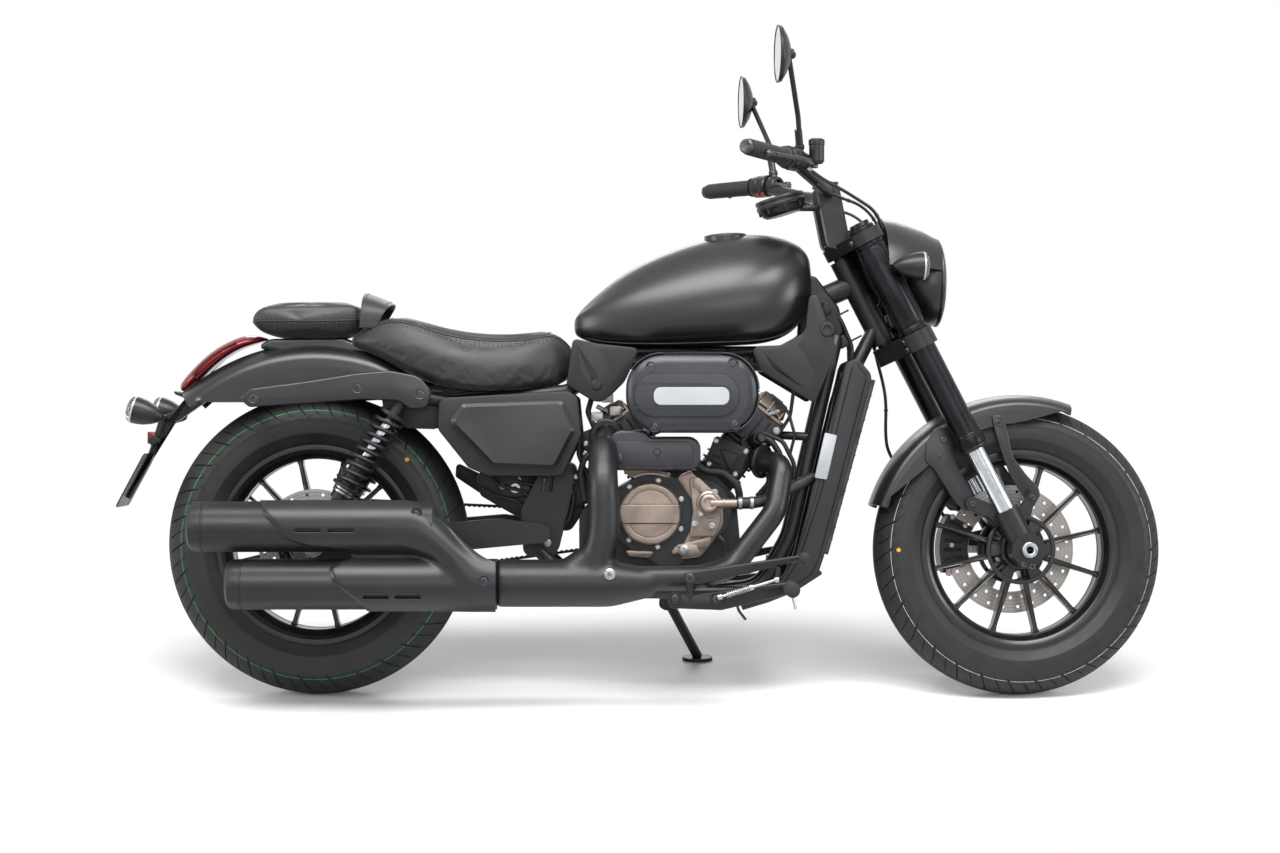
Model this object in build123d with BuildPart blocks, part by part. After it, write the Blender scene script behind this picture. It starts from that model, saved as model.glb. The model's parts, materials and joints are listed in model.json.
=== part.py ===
"""A V-twin cruiser motorcycle, standing on its side stand, as separate pieces in millimetres.

Every piece is modelled on the upright, straight-ahead motorcycle: +X forward, +Y to the rider's
left, +Z up, with the tyres on z = 0. The last section turns the steered pieces a little to the
left, leans the whole motorcycle onto its side stand and writes one STEP file for each piece.
"""

from build123d import *
from math import atan2, cos, degrees, pi, radians, sin, sqrt, tan
import os

# ---------------------------------------------------------------- driving dimensions
LEAN = 10.0  # degrees to the left, onto the side stand
PARKED_STEER = 5.0  # degrees to the left
RAKE = 27.2  # steering axis from the vertical, degrees

REAR_AXLE_X = -695.0
FRONT_AXLE_X = 816.0
REAR_TYRE_R, REAR_CROWN_R, REAR_TYRE_HALF = 325.0, 84.0, 78.0
FRONT_TYRE_R, FRONT_CROWN_R, FRONT_TYRE_HALF = 313.0, 68.0, 65.0
BEAD_R = 208.0  # sixteen-inch rims, outside of the bead seat
RIM_LIP_R = 218.0

FORK_OFFSET = 51.3  # fork legs ahead of the steering axis
FORK_HALF = 104.0  # each leg from the middle
FORK_TUBE_R = 28.5
FORK_INNER_R = 20.5

LEAN_COS, LEAN_SIN, LEAN_TAN = cos(radians(LEAN)), sin(radians(LEAN)), tan(radians(LEAN))
RAKE_COS, RAKE_SIN = cos(radians(RAKE)), sin(radians(RAKE))


def resting_height(tyre_r, crown_r, axle_tilt):
    """Height of a leaning wheel's centre over the floor, for an axle with this vertical share."""
    return (tyre_r - crown_r) * sqrt(1 - axle_tilt**2) + crown_r


# The rear wheel only leans; the front wheel is also steered, so its axle dips a little more.
REAR_AXLE_Z = REAR_TYRE_R
LIFT = resting_height(REAR_TYRE_R, REAR_CROWN_R, LEAN_SIN) - REAR_AXLE_Z * LEAN_COS
STEER_SIN, STEER_COS = sin(radians(PARKED_STEER)), cos(radians(PARKED_STEER))
FRONT_AXLE_TILT = STEER_COS * LEAN_SIN + RAKE_SIN * STEER_SIN * LEAN_COS
FRONT_AXLE_Z = (
    resting_height(FRONT_TYRE_R, FRONT_CROWN_R, FRONT_AXLE_TILT) - LIFT + FORK_OFFSET * STEER_SIN * LEAN_SIN
) / LEAN_COS

# Side view of the fork: X forward of the legs, Y to the left, Z up along the legs from the axle.
FORK = Plane(
    origin=(FRONT_AXLE_X, 0, FRONT_AXLE_Z),
    x_dir=(RAKE_COS, 0, RAKE_SIN),
    z_dir=(-RAKE_SIN, 0, RAKE_COS),
)
STEER_AXIS = Axis(FORK.from_local_coords((-FORK_OFFSET, 0, 0)), FORK.z_dir)


# ---------------------------------------------------------------- helpers
def side(right):
    """The side-view plane this far to the rider's right; it extrudes further right."""
    return Plane.XZ.offset(right)


def across(x):
    """The cross-section plane at x, drawn as (left, up)."""
    return Plane.YZ.offset(x)


def corners(rows):
    return [row[:2] for row in rows]


def most_round(before, corner, after):
    """The largest radius that a corner's two runs leave room for, beside their other corners."""
    arrive, leave = Vector(*corner) - Vector(*before), Vector(*after) - Vector(*corner)
    turn = radians(arrive.get_angle(leave))
    return 0.47 * min(arrive.length, leave.length) / max(tan(turn / 2), 1e-3)


def rounds(rows):
    """Corner radii of a closed outline, each no larger than its two runs allow."""
    points = corners(rows)
    return [min(row[2], most_round(points[i - 1], points[i], points[(i + 1) % len(rows)]))
            for i, row in enumerate(rows)]


def plate(plane, thickness, rows):
    """A plate from rows of (along, up, corner radius), grown along the plane's normal."""
    with BuildPart(mode=Mode.PRIVATE) as piece:
        with BuildSketch(plane):
            with BuildLine():
                FilletPolyline(*corners(rows), radius=rounds(rows), close=True)
            make_face()
        extrude(amount=thickness)
    return piece.part


def rod(start, end, radius):
    """A straight round bar between two points."""
    with BuildPart(mode=Mode.PRIVATE) as piece:
        axis = Vector(*end) - Vector(*start)
        with BuildSketch(Plane(origin=start, z_dir=axis)):
            Circle(radius)
        extrude(amount=axis.length)
    return piece.part


def bent_tube(points, bends, radius):
    """A round bar along straight runs joined by tangent arcs."""
    with BuildPart(mode=Mode.PRIVATE) as piece:
        room = [most_round(*points[i : i + 3]) for i in range(len(points) - 2)]
        with BuildLine() as path:
            FilletPolyline(*points, radius=[min(bend, most) for bend, most in zip(bends, room)])
        with BuildSketch(Plane(origin=path.line @ 0, z_dir=path.line % 0)):
            Circle(radius)
        sweep()
    return piece.part


def cord(name, points, radius):
    """A hose or cable: straight runs joined by arcs as large as the runs allow, with its sizes printed."""
    bends = []
    for before, corner, after in zip(points, points[1:], points[2:]):
        arrive, leave = Vector(*corner) - Vector(*before), Vector(*after) - Vector(*corner)
        turn = radians(arrive.get_angle(leave))
        bends.append(0.45 * min(arrive.length, leave.length) / tan(turn / 2))
    with BuildPart(mode=Mode.PRIVATE) as piece:
        with BuildLine() as path:
            FilletPolyline(*points, radius=bends)
        with BuildSketch(Plane(origin=path.line @ 0, z_dir=path.line % 0)):
            Circle(radius)
        sweep()
    length = sum(edge.length for edge in path.edges())
    share = piece.part.volume / (pi * radius**2 * length)
    print(f"{name}: {length:.0f} mm long, volume over section times length {share:.3f}, radii",
          *[f"{bend:.0f}" for bend in bends])
    return piece.part


def lathe(plane, rows):
    """A turned piece from rows of (along the axle, radius, corner radius); the axle is local X."""
    with BuildPart(mode=Mode.PRIVATE) as piece:
        with BuildSketch(plane):
            with BuildLine():
                FilletPolyline(*corners(rows), radius=rounds(rows), close=True)
            make_face()
        revolve(axis=Axis(plane.origin, plane.x_dir))
    return piece.part


def both_sides(piece):
    """A piece and its mirror image on the other side of the motorcycle."""
    return [piece, mirror(piece, about=Plane.XZ)]


REAR_HUB = Plane(origin=(REAR_AXLE_X, 0, REAR_AXLE_Z), x_dir=(0, 1, 0), z_dir=(1, 0, 0))
FRONT_HUB = Plane(origin=(FRONT_AXLE_X, 0, FRONT_AXLE_Z), x_dir=(0, 1, 0), z_dir=(1, 0, 0))


def hub_side(hub, right):
    """The side-view plane centred on an axle, this far to the rider's right."""
    return Plane(origin=hub.origin - Vector(0, right, 0), x_dir=(1, 0, 0), z_dir=(0, -1, 0))


# ---------------------------------------------------------------- wheels
SPOKES = 12
SPOKE_START = 12.8  # degrees of the first spoke, so that one stands clear of the fork


def rim_barrel(hub, half):
    """The ring that carries the tyre, with a lip on each side."""
    seat_half = half - 24
    return lathe(hub, [
        (-seat_half - 6, RIM_LIP_R, 1),
        (-seat_half - 6, 196, 2),
        (-seat_half * 0.5, 183, 8),
        (seat_half * 0.5, 183, 8),
        (seat_half + 6, 196, 2),
        (seat_half + 6, RIM_LIP_R, 1),
        (seat_half, RIM_LIP_R, 1),
        (seat_half, BEAD_R, 0),
        (-seat_half, BEAD_R, 0),
        (-seat_half, RIM_LIP_R, 1),
    ])


def tyre(hub, tyre_r, crown_r, half):
    """A tyre with a round crown, side walls that bulge to the full width and beads on the rim."""
    bead_half = half - 24
    crown_angle = radians(62)
    shoulder = (crown_r * sin(crown_angle), tyre_r - crown_r + crown_r * cos(crown_angle))
    with BuildPart(mode=Mode.PRIVATE) as piece:
        with BuildSketch(hub):
            with BuildLine():
                ThreePointArc((-shoulder[0], shoulder[1]), (0, tyre_r), shoulder)
                for sign in (1, -1):
                    ThreePointArc(
                        (sign * shoulder[0], shoulder[1]),
                        (sign * half, (shoulder[1] + BEAD_R) / 2 + 6),
                        (sign * bead_half, BEAD_R),
                    )
                Line((-bead_half, BEAD_R), (bead_half, BEAD_R))
            make_face()
        revolve(axis=Axis(hub.origin, hub.x_dir))
        add(rim_barrel(hub, half), mode=Mode.SUBTRACT)
    return piece.part


def rim(hub, half, hub_r, hub_half, bore_r):
    """A cast rim: barrel with two lips, a hub and straight flat spokes between them."""
    spoke = [(hub_r - 4, 24), (186, 15), (186, -15), (hub_r - 4, -24)]  # (radius, along the axle)
    with BuildPart(mode=Mode.PRIVATE) as piece:
        add(rim_barrel(hub, half))
        add(lathe(hub, [(-hub_half, bore_r, 0), (-hub_half, hub_r - 12, 3), (-28, hub_r, 3),
                        (28, hub_r, 3), (hub_half, hub_r - 12, 3), (hub_half, bore_r, 0)]))
        with BuildPart(mode=Mode.PRIVATE) as blade:
            with BuildSketch(Plane(origin=hub.origin, x_dir=(1, 0, 0), z_dir=(0, 0, 1))):
                Polygon(*spoke, align=None)
            extrude(amount=4.5, both=True)
        for number in range(SPOKES):
            turn = SPOKE_START + number * 360 / SPOKES
            add(blade.part.rotate(Axis(hub.origin, (0, -1, 0)), turn))
    return piece.part


def brake_disc(hub, left, outer, inner, spider_r, bore_r, holes):
    """A drilled brake disc, 5 mm thick, with a spider of arms down to the hub."""
    face = Plane(origin=hub.origin + Vector(0, left, 0), x_dir=(1, 0, 0), z_dir=(0, 1, 0))
    with BuildPart(mode=Mode.PRIVATE) as piece:
        with BuildSketch(face):
            Circle(outer)
            Circle(inner, mode=Mode.SUBTRACT)
            for ring, phase in ((0.28, 0), (0.72, 180 / holes)):
                with PolarLocations(inner + (outer - inner) * ring, holes, start_angle=phase):
                    Circle(3.6, mode=Mode.SUBTRACT)
        extrude(amount=5)
        with BuildSketch(face):
            Circle(spider_r)
            with PolarLocations((spider_r + inner) / 2, 6):
                Rectangle(inner - spider_r + 8, 16)
            Circle(bore_r, mode=Mode.SUBTRACT)
        extrude(amount=5)
    return piece.part


FRONT_HUB_HALF, REAR_HUB_HALF = 66.0, 72.0
FRONT_AXLE_R, REAR_AXLE_R = 12.5, 12.5
PIN_GAP = 0.1  # radial running clearance on axles and pins

with BuildPart() as front_rim:
    add(rim(FRONT_HUB, FRONT_TYRE_HALF, 46, FRONT_HUB_HALF, FRONT_AXLE_R + PIN_GAP))

with BuildPart() as rear_rim:
    add(rim(REAR_HUB, REAR_TYRE_HALF, 58, REAR_HUB_HALF, REAR_AXLE_R + PIN_GAP))

with BuildPart() as front_tyre:
    add(tyre(FRONT_HUB, FRONT_TYRE_R, FRONT_CROWN_R, FRONT_TYRE_HALF))

with BuildPart() as rear_tyre:
    add(tyre(REAR_HUB, REAR_TYRE_R, REAR_CROWN_R, REAR_TYRE_HALF))

FRONT_DISC_Y, FRONT_DISC_R = 59.0, 140.0
with BuildPart() as front_disc:
    add(brake_disc(FRONT_HUB, FRONT_DISC_Y, FRONT_DISC_R, 93, 52, 36, 24))
    add(front_rim.part, mode=Mode.SUBTRACT)

REAR_DISC_Y, REAR_DISC_R = -82.0, 120.0
with BuildPart() as rear_disc:
    add(brake_disc(REAR_HUB, REAR_DISC_Y - 5, REAR_DISC_R, 80, 56, REAR_AXLE_R + 8, 20))
    add(lathe(REAR_HUB, [(REAR_DISC_Y, REAR_AXLE_R + 8, 0), (REAR_DISC_Y, 40, 0),
                         (-REAR_HUB_HALF, 40, 0), (-REAR_HUB_HALF, REAR_AXLE_R + 8, 0)]))

BELT_Y, BELT_WIDTH, BELT_THICK = 84.0, 24.0, 5.0
REAR_PULLEY_R, FRONT_PULLEY_R = 92.0, 38.0
PULLEY_TEETH = 60
with BuildPart() as rear_pulley:
    with BuildSketch(hub_side(REAR_HUB, -BELT_Y - BELT_WIDTH)):
        Circle(REAR_PULLEY_R)
        with PolarLocations(REAR_PULLEY_R, PULLEY_TEETH):
            Rectangle(5, 4, mode=Mode.SUBTRACT)
        with PolarLocations(58, 6):
            Circle(17, mode=Mode.SUBTRACT)
        Circle(REAR_AXLE_R + 8, mode=Mode.SUBTRACT)
    extrude(amount=BELT_WIDTH)
    add(lathe(REAR_HUB, [(REAR_HUB_HALF, REAR_AXLE_R + 8, 0), (REAR_HUB_HALF, 40, 0),
                         (BELT_Y, 40, 0), (BELT_Y, REAR_AXLE_R + 8, 0)]))

# ---------------------------------------------------------------- fork and yokes
STEM_R = 15.0
LOWER_YOKE, UPPER_YOKE = (485.0, 523.0), (738.0, 764.0)  # from, to along the legs
FORK_TUBE_TOP, FORK_TUBE_FOOT, FORK_FOOT_TOP = 772.0, 250.0, 96.0
LEGS = [(0, -FORK_HALF), (0, FORK_HALF)]
SHROUD_GROOVES = (535.0, 724.0)  # along the legs

with BuildPart() as fork_tubes:
    # bottom and top along the leg, radius
    for bottom, top, radius in (
        (FORK_TUBE_FOOT, FORK_TUBE_FOOT + 26, 31.5),
        (FORK_TUBE_FOOT + 26, LOWER_YOKE[1], FORK_TUBE_R),
        (LOWER_YOKE[1], UPPER_YOKE[0], 32.5),
        (UPPER_YOKE[0], FORK_TUBE_TOP, FORK_TUBE_R),
        (FORK_TUBE_TOP, FORK_TUBE_TOP + 12, 22),
    ):
        with BuildSketch(FORK.offset(bottom)):
            with Locations(*LEGS):
                Circle(radius)
        extrude(amount=top - bottom)
    # ring grooves near both ends of the shrouds
    for groove in SHROUD_GROOVES:
        with BuildSketch(FORK.offset(groove)):
            with Locations(*LEGS):
                Circle(34)
                Circle(30.8, mode=Mode.SUBTRACT)
        extrude(amount=5, mode=Mode.SUBTRACT)

with BuildPart() as fork_inners:
    with BuildSketch(FORK.offset(FORK_FOOT_TOP)):
        with Locations(*LEGS):
            Circle(FORK_INNER_R)
    extrude(amount=FORK_TUBE_FOOT - FORK_FOOT_TOP)

with BuildPart() as bare_yokes:
    # span along the legs, leg boss radius, stem boss radius
    for (bottom, top), leg_boss, stem_boss in ((LOWER_YOKE, 37, 30), (UPPER_YOKE, 37, 28)):
        with BuildSketch(FORK.offset(bottom)):
            with Locations(*LEGS):
                Circle(leg_boss)
            with Locations((-FORK_OFFSET, 0)):
                Circle(stem_boss)
            make_hull()
            with Locations(*LEGS):
                Circle(FORK_TUBE_R, mode=Mode.SUBTRACT)
        extrude(amount=top - bottom)
    with BuildSketch(FORK.offset(LOWER_YOKE[1])):
        with Locations((-FORK_OFFSET, 0)):
            Circle(STEM_R)
    extrude(amount=UPPER_YOKE[0] - LOWER_YOKE[1])

FOOT_HALF = 27.0
REAR_STAY, FRONT_STAY = (702.0, 411.0), (832.0, 424.0)  # bolts of the fender's stays
STAY_INNER, STAY_OUTER = 73.5, 80.0  # faces of the stays, from the middle
with BuildPart() as fork_feet:
    for y in (-FORK_HALF, FORK_HALF):
        with BuildSketch(FORK.offset(20)):
            with Locations((0, y)):
                Circle(FOOT_HALF)
        extrude(amount=FORK_FOOT_TOP - 20)
        with BuildSketch(hub_side(FRONT_HUB, -y - FOOT_HALF + 0.5)):
            Circle(36)
        extrude(amount=2 * FOOT_HALF - 1)
    # lugs behind and ahead of each leg for the fender's stays
    for height, lug_end, lug_r in ((76, REAR_STAY, 14), (50, FRONT_STAY, 12)):
        at_leg = FORK.from_local_coords((0, 0, height))
        for right in (STAY_OUTER, -STAY_OUTER - 18):
            with BuildSketch(side(right)):
                with Locations((at_leg.X, at_leg.Z), lug_end):
                    Circle(lug_r)
                make_hull()
            extrude(amount=18)
    with BuildSketch(hub_side(FRONT_HUB, -200)):
        Circle(FRONT_AXLE_R)
    extrude(amount=400, mode=Mode.SUBTRACT)
    add(fork_inners.part, mode=Mode.SUBTRACT)

AXLE_BORE_R = 8.0
with BuildPart() as front_axle:
    add(lathe(FRONT_HUB, [(-FORK_HALF - 38, AXLE_BORE_R, 0), (-FORK_HALF - 38, 17, 2),
                          (-FORK_HALF - FOOT_HALF, 17, 0), (-FORK_HALF - FOOT_HALF, FRONT_AXLE_R, 0),
                          (FORK_HALF + FOOT_HALF, FRONT_AXLE_R, 0), (FORK_HALF + FOOT_HALF, 17, 0),
                          (FORK_HALF + 38, 17, 2), (FORK_HALF + 38, AXLE_BORE_R, 0)]))

# front fender: a crowned strip round the tyre, its side plates down to the fork feet
FENDER_R, FENDER_HALF, FENDER_WALL = 335.0, 74.0, 4.0
FENDER_FRONT, FENDER_REAR = 20.0, 73.0  # degrees ahead of and behind the top


def fender(hub, outer_r, half, skirt_r, wall, front, rear, shoulder):
    """A fender strip: a crowned U turned round the axle between two angles from the top."""
    section = [
        (-half, skirt_r, 0), (-half, outer_r - shoulder * 0.75, shoulder * 0.8),
        (-half * 0.45, outer_r - 2, 60), (half * 0.45, outer_r - 2, 60),
        (half, outer_r - shoulder * 0.75, shoulder * 0.8), (half, skirt_r, 0),
        (half - wall, skirt_r, 0), (half - wall, outer_r - shoulder * 0.75 - wall * 0.6, shoulder * 0.7),
        (half * 0.43, outer_r - 2 - wall, 60), (-half * 0.43, outer_r - 2 - wall, 60),
        (-half + wall, outer_r - shoulder * 0.75 - wall * 0.6, shoulder * 0.7), (-half + wall, skirt_r, 0),
    ]
    start = Plane(origin=hub.origin, x_dir=(0, 1, 0),
                  z_dir=(cos(radians(front)), 0, -sin(radians(front))))
    with BuildPart(mode=Mode.PRIVATE) as piece:
        with BuildSketch(start):
            with BuildLine():
                FilletPolyline(*corners(section), radius=rounds(section), close=True)
            make_face()
        revolve(axis=Axis(hub.origin, (0, -1, 0)), revolution_arc=front + rear)
    return piece.part


FENDER_STAYS = (
    [(634, 560, 10), (630, 486, 20), (688, 400, 14), (702, 396, 14), (717, 411, 14), (690, 470, 30),
     (657, 532, 30), (656, 566, 10)],
    [(748, 596, 8), (776, 594, 10), (856, 432, 10), (846, 411, 8), (818, 420, 10), (792, 494, 30),
     (752, 552, 20)],
)
with BuildPart() as front_fender:
    add(fender(FRONT_HUB, FENDER_R, FENDER_HALF, 280, FENDER_WALL, FENDER_FRONT, FENDER_REAR, 26))
    # both ends of the skirts are cut back to a point at the rim of the strip
    with BuildSketch(side(-100)):
        Polygon((850, 575), (856, 589), (926, 629), (945, 640), (960, 560), align=None)
        Polygon((604, 487), (560, 438), (506, 416), (480, 406), (480, 360), (600, 370), (640, 440),
                align=None)
    extrude(amount=200, mode=Mode.SUBTRACT)
    for stay in FENDER_STAYS:
        for half in both_sides(plate(side(STAY_INNER), STAY_OUTER - STAY_INNER, stay)):
            add(half)
    add(fork_tubes.part, mode=Mode.SUBTRACT)

# ---------------------------------------------------------------- handlebar and controls
BAR_R, GRIP_R = 12.7, 17.0
BAR_CLAMP = Vector(402, 0, 1080)
BAR_BEND, GRIP_START, GRIP_END = Vector(372, 118, 1090), Vector(290, 252, 1128), Vector(190, 385, 1132)

with BuildPart() as handlebar:
    add(bent_tube([(GRIP_END.X, -GRIP_END.Y, GRIP_END.Z), (GRIP_START.X, -GRIP_START.Y, GRIP_START.Z),
                   (BAR_BEND.X, -BAR_BEND.Y, BAR_BEND.Z), (BAR_CLAMP.X, -60, BAR_CLAMP.Z),
                   (BAR_CLAMP.X, 60, BAR_CLAMP.Z), (BAR_BEND.X, BAR_BEND.Y, BAR_BEND.Z),
                   (GRIP_START.X, GRIP_START.Y, GRIP_START.Z), (GRIP_END.X, GRIP_END.Y, GRIP_END.Z)],
                  [60, 60, 60, 60, 60, 60], BAR_R))

with BuildPart() as grips:
    for grip in both_sides(rod(GRIP_START + (GRIP_END - GRIP_START) * 0.12, GRIP_END, GRIP_R)):
        add(grip)
    add(handlebar.part, mode=Mode.SUBTRACT)
    for cap in both_sides(rod(GRIP_END, GRIP_END + (GRIP_END - GRIP_START).normalized() * 14, 15)):
        add(cap)

with BuildPart() as yokes:
    # the upper yoke carries the two bar clamps
    add(bare_yokes.part)
    stem_top = FORK.from_local_coords((-FORK_OFFSET, 0, UPPER_YOKE[1]))
    for y in (-46, 46):
        with BuildSketch(side(-y - 13)):
            with Locations((BAR_CLAMP.X, BAR_CLAMP.Z), (stem_top.X, stem_top.Z + 14)):
                Circle(24)
            make_hull()
        extrude(amount=26)
    add(handlebar.part, mode=Mode.SUBTRACT)
    add(fork_tubes.part, mode=Mode.SUBTRACT)

with BuildPart() as controls:
    grip_line = (GRIP_END - GRIP_START).normalized()
    for housing in both_sides(rod(GRIP_START - grip_line * 34, GRIP_START + grip_line * 16, 25)):
        add(housing)
    for perch in both_sides(rod(GRIP_START - grip_line * 62, GRIP_START - grip_line * 34, 20)):
        add(perch)
    # lever: out of the perch, forward of the grip, along it to a ball
    pivot = GRIP_START - grip_line * 46 + Vector(30, 0, -4)
    tip = GRIP_END + Vector(44, -22, -10)
    middle = GRIP_START + grip_line * 30 + Vector(52, 0, -8)
    for lever in both_sides(bent_tube([pivot, middle, tip], [90], 6)):
        add(lever)
    for knuckle in both_sides(rod(pivot - Vector(26, 0, -4), pivot + Vector(8, 0, 0), 11)):
        add(knuckle)
    # brake fluid reservoir on the right
    reservoir_foot = Vector(352, -222, 1128)
    add(rod((322, -206, 1118), reservoir_foot, 9))
    add(rod(reservoir_foot - Vector(0, 0, 8), reservoir_foot + Vector(0, 0, 44), 17))
    add(handlebar.part, mode=Mode.SUBTRACT)

MIRROR_FOOT = Vector(322, 205, 1112)
MIRROR_ELBOW = Vector(312, 232, 1216)
MIRROR_HEAD = Vector(282, 330, 1332)
MIRROR_R = 60.0
with BuildPart() as mirrors:
    for y_sign in (1, -1):
        foot, elbow, head = (Vector(p.X, p.Y * y_sign, p.Z) for p in (MIRROR_FOOT, MIRROR_ELBOW,
                                                                      MIRROR_HEAD))
        add(bent_tube([foot, elbow, head], [30], 5.5))
        add(rod(foot, elbow - Vector(0, 0, 26), 8))
        dish = Plane(origin=head - Vector(16, 0, 0), x_dir=(-1, 0, 0), z_dir=(0, 1, 0))
        add(lathe(dish, [(-18, 0, 0), (-16, 22, 8), (0, 56, 10), (10, MIRROR_R, 2), (10, 0, 0)]))
    add(handlebar.part, mode=Mode.SUBTRACT)
    add(controls.part, mode=Mode.SUBTRACT)

POD_TILT = radians(16)
POD_AXIS = Plane(origin=(306, 0, 1056), x_dir=(-sin(POD_TILT), 0, cos(POD_TILT)),
                 z_dir=(0, -1, 0))
with BuildPart() as instrument:
    add(lathe(POD_AXIS, [(-20, 0, 0), (-20, 44, 10), (0, 54, 6), (20, 54, 4), (20, 0, 0)]))
    add(rod((318, 0, 1052), (412, 0, 1052), 7))
    add(rod((410, -40, 1052), (410, 40, 1052), 9))
    add(yokes.part, mode=Mode.SUBTRACT)

# ---------------------------------------------------------------- headlamp and indicators
LAMP_X, LAMP_Z, LAMP_R = 640.0, 890.0, 96.0
LAMP_AXIS = Plane(origin=(LAMP_X, 0, LAMP_Z), x_dir=(1, 0, 0), z_dir=(0, -1, 0))
with BuildPart() as headlamp:
    add(lathe(LAMP_AXIS, [(0, 0, 0), (0, LAMP_R, 3), (-30, LAMP_R, 10), (-80, 74, 40), (-104, 34, 20),
                          (-108, 0, 0)]))
    # visor: part of a dome round the lamp, from the bezel back over the bucket
    with BuildSketch(Plane.XZ):
        with BuildLine():
            Polyline((LAMP_X, LAMP_Z + LAMP_R - 4), (LAMP_X + 2, LAMP_Z + LAMP_R), (576, LAMP_Z + 126),
                     (520, LAMP_Z + 141), (519, LAMP_Z + 137.5), (575, LAMP_Z + 122.5), close=True)
        make_face()
    revolve(axis=Axis((LAMP_X, 0, LAMP_Z), (1, 0, 0)), revolution_arc=78)
    mirror(about=Plane.XZ)
    # mounting arms back to the upper fork tubes
    for arm in both_sides(rod((560, 76, LAMP_Z + 10), (540, FORK_HALF, LAMP_Z + 10), 12)):
        add(arm)
    add(fork_tubes.part, mode=Mode.SUBTRACT)

with BuildPart() as headlamp_lens:
    add(lathe(LAMP_AXIS, [(0, 0, 0), (0, LAMP_R - 6, 1), (8, LAMP_R - 8, 4), (18, 55, 60), (21, 0, 0)]))

INDICATOR_Y = 150.0
FRONT_INDICATOR = Plane(origin=(586, -INDICATOR_Y, 914), x_dir=(1, 0, 0), z_dir=(0, -1, 0))
with BuildPart() as front_indicators:
    add(lathe(FRONT_INDICATOR, [(-62, 0, 0), (-60, 6, 5), (-40, 20, 12), (-8, 30, 8), (12, 29, 2),
                                (16, 20, 6),
                                (17, 0, 0)]))
    add(rod((540, -FORK_HALF, 918), (548, -INDICATOR_Y, 916), 9))
    mirror(about=Plane.XZ)
    add(fork_tubes.part, mode=Mode.SUBTRACT)
    add(headlamp.part, mode=Mode.SUBTRACT)

# ---------------------------------------------------------------- front caliper
CALIPER_INNER, CALIPER_OUTER, CALIPER_START = 98.0, 160.0, 151.0
with BuildPart() as front_caliper:
    face = hub_side(FRONT_HUB, -98)
    with BuildSketch(face):
        with BuildLine():
            CenterArc((0, 0), CALIPER_OUTER, CALIPER_START, 46)
            CenterArc((0, 0), CALIPER_INNER, CALIPER_START, 46)
            for turn in (CALIPER_START, CALIPER_START + 46):
                Line((CALIPER_INNER * cos(radians(turn)), CALIPER_INNER * sin(radians(turn))),
                     (CALIPER_OUTER * cos(radians(turn)), CALIPER_OUTER * sin(radians(turn))))
        make_face()
    extrude(amount=98 - 40)
    with BuildSketch(hub_side(FRONT_HUB, -FRONT_DISC_Y - 5 - 6)):
        Circle(FRONT_DISC_R + 6)
    extrude(amount=17, mode=Mode.SUBTRACT)
    # carrier from the caliper to the foot of the left leg
    with BuildSketch(hub_side(FRONT_HUB, -FORK_HALF)):
        with Locations((-112, 14), (-20, 34)):
            Circle(16)
        make_hull()
    extrude(amount=14)
    add(fork_feet.part, mode=Mode.SUBTRACT)
    add(fork_inners.part, mode=Mode.SUBTRACT)

# ---------------------------------------------------------------- hoses and cables at the bars
HOSE_R, CABLE_R = 3.6, 3.2
# brake hose: master cylinder, past the lamp, across ahead of the head tube, down behind the left leg
# to the caliper; (ahead of the legs, left, up along the legs) between its two ends
HOSE_BY_LEG = [(48, -92, 790), (46, -74, 742), (38, -52, 690), (4, -22, 646), (-10, 22, 612),
               (-34, 56, 584),
               (-56, 66, 552), (-70, 64, 504), (-82, 58, 452), (-96, 62, 408), (-127, 72, 350),
               (-140, 83, 308),
               (-127, 94, 228)]
HOSE = ([Vector(330, -212, 1116), Vector(366, -186, 1094), Vector(412, -152, 1077), Vector(456, -116, 1058)]
        + [FORK.from_local_coords(point) for point in HOSE_BY_LEG]
        + [Vector(656, 92, 436), Vector(666, 90, 394), Vector(692, 88, 360)])
SWITCH_CABLE = [(352, -150, 1097), (384, -134, 1072), (424, -106, 1061), (464, -80, 1052), (496, -62, 1028),
                (516, -50, 992), (530, -40, 956), (546, -28, 924)]
with BuildPart() as front_hoses:
    add(cord("brake hose", HOSE, HOSE_R))
    for cable in both_sides(cord("switch cable", SWITCH_CABLE, CABLE_R)):
        add(cable)
    for carrier in (controls, handlebar, headlamp, front_caliper):
        add(carrier.part, mode=Mode.SUBTRACT)

# ---------------------------------------------------------------- main frame
HEAD_TUBE = (LOWER_YOKE[1] + 6, UPPER_YOKE[0] - 6)
HEAD_TUBE_R = 26.0
RAIL_Y, RAIL_R = 90.0, 14.0
PLATE_Y = 64.0  # middle of each swingarm pivot plate
PIVOT = (-215.0, 352.0)  # swingarm pivot
PIVOT_PLATE = [(-250, 300, 20), (-180, 300, 20), (-150, 420, 30), (-140, 480, 10), (-215, 480, 10),
               (-255, 400, 30)]
STRUT_FRONT, STRUT_MIDDLE, STRUT_REAR = (-465, 641), (-597, 661), (-817, 640)

STAND_PIVOT = Vector(60, 125, 195)
STAND_AXIS = Vector(0, 0.8357, 0.5492).normalized()
STAND_PIN_R = 6.0
STAND_PLATE = Plane(origin=STAND_PIVOT - STAND_AXIS * 16.8, x_dir=(1, 0, 0), z_dir=STAND_AXIS)

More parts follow.
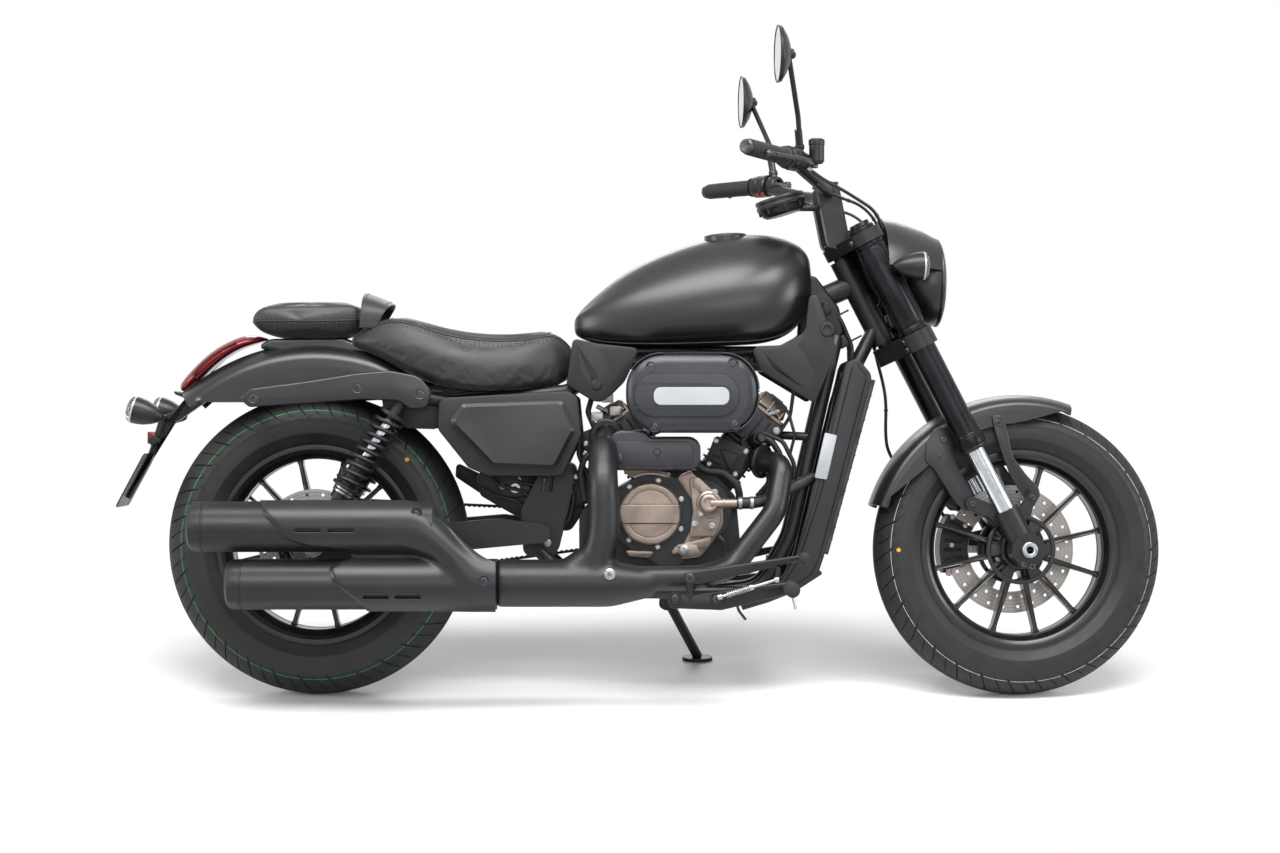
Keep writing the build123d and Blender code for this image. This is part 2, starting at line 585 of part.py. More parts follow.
with BuildPart() as main_frame:
    with BuildSketch(FORK.offset(HEAD_TUBE[0])):
        with Locations((-FORK_OFFSET, 0)):
            Circle(HEAD_TUBE_R)
    extrude(amount=HEAD_TUBE[1] - HEAD_TUBE[0])
    neck_low = FORK.from_local_coords((-FORK_OFFSET, 0, HEAD_TUBE[0] + 40))
    neck_high = FORK.from_local_coords((-FORK_OFFSET, 0, HEAD_TUBE[1] - 60))
    add(bent_tube([neck_high, (250, 0, 795), (-60, 0, 765), (-160, 0, 690)], [200, 60], 24))
    for y in (-1, 1):
        # down tube, cradle and rear pivot in one run
        add(bent_tube([neck_low + Vector(0, y * 9, 0), (430, y * 50, 640), (350, y * 66, 300),
                       (318, y * 82, 225), (-120, y * RAIL_Y, 225), (-215, y * PLATE_Y, 310)],
                      [120, 60, 50, 70], RAIL_R))
        # seat rail and rear post
        add(bent_tube([(-30, y * 9, 762), (-150, y * 84, 655), (-400, y * 100, 632),
                       (STRUT_FRONT[0], y * 100, STRUT_FRONT[1])], [60, 40], RAIL_R))
        add(bent_tube([(-200, y * 86, 648), (-190, y * PLATE_Y, 520), (-200, y * PLATE_Y, 440)], [60],
                      RAIL_R))
        add(rod((STRUT_FRONT[0], y * 92, STRUT_FRONT[1]), (STRUT_FRONT[0], y * 142, STRUT_FRONT[1]), 15))
        add(plate(side(-y * PLATE_Y - 7), 14, PIVOT_PLATE))
    add(rod((PIVOT[0], -112, PIVOT[1]), (PIVOT[0], 112, PIVOT[1]), 16))
    for x, y_half, z in ((-60, RAIL_Y + 2, 225), (-198, PLATE_Y + 3, 464), (-300, 92, 640)):
        add(rod((x, -y_half, z), (x, y_half, z), 12))
    # side-stand bracket, square to the slanted pivot
    with BuildSketch(STAND_PLATE):
        Circle(18)
        with Locations((0, -44)):
            Circle(12)
        make_hull()
    extrude(amount=10)
    with BuildSketch(STAND_PLATE):
        Circle(STAND_PIN_R)
    extrude(amount=16.8 + 7)
    with BuildSketch(STAND_PLATE.offset(16.8 + 7)):
        Circle(10)
    extrude(amount=5)
    # the stem's bearing bore
    with BuildSketch(FORK.offset(HEAD_TUBE[0] - 60)):
        with Locations((-FORK_OFFSET, 0)):
            Circle(STEM_R + PIN_GAP)
    extrude(amount=HEAD_TUBE[1] - HEAD_TUBE[0] + 120, mode=Mode.SUBTRACT)

# ---------------------------------------------------------------- swingarm, axle, belt, shocks
ARM_INNER, ARM_OUTER = 114.0, 136.0
SHOCK_FOOT, SHOCK_TOP = (-657.0, 398.0), (-500.0, 642.0)
SHOCK_Y = 130.0
ARM = [(-190, 370, 20), (-190, 334, 20), (-640, 292, 20), (-740, 292, 24), (-740, 350, 24),
       (-690, 356, 20), (-672, 412, 16), (-642, 412, 16), (-630, 356, 30), (-300, 384, 40)]
with BuildPart() as swingarm:
    for arm in both_sides(plate(side(ARM_INNER), ARM_OUTER - ARM_INNER, ARM)):
        add(arm)
    # the shock eyes sit on thinned lugs
    for y in (118, -142):
        with BuildSketch(side(y)):
            with Locations(SHOCK_FOOT):
                Rectangle(52, 44)
        extrude(amount=24, mode=Mode.SUBTRACT)
    add(rod((-312, -ARM_INNER, 346), (-312, ARM_INNER, 346), 20))
    with BuildSketch(hub_side(REAR_HUB, -200)):
        Circle(REAR_AXLE_R)
    extrude(amount=400, mode=Mode.SUBTRACT)
    add(main_frame.part, mode=Mode.SUBTRACT)

AXLE_END_R, AXLE_RELIEF_R = 18.0, 15.0
with BuildPart() as rear_axle:
    half_axle = [(ARM_OUTER, REAR_AXLE_R, 0), (ARM_OUTER, AXLE_RELIEF_R, 0),
                 (ARM_OUTER + 2, AXLE_RELIEF_R, 0),
                 (ARM_OUTER + 2, AXLE_END_R, 0), (ARM_OUTER + 16, AXLE_END_R, 2), (ARM_OUTER + 16, 0, 0)]
    add(lathe(REAR_HUB, half_axle + [(-along, radius, bend) for along, radius,
                                     bend in reversed(half_axle)]))

FRONT_PULLEY = (-96.0, 352.0)
with BuildPart() as drive_belt:
    # the loop's outside, then its inside cut out
    for thick, mode in ((BELT_THICK, Mode.ADD), (0, Mode.SUBTRACT)):
        with BuildSketch(side(-BELT_Y - BELT_WIDTH + 1)):
            with Locations((REAR_AXLE_X, REAR_AXLE_Z)):
                Circle(REAR_PULLEY_R + 0.5 + thick)
            with Locations(FRONT_PULLEY):
                Circle(FRONT_PULLEY_R + thick)
            make_hull()
        extrude(amount=BELT_WIDTH - 2, mode=mode)

shock_axis = Vector(SHOCK_TOP[0] - SHOCK_FOOT[0], 0, SHOCK_TOP[1] - SHOCK_FOOT[1])
SHOCK_LENGTH = shock_axis.length
SHOCK = Plane(origin=(SHOCK_FOOT[0], -SHOCK_Y, SHOCK_FOOT[1]), x_dir=shock_axis, z_dir=(0, -1, 0))
SPRING_R, SPRING_WIRE_R, SPRING_TURNS = 27.0, 4.6, 9
SPRING_FOOT, SPRING_TOP = 70.0, 236.0  # along the shock
with BuildPart() as rear_shocks:
    foot_seat, top_seat = SPRING_FOOT - SPRING_WIRE_R, SPRING_TOP + SPRING_WIRE_R
    add(lathe(SHOCK, [(14, 0, 0), (14, 13, 0), (30, 13, 0), (30, 20, 2), (foot_seat - 6, 20, 2),
                      (foot_seat - 6, 32, 1), (foot_seat, 32, 1), (foot_seat, 20, 0), (130, 20, 0),
                      (130, 9, 0),
                      (top_seat, 9, 0), (top_seat, 30, 1), (top_seat + 8, 30, 1), (top_seat + 8, 15, 0),
                      (SHOCK_LENGTH - 14, 13, 0), (SHOCK_LENGTH - 14, 0, 0)]))
    for x, z in (SHOCK_FOOT, SHOCK_TOP):
        with BuildSketch(side(118)):
            with Locations((x, z)):
                Circle(16)
        extrude(amount=24)
    mirror(about=Plane.XZ)
    add(swingarm.part, mode=Mode.SUBTRACT)

with BuildPart() as bare_coil:
    with BuildLine() as turns:
        Helix(pitch=(SPRING_TOP - SPRING_FOOT) / SPRING_TURNS, height=SPRING_TOP - SPRING_FOOT,
              radius=SPRING_R)
    with BuildSketch(Plane(origin=turns.line @ 0, z_dir=turns.line % 0)):
        Circle(SPRING_WIRE_R)
    sweep(is_frenet=True)

with BuildPart() as shock_springs:
    coil_place = Plane(origin=SHOCK.from_local_coords((SPRING_FOOT, 0, 0)), z_dir=shock_axis,
                       x_dir=(0, 1, 0))
    add(bare_coil.part.moved(coil_place.location))
    mirror(about=Plane.XZ)

with BuildPart() as rear_caliper:
    with BuildSketch(hub_side(REAR_HUB, -REAR_DISC_Y - 12)):
        with BuildLine():
            CenterArc((0, 0), 132, 20, 44)
            CenterArc((0, 0), 78, 20, 44)
            for turn in (20, 64):
                Line((78 * cos(radians(turn)), 78 * sin(radians(turn))),
                     (132 * cos(radians(turn)), 132 * sin(radians(turn))))
        make_face()
    extrude(amount=42)
    with BuildSketch(hub_side(REAR_HUB, -REAR_DISC_Y - 6)):
        Circle(REAR_DISC_R + 6)
    extrude(amount=17, mode=Mode.SUBTRACT)
    add(swingarm.part, mode=Mode.SUBTRACT)
    add(rear_shocks.part, mode=Mode.SUBTRACT)

# ---------------------------------------------------------------- engine
CRANK = (92.0, 378.0)
CASE_HALF = 92.0
CASE = [(-130, 300, 30), (-130, 400, 40), (-60, 440, 40), (20, 486, 20), (150, 486, 30), (205, 430, 30),
        (214, 330, 40), (170, 246, 40), (-60, 240, 40)]
# tilt from the vertical, distances up the bore: foot, deck, head top, cover top
CYLINDERS = ((38.0, 92, 214, 288, 330), (-33.5, 92, 186, 256, 292))
RIBS = 6  # on each barrel


def bore_plane(tilt, height):
    """A plane square to a cylinder at this height over the crank, drawn as (left, rearward)."""
    up = Vector(sin(radians(tilt)), 0, cos(radians(tilt)))
    return Plane(origin=Vector(CRANK[0], 0, CRANK[1]) + up * height, x_dir=(0, 1, 0), z_dir=up)


with BuildPart() as crankcase:
    add(plate(side(-CASE_HALF), 2 * CASE_HALF, CASE))
    # clutch housing on the right, generator housing and pulley boss on the left
    with BuildSketch(side(CASE_HALF)):
        with Locations((20, 392)):
            Circle(82)
        with Locations((128, 400)):
            Circle(66)
        with Locations((60, 320)):
            Circle(40)
        make_hull()
    extrude(amount=34)
    with BuildSketch(side(-CASE_HALF - 30)):
        with Locations(CRANK):
            Circle(84)
        with Locations((20, 350)):
            Circle(60)
        make_hull()
    extrude(amount=30)
    with BuildSketch(side(-BELT_Y - BELT_WIDTH)):
        with Locations(FRONT_PULLEY):
            Circle(FRONT_PULLEY_R - 0.5)
    extrude(amount=60)
    add(main_frame.part, mode=Mode.SUBTRACT)
    add(drive_belt.part, mode=Mode.SUBTRACT)

with BuildPart() as cylinders:
    for tilt, foot, deck, top, _ in CYLINDERS:
        with BuildSketch(bore_plane(tilt, foot)):
            RectangleRounded(104, 92, 10)
        extrude(amount=deck - foot)
        # cast ribs round the barrel, then the deck's flange
        for rib in range(RIBS):
            with BuildSketch(bore_plane(tilt, foot + 12 + rib * (deck - foot - 26) / RIBS)):
                RectangleRounded(116, 100, 10)
            extrude(amount=5)
        with BuildSketch(bore_plane(tilt, deck - 8)):
            RectangleRounded(124, 104, 10)
        extrude(amount=8)
        with BuildSketch(bore_plane(tilt, deck)):
            RectangleRounded(136, 104, 12)
        extrude(amount=top - deck)
    add(crankcase.part, mode=Mode.SUBTRACT)

with BuildPart() as engine_covers:
    for tilt, _, _, top, cover in CYLINDERS:
        with BuildSketch(bore_plane(tilt, top)):
            RectangleRounded(130, 92, 14)
        with BuildSketch(bore_plane(tilt, cover)):
            RectangleRounded(116, 70, 12)
        loft()
    # clutch cover: a round lid with a raised band across it
    with BuildSketch(side(CASE_HALF + 34)):
        with Locations((22, 394)):
            Circle(66)
    extrude(amount=16, taper=12)
    with BuildSketch(side(CASE_HALF + 34 + 15.5)):
        with Locations((22, 394)):
            RectangleRounded(118, 36, 3)
    extrude(amount=5)

PUMP_COVER = [(104, 468, 4), (118, 474, 6), (166, 424, 10), (172, 380, 8), (158, 345, 4), (104, 345, 4),
              (112, 400, 10)]
with BuildPart() as case_covers:
    # pump cover and its hose stub on the right, generator cover on the left
    add(plate(side(CASE_HALF + 34), 22, PUMP_COVER))
    with BuildSketch(side(CASE_HALF + 56)):
        with Locations((146, 417)):
            Circle(19)
    extrude(amount=14)
    add(rod((146, -CASE_HALF - 62, 417), (206, -CASE_HALF - 62, 417), 9))
    with BuildSketch(side(-CASE_HALF - 30 - 22)):
        with Locations(CRANK):
            Circle(74)
    extrude(amount=22)
    add(crankcase.part, mode=Mode.SUBTRACT)

AIR_CLEANER_INNER, AIR_CLEANER_OUTER = 146.0, 206.0
THROTTLE = (96.0, 608.0)
with BuildPart() as air_cleaner:
    with BuildSketch(side(AIR_CLEANER_INNER)):
        with Locations((110, 650)):
            RectangleRounded(279, 168, 76)
    extrude(amount=AIR_CLEANER_OUTER - 14 - AIR_CLEANER_INNER)
    with BuildSketch(side(AIR_CLEANER_OUTER - 14)):
        with Locations((110, 650)):
            RectangleRounded(279, 168, 76)
    extrude(amount=14, taper=40)
    with BuildSketch(side(AIR_CLEANER_OUTER - 4)):
        with Locations((98, 645)):
            RectangleRounded(224, 92, 45)
    extrude(amount=9, taper=20)
    # duct between the cylinders to the throttle body, and a manifold leg to each head
    with BuildSketch(side(-40)):
        with Locations(THROTTLE):
            RectangleRounded(90, 80, 20)
    extrude(amount=AIR_CLEANER_INNER + 40)
    for tilt, _, deck, top, _ in CYLINDERS:
        head = bore_plane(tilt, (deck + top) / 2).origin
        add(rod((THROTTLE[0], 0, THROTTLE[1]), head, 24))
    add(cylinders.part, mode=Mode.SUBTRACT)
    add(engine_covers.part, mode=Mode.SUBTRACT)

IGNITION_INNER, IGNITION_OUTER = 126.0, 168.0
with BuildPart() as ignition_cover:
    add(plate(side(IGNITION_INNER), IGNITION_OUTER - IGNITION_INNER,
              [(-63, 487, 18), (-63, 572, 24), (10, 572, 20), (24, 558, 10), (128, 558, 26),
               (128, 487, 22)]))
    add(air_cleaner.part, mode=Mode.SUBTRACT)
    add(crankcase.part, mode=Mode.SUBTRACT)
    add(cylinders.part, mode=Mode.SUBTRACT)
    add(engine_covers.part, mode=Mode.SUBTRACT)

# ---------------------------------------------------------------- exhaust
EXHAUST_Y = -215.0
PIPE_R, SHIELD_PIPE_R, COLLECTOR_R = 24.0, 34.0, 50.0
with BuildPart() as exhaust_pipes:
    add(bent_tube([(250, -66, 505), (304, -110, 500), (286, -150, 400), (196, -178, 286),
                   (130, EXHAUST_Y, 262),
                   (10, EXHAUST_Y, 262)], [30, 60, 70, 60], PIPE_R))
    add(bent_tube([(-70, -66, 560), (-78, -165, 552), (-78, EXHAUST_Y - 4, 470), (-88, EXHAUST_Y - 4, 262)],
                  [50, 60], SHIELD_PIPE_R))
    add(lathe(Plane(origin=(0, EXHAUST_Y, 252), x_dir=(1, 0, 0), z_dir=(0, -1, 0)),
              [(-298, 0, 0), (-298, COLLECTOR_R, 0), (-60, COLLECTOR_R, 60), (22, PIPE_R + 10, 2),
               (22, 0, 0)]))
    add(cylinders.part, mode=Mode.SUBTRACT)
    add(ignition_cover.part, mode=Mode.SUBTRACT)
    add(crankcase.part, mode=Mode.SUBTRACT)

SILENCER_Y, SILENCER_R = -233.0, 53.0
SILENCERS = ((-942.0, 371.0, -430.0), (-862.0, 251.0, -298.0))  # rear end, height, front end
with BuildPart() as silencers:
    for rear, height, front in SILENCERS:
        tail = Plane(origin=(rear, SILENCER_Y, height), x_dir=(1, 0, 0), z_dir=(0, -1, 0))
        add(lathe(tail, [(0, 36, 0), (0, SILENCER_R - 2, 6), (14, SILENCER_R, 6),
                         (front - rear, SILENCER_R, 0),
                         (front - rear, 0, 0), (70, 0, 0), (70, 36, 0)]))

SHIELD_R = SILENCER_R + 5
SHIELD_SLOTS = ((-610.0, 371.0), (-560.0, 251.0))  # middle of each long slot
SHIELD_FRONT = [(-520, 428, 10), (-446, 428, 30), (-380, 368, 30), (-299, 298, 2), (-299, 200, 2),
                (-404, 194, 30), (-520, 240, 20)]
with BuildPart() as silencer_shield:
    # rear end, height, front end of each half shell round its silencer
    for rear, height, front in ((-790.0, 371.0, -430.0), (-646.0, 251.0, -298.0)):
        with BuildSketch(across(rear)):
            with Locations((SILENCER_Y, height)):
                Circle(SHIELD_R)
        extrude(amount=front - rear)
    add(plate(side(-SILENCER_Y - 46), 46 + SHIELD_R - 2, SHIELD_FRONT))
    add(silencers.part, mode=Mode.SUBTRACT)
    add(exhaust_pipes.part, mode=Mode.SUBTRACT)
    # the shells are open toward the wheel
    with BuildSketch(side(-SILENCER_Y - 80)):
        with Locations((-600, 320)):
            Rectangle(800, 400)
    extrude(amount=60, mode=Mode.SUBTRACT)
    # a long slot in the outer side of each half shell
    with BuildSketch(side(-SILENCER_Y + SILENCER_R - 8)):
        with Locations(*SHIELD_SLOTS):
            SlotOverall(120, 16)
    extrude(amount=20, mode=Mode.SUBTRACT)

# ---------------------------------------------------------------- radiator and chin fairing
CHIN = [(219, 187, 10), (275, 204, 60), (329, 225, 60), (389, 264, 14), (384, 294, 30), (428, 436, 60),
        (447, 507, 60), (496, 688, 26), (462, 726, 20), (440, 715, 10), (330, 300, 60), (296, 244, 40),
        (219, 200, 6)]
CHIN_HALF, CHIN_WALL = 100.0, 4.0
with BuildPart() as chin_fairing:
    add(plate(side(-CHIN_HALF), 2 * CHIN_HALF, CHIN))
    with BuildSketch(side(-CHIN_HALF + CHIN_WALL)):
        with BuildLine():
            Polyline((200, 215), (275, 215), (329, 236), (378, 268), (374, 294), (470, 640), (560, 640),
                     (560, 760), (400, 760), (200, 330), close=True)
        make_face()
        with BuildLine():
            Polyline((374, 294), (500, 294), (600, 640), (470, 640), close=True)
        make_face()
    extrude(amount=2 * (CHIN_HALF - CHIN_WALL), mode=Mode.SUBTRACT)
    add(main_frame.part, mode=Mode.SUBTRACT)

with BuildPart() as radiator:
    lean = degrees(atan2(496 - 390, 690 - 300))
    core = Plane(origin=(397, 0, 300), x_dir=(0, 1, 0), z_dir=(cos(radians(lean)), 0, -sin(radians(lean))))
    with BuildSketch(core):
        with Locations((0, 200)):
            Rectangle(2 * (CHIN_HALF - CHIN_WALL), 380)
    extrude(amount=-26)
    add(main_frame.part, mode=Mode.SUBTRACT)

# ---------------------------------------------------------------- tank and its covers
# x, half widths at the foot, waist and shoulder, then heights of the foot, waist, shoulder and crown
TANK = (
    (-140, 30, 36, 24, 790, 800, 812, 816),
    (-90, 62, 76, 50, 756, 795, 846, 866),
    (20, 92, 112, 78, 750, 806, 904, 944),
    (150, 112, 140, 98, 752, 816, 942, 988),
    (260, 104, 138, 96, 758, 830, 950, 998),
    (330, 70, 104, 74, 776, 850, 945, 984),
    (370, 44, 60, 46, 840, 868, 925, 950),
)
TANK_ROUNDS = (0.8, 0.8, 2.2, 2.2, 3, 2.2, 2.2)  # corner radii, in elevenths of each section's height
with BuildPart() as fuel_tank:
    for x, foot_half, waist_half, shoulder_half, foot, waist, shoulder, crown in TANK:
        soft = (crown - foot) / 11
        with BuildSketch(across(x)):
            with BuildLine():
                FilletPolyline((-foot_half, foot), (foot_half, foot), (waist_half, waist),
                               (shoulder_half, shoulder), (0, crown), (-shoulder_half, shoulder),
                               (-waist_half, waist), radius=[soft * k for k in TANK_ROUNDS], close=True)
            make_face()
    loft()
    with BuildSketch(across(-200)):
        with Locations((0, 770)):
            RectangleRounded(84, 130, 30)
    extrude(amount=600, mode=Mode.SUBTRACT)
    add(main_frame.part, mode=Mode.SUBTRACT)

with BuildPart() as fuel_cap:
    slope = radians(3)
    cap = Plane(origin=(185, 0, 992), x_dir=(cos(slope), 0, sin(slope)), z_dir=(-sin(slope), 0, cos(slope)))
    with BuildSketch(cap.offset(-30)):
        Circle(46)
    extrude(amount=35)
    fillet(faces().sort_by(Axis.Z)[-1].edges(), 3)
    add(fuel_tank.part, mode=Mode.SUBTRACT)

HEADSTOCK_COVER = [(232, 750, 14), (262, 694, 20), (372, 628, 10), (420, 742, 10), (402, 790, 20),
                   (364, 905, 12), (352, 780, 30), (300, 752, 30)]
with BuildPart() as headstock_covers:
    for cover in both_sides(plate(side(104), 12, HEADSTOCK_COVER)):
        add(cover)
    for boss in both_sides(rod((384, 16, 853), (384, 104, 853), 12)):
        add(boss)
    add(main_frame.part, mode=Mode.SUBTRACT)
    add(fuel_tank.part, mode=Mode.SUBTRACT)
    add(chin_fairing.part, mode=Mode.SUBTRACT)

# ---------------------------------------------------------------- seats, fender and tail
SEAT = [(-628, 766, 8), (-536, 811, 60), (-505, 814, 40), (-440, 792, 120), (-360, 777, 160),
        (-270, 774, 200), (-176, 786, 14), (-143, 733, 10), (-126, 706, 14), (-152, 672, 20),
        (-392, 657, 60), (-474, 690, 60), (-564, 735, 60)]
# half width at each place along the seat
SEAT_PLAN = [(-629, 84, 10), (-560, 118, 60), (-460, 150, 90), (-360, 158, 100), (-250, 130, 120),
             (-120, 78, 30)]
with BuildPart() as rider_seat:
    add(plate(side(-170), 340, SEAT))
    with BuildSketch(Plane.XY.offset(600)):
        with BuildLine():
            outline = SEAT_PLAN + [(x, -y, r) for x, y, r in reversed(SEAT_PLAN)]
            FilletPolyline(*corners(outline), radius=rounds(outline), close=True)
        make_face()
    extrude(amount=300, mode=Mode.INTERSECT)
    add(main_frame.part, mode=Mode.SUBTRACT)
    add(fuel_tank.part, mode=Mode.SUBTRACT)

PILLION = [(-835, 806, 14), (-815, 840, 16), (-597, 843, 16), (-592, 812, 16), (-632, 768, 12),
           (-794, 768, 20)]
with BuildPart() as pillion_seat:
    add(plate(side(-96), 192, PILLION))
    fillet(edges().filter_by(GeomType.LINE).filter_by(Axis.X), 14)
    add(rider_seat.part, mode=Mode.SUBTRACT)

with BuildPart() as pillion_strap:
    with BuildSketch(side(-80)):
        with Locations((-564, 838)):
            Ellipse(38, 27)
            Ellipse(34, 23, mode=Mode.SUBTRACT)
    extrude(amount=160)
    add(rider_seat.part, mode=Mode.SUBTRACT)
    add(pillion_seat.part, mode=Mode.SUBTRACT)

REAR_FENDER_R, REAR_FENDER_HALF = 436.0, 97.0
with BuildPart() as rear_fender:
    add(fender(REAR_HUB, REAR_FENDER_R, REAR_FENDER_HALF, 345, FENDER_WALL, 27, 42, 40))
    # the skirts end on a line under the struts
    with BuildSketch(side(-200)):
        with Locations((-700, 400)):
            Rectangle(900, 440)
    extrude(amount=400, mode=Mode.SUBTRACT)
    # seat base between the fender and the two seats
    with BuildSketch(side(-60)):
        with BuildLine():
            Polyline((-800, 745), (-790, 768), (-632, 768), (-600, 752), (-560, 730), (-540, 700),
                     (-560, 690), close=True)
        make_face()
    extrude(amount=120)
    add(rider_seat.part, mode=Mode.SUBTRACT)
    add(pillion_seat.part, mode=Mode.SUBTRACT)

STRUT = [(-850, 640, 10), (-822, 660, 14), (-601, 692, 200), (-529, 698, 60), (-467, 686, 40),
         (-440, 655, 18), (-450, 618, 18), (-486, 616, 16), (-510, 634, 30), (-584, 636, 100), (-826, 620, 14)]
with BuildPart() as fender_struts:
    for strut in both_sides(plate(side(142), 16, STRUT)):
        add(strut)
    for x, z in (STRUT_MIDDLE, STRUT_REAR):
        for spacer in both_sides(rod((x, 80, z), (x, 142, z), 12)):
            add(spacer)
    add(rear_fender.part, mode=Mode.SUBTRACT)

TAIL_LAMP = [(-1004, 662, 4), (-985, 644, 4), (-940, 690, 200), (-872, 742, 200), (-800, 768, 2),
             (-846, 780, 20),
             (-920, 748, 200)]
with BuildPart() as tail_lamp:
    add(plate(side(-58), 116, TAIL_LAMP))
    add(rear_fender.part, mode=Mode.SUBTRACT)
    add(pillion_seat.part, mode=Mode.SUBTRACT)

REAR_INDICATOR = Plane(origin=(-1066, -INDICATOR_Y, 614), x_dir=(-1, 0, 0.28), z_dir=(0, -1, 0))
with BuildPart() as indicator_pair:
    add(lathe(REAR_INDICATOR, [(-62, 0, 0), (-60, 6, 5), (-40, 20, 12), (-8, 29, 8), (14, 29, 2),
                               (20, 20, 6),
                               (21, 0, 0)]))
    add(rod((-1030, -INDICATOR_Y, 606), (-1030, -22, 596), 7))
    mirror(about=Plane.XZ)

PLATE_ARM = [(-966, 661, 0), (-1010, 610, 30), (-1040, 600, 14), (-1058, 540, 30), (-1072, 500, 20),
             (-1112, 425, 3),
             (-1104, 420, 3), (-1060, 500, 20), (-1046, 540, 30), (-1026, 586, 14), (-1000, 590, 20),
             (-930, 640, 0)]
with BuildPart() as rear_bracket:
    # the number plate's arm, with the rear indicators on a bar through it
    add(indicator_pair.part)
    add(plate(side(-14), 28, PLATE_ARM))
    lean = Plane(origin=(-1091.5, 0, 462.5), x_dir=(0, 1, 0), z_dir=(-0.88, 0, 0.47))
    with BuildSketch(lean):
        RectangleRounded(150, 130, 10)
        with Locations((-60, 0), (60, 0)):
            Circle(3.5, mode=Mode.SUBTRACT)
    extrude(amount=3)
    add(rod((-1030, -22, 596), (-1030, 22, 596), 10))
    add(rear_fender.part, mode=Mode.SUBTRACT)
    add(tail_lamp.part, mode=Mode.SUBTRACT)

HOUSING = [(-428, 640, 20), (-428, 572, 16), (-364, 492, 10), (-322, 474, 20), (-165, 474, 20),
           (-124, 560, 20),
           (-132, 640, 10), (-150, 655, 20)]
SIDE_COVER = [(-404, 588, 12), (-378, 627, 16), (-162, 634, 16), (-138, 570, 16), (-178, 491, 16),
              (-312, 497, 20)]
with BuildPart() as side_housings:
    for housing in both_sides(plate(side(116), 22, HOUSING)):
        add(housing)
    # the battery box between them, on a lug to each
    with BuildSketch(side(-64)):
        with BuildLine():
            Polyline((-380, 622), (-340, 500), (-215, 500), (-185, 622), close=True)
        make_face()
    extrude(amount=128)
    for lug in both_sides(rod((-280, 60, 560), (-280, 120, 560), 10)):
        add(lug)
    add(main_frame.part, mode=Mode.SUBTRACT)
    add(rider_seat.part, mode=Mode.SUBTRACT)

with BuildPart() as side_covers:
    for cover in both_sides(plate(side(138), 16, SIDE_COVER)):
        add(cover)
    sides = faces().filter_by(Axis.Y).group_by(Axis.Y)
    chamfer(sides[0].edges() + sides[-1].edges(), 5)

UNDER_TANK = [(-143, 767, 10), (-157, 668, 10), (-86, 624, 30), (-34, 676, 40), (0, 746, 10),
              (-90, 756, 10)]
with BuildPart() as frame_covers:
    # beside the headstock, and under the tank's tail
    add(headstock_covers.part)
    for panel in both_sides(plate(side(96), 14, UNDER_TANK)):
        add(panel)
    for boss in both_sides(rod((-120, 60, 684), (-120, 97, 684), 9)):
        add(boss)
    add(main_frame.part, mode=Mode.SUBTRACT)
    add(fuel_tank.part, mode=Mode.SUBTRACT)
    add(rider_seat.part, mode=Mode.SUBTRACT)
    add(side_housings.part, mode=Mode.SUBTRACT)

# ---------------------------------------------------------------- foot controls and side stand
# The right bracket stands outside the exhaust; the left one is nearer the frame.
FOOT_BRACKET_Y = {-1: 240.0, 1: 190.0}
FOOT_BRACKET = [(56, 226, 16), (60, 202, 14), (170, 198, 14), (330, 236, 14), (330, 258, 12),
                (120, 232, 30)]
PEDAL = [(89, 258, 6), (120, 252, 30), (345, 304, 8), (351, 316, 8), (120, 282, 40), (92, 276, 6)]
with BuildPart() as foot_controls:
    for y_sign, inner in FOOT_BRACKET_Y.items():
        add(plate(side(inner if y_sign < 0 else -inner - 12), 12, FOOT_BRACKET))
        for x, z in ((110, 216), (160, 214)):
            add(rod((x, y_sign * 80, z), (x, y_sign * (inner + 2), z), 11))
        add(rod((312, y_sign * (inner + 6), 246), (312, y_sign * (inner + 112), 246), 14))
        add(rod((104, y_sign * (inner + 6), 218), (104, y_sign * (inner + 16), 266), 9))
        # brake pedal on the right, gear lever on the left, each a long blade with a toe peg
        add(plate(side(inner + 14 if y_sign < 0 else -inner - 24), 10, PEDAL))
        add(rod((340, y_sign * (inner + 18), 308), (340, y_sign * (inner + 70), 308), 8))
    add(main_frame.part, mode=Mode.SUBTRACT)
    add(exhaust_pipes.part, mode=Mode.SUBTRACT)
    add(crankcase.part, mode=Mode.SUBTRACT)

STAND_FOOT = Vector(130, 275, (275 * LEAN_SIN - LIFT) / LEAN_COS)
FLOOR_UP = Vector(0, -LEAN_SIN, LEAN_COS)
with BuildPart() as side_stand:
    knuckle = Plane(origin=STAND_PIVOT - STAND_AXIS * 6.5, x_dir=(1, 0, 0), z_dir=STAND_AXIS)
    add(rod(STAND_PIVOT, STAND_FOOT + FLOOR_UP * 10, 11))
    with BuildSketch(knuckle):
        Circle(17)
    extrude(amount=13)
    with BuildSketch(knuckle.offset(-30)):
        Circle(60)
    extrude(amount=29.7, mode=Mode.SUBTRACT)
    with BuildSketch(knuckle.offset(13.3)):
        Circle(20)
    extrude(amount=20, mode=Mode.SUBTRACT)
    with BuildSketch(Plane(origin=STAND_FOOT, x_dir=(1, 0, 0), z_dir=FLOOR_UP)):
        Ellipse(34, 24)
    extrude(amount=8)
    with BuildSketch(knuckle.offset(-40)):
        Circle(STAND_PIN_R + PIN_GAP)
    extrude(amount=90, mode=Mode.SUBTRACT)

# ---------------------------------------------------------------- parking and writing
MIDDLE = (1.5, 153.5)  # middle of the parked motorcycle's box, which goes over the origin
STEER_FRAME = Plane(origin=STEER_AXIS.position, z_dir=STEER_AXIS.direction).location
STEER = STEER_FRAME * Location((0, 0, 0), (0, 0, PARKED_STEER)) * STEER_FRAME.inverse()
PARK = Location((-MIDDLE[0], -MIDDLE[1], LIFT)) * Location((0, 0, 0), (-LEAN, 0, 0))

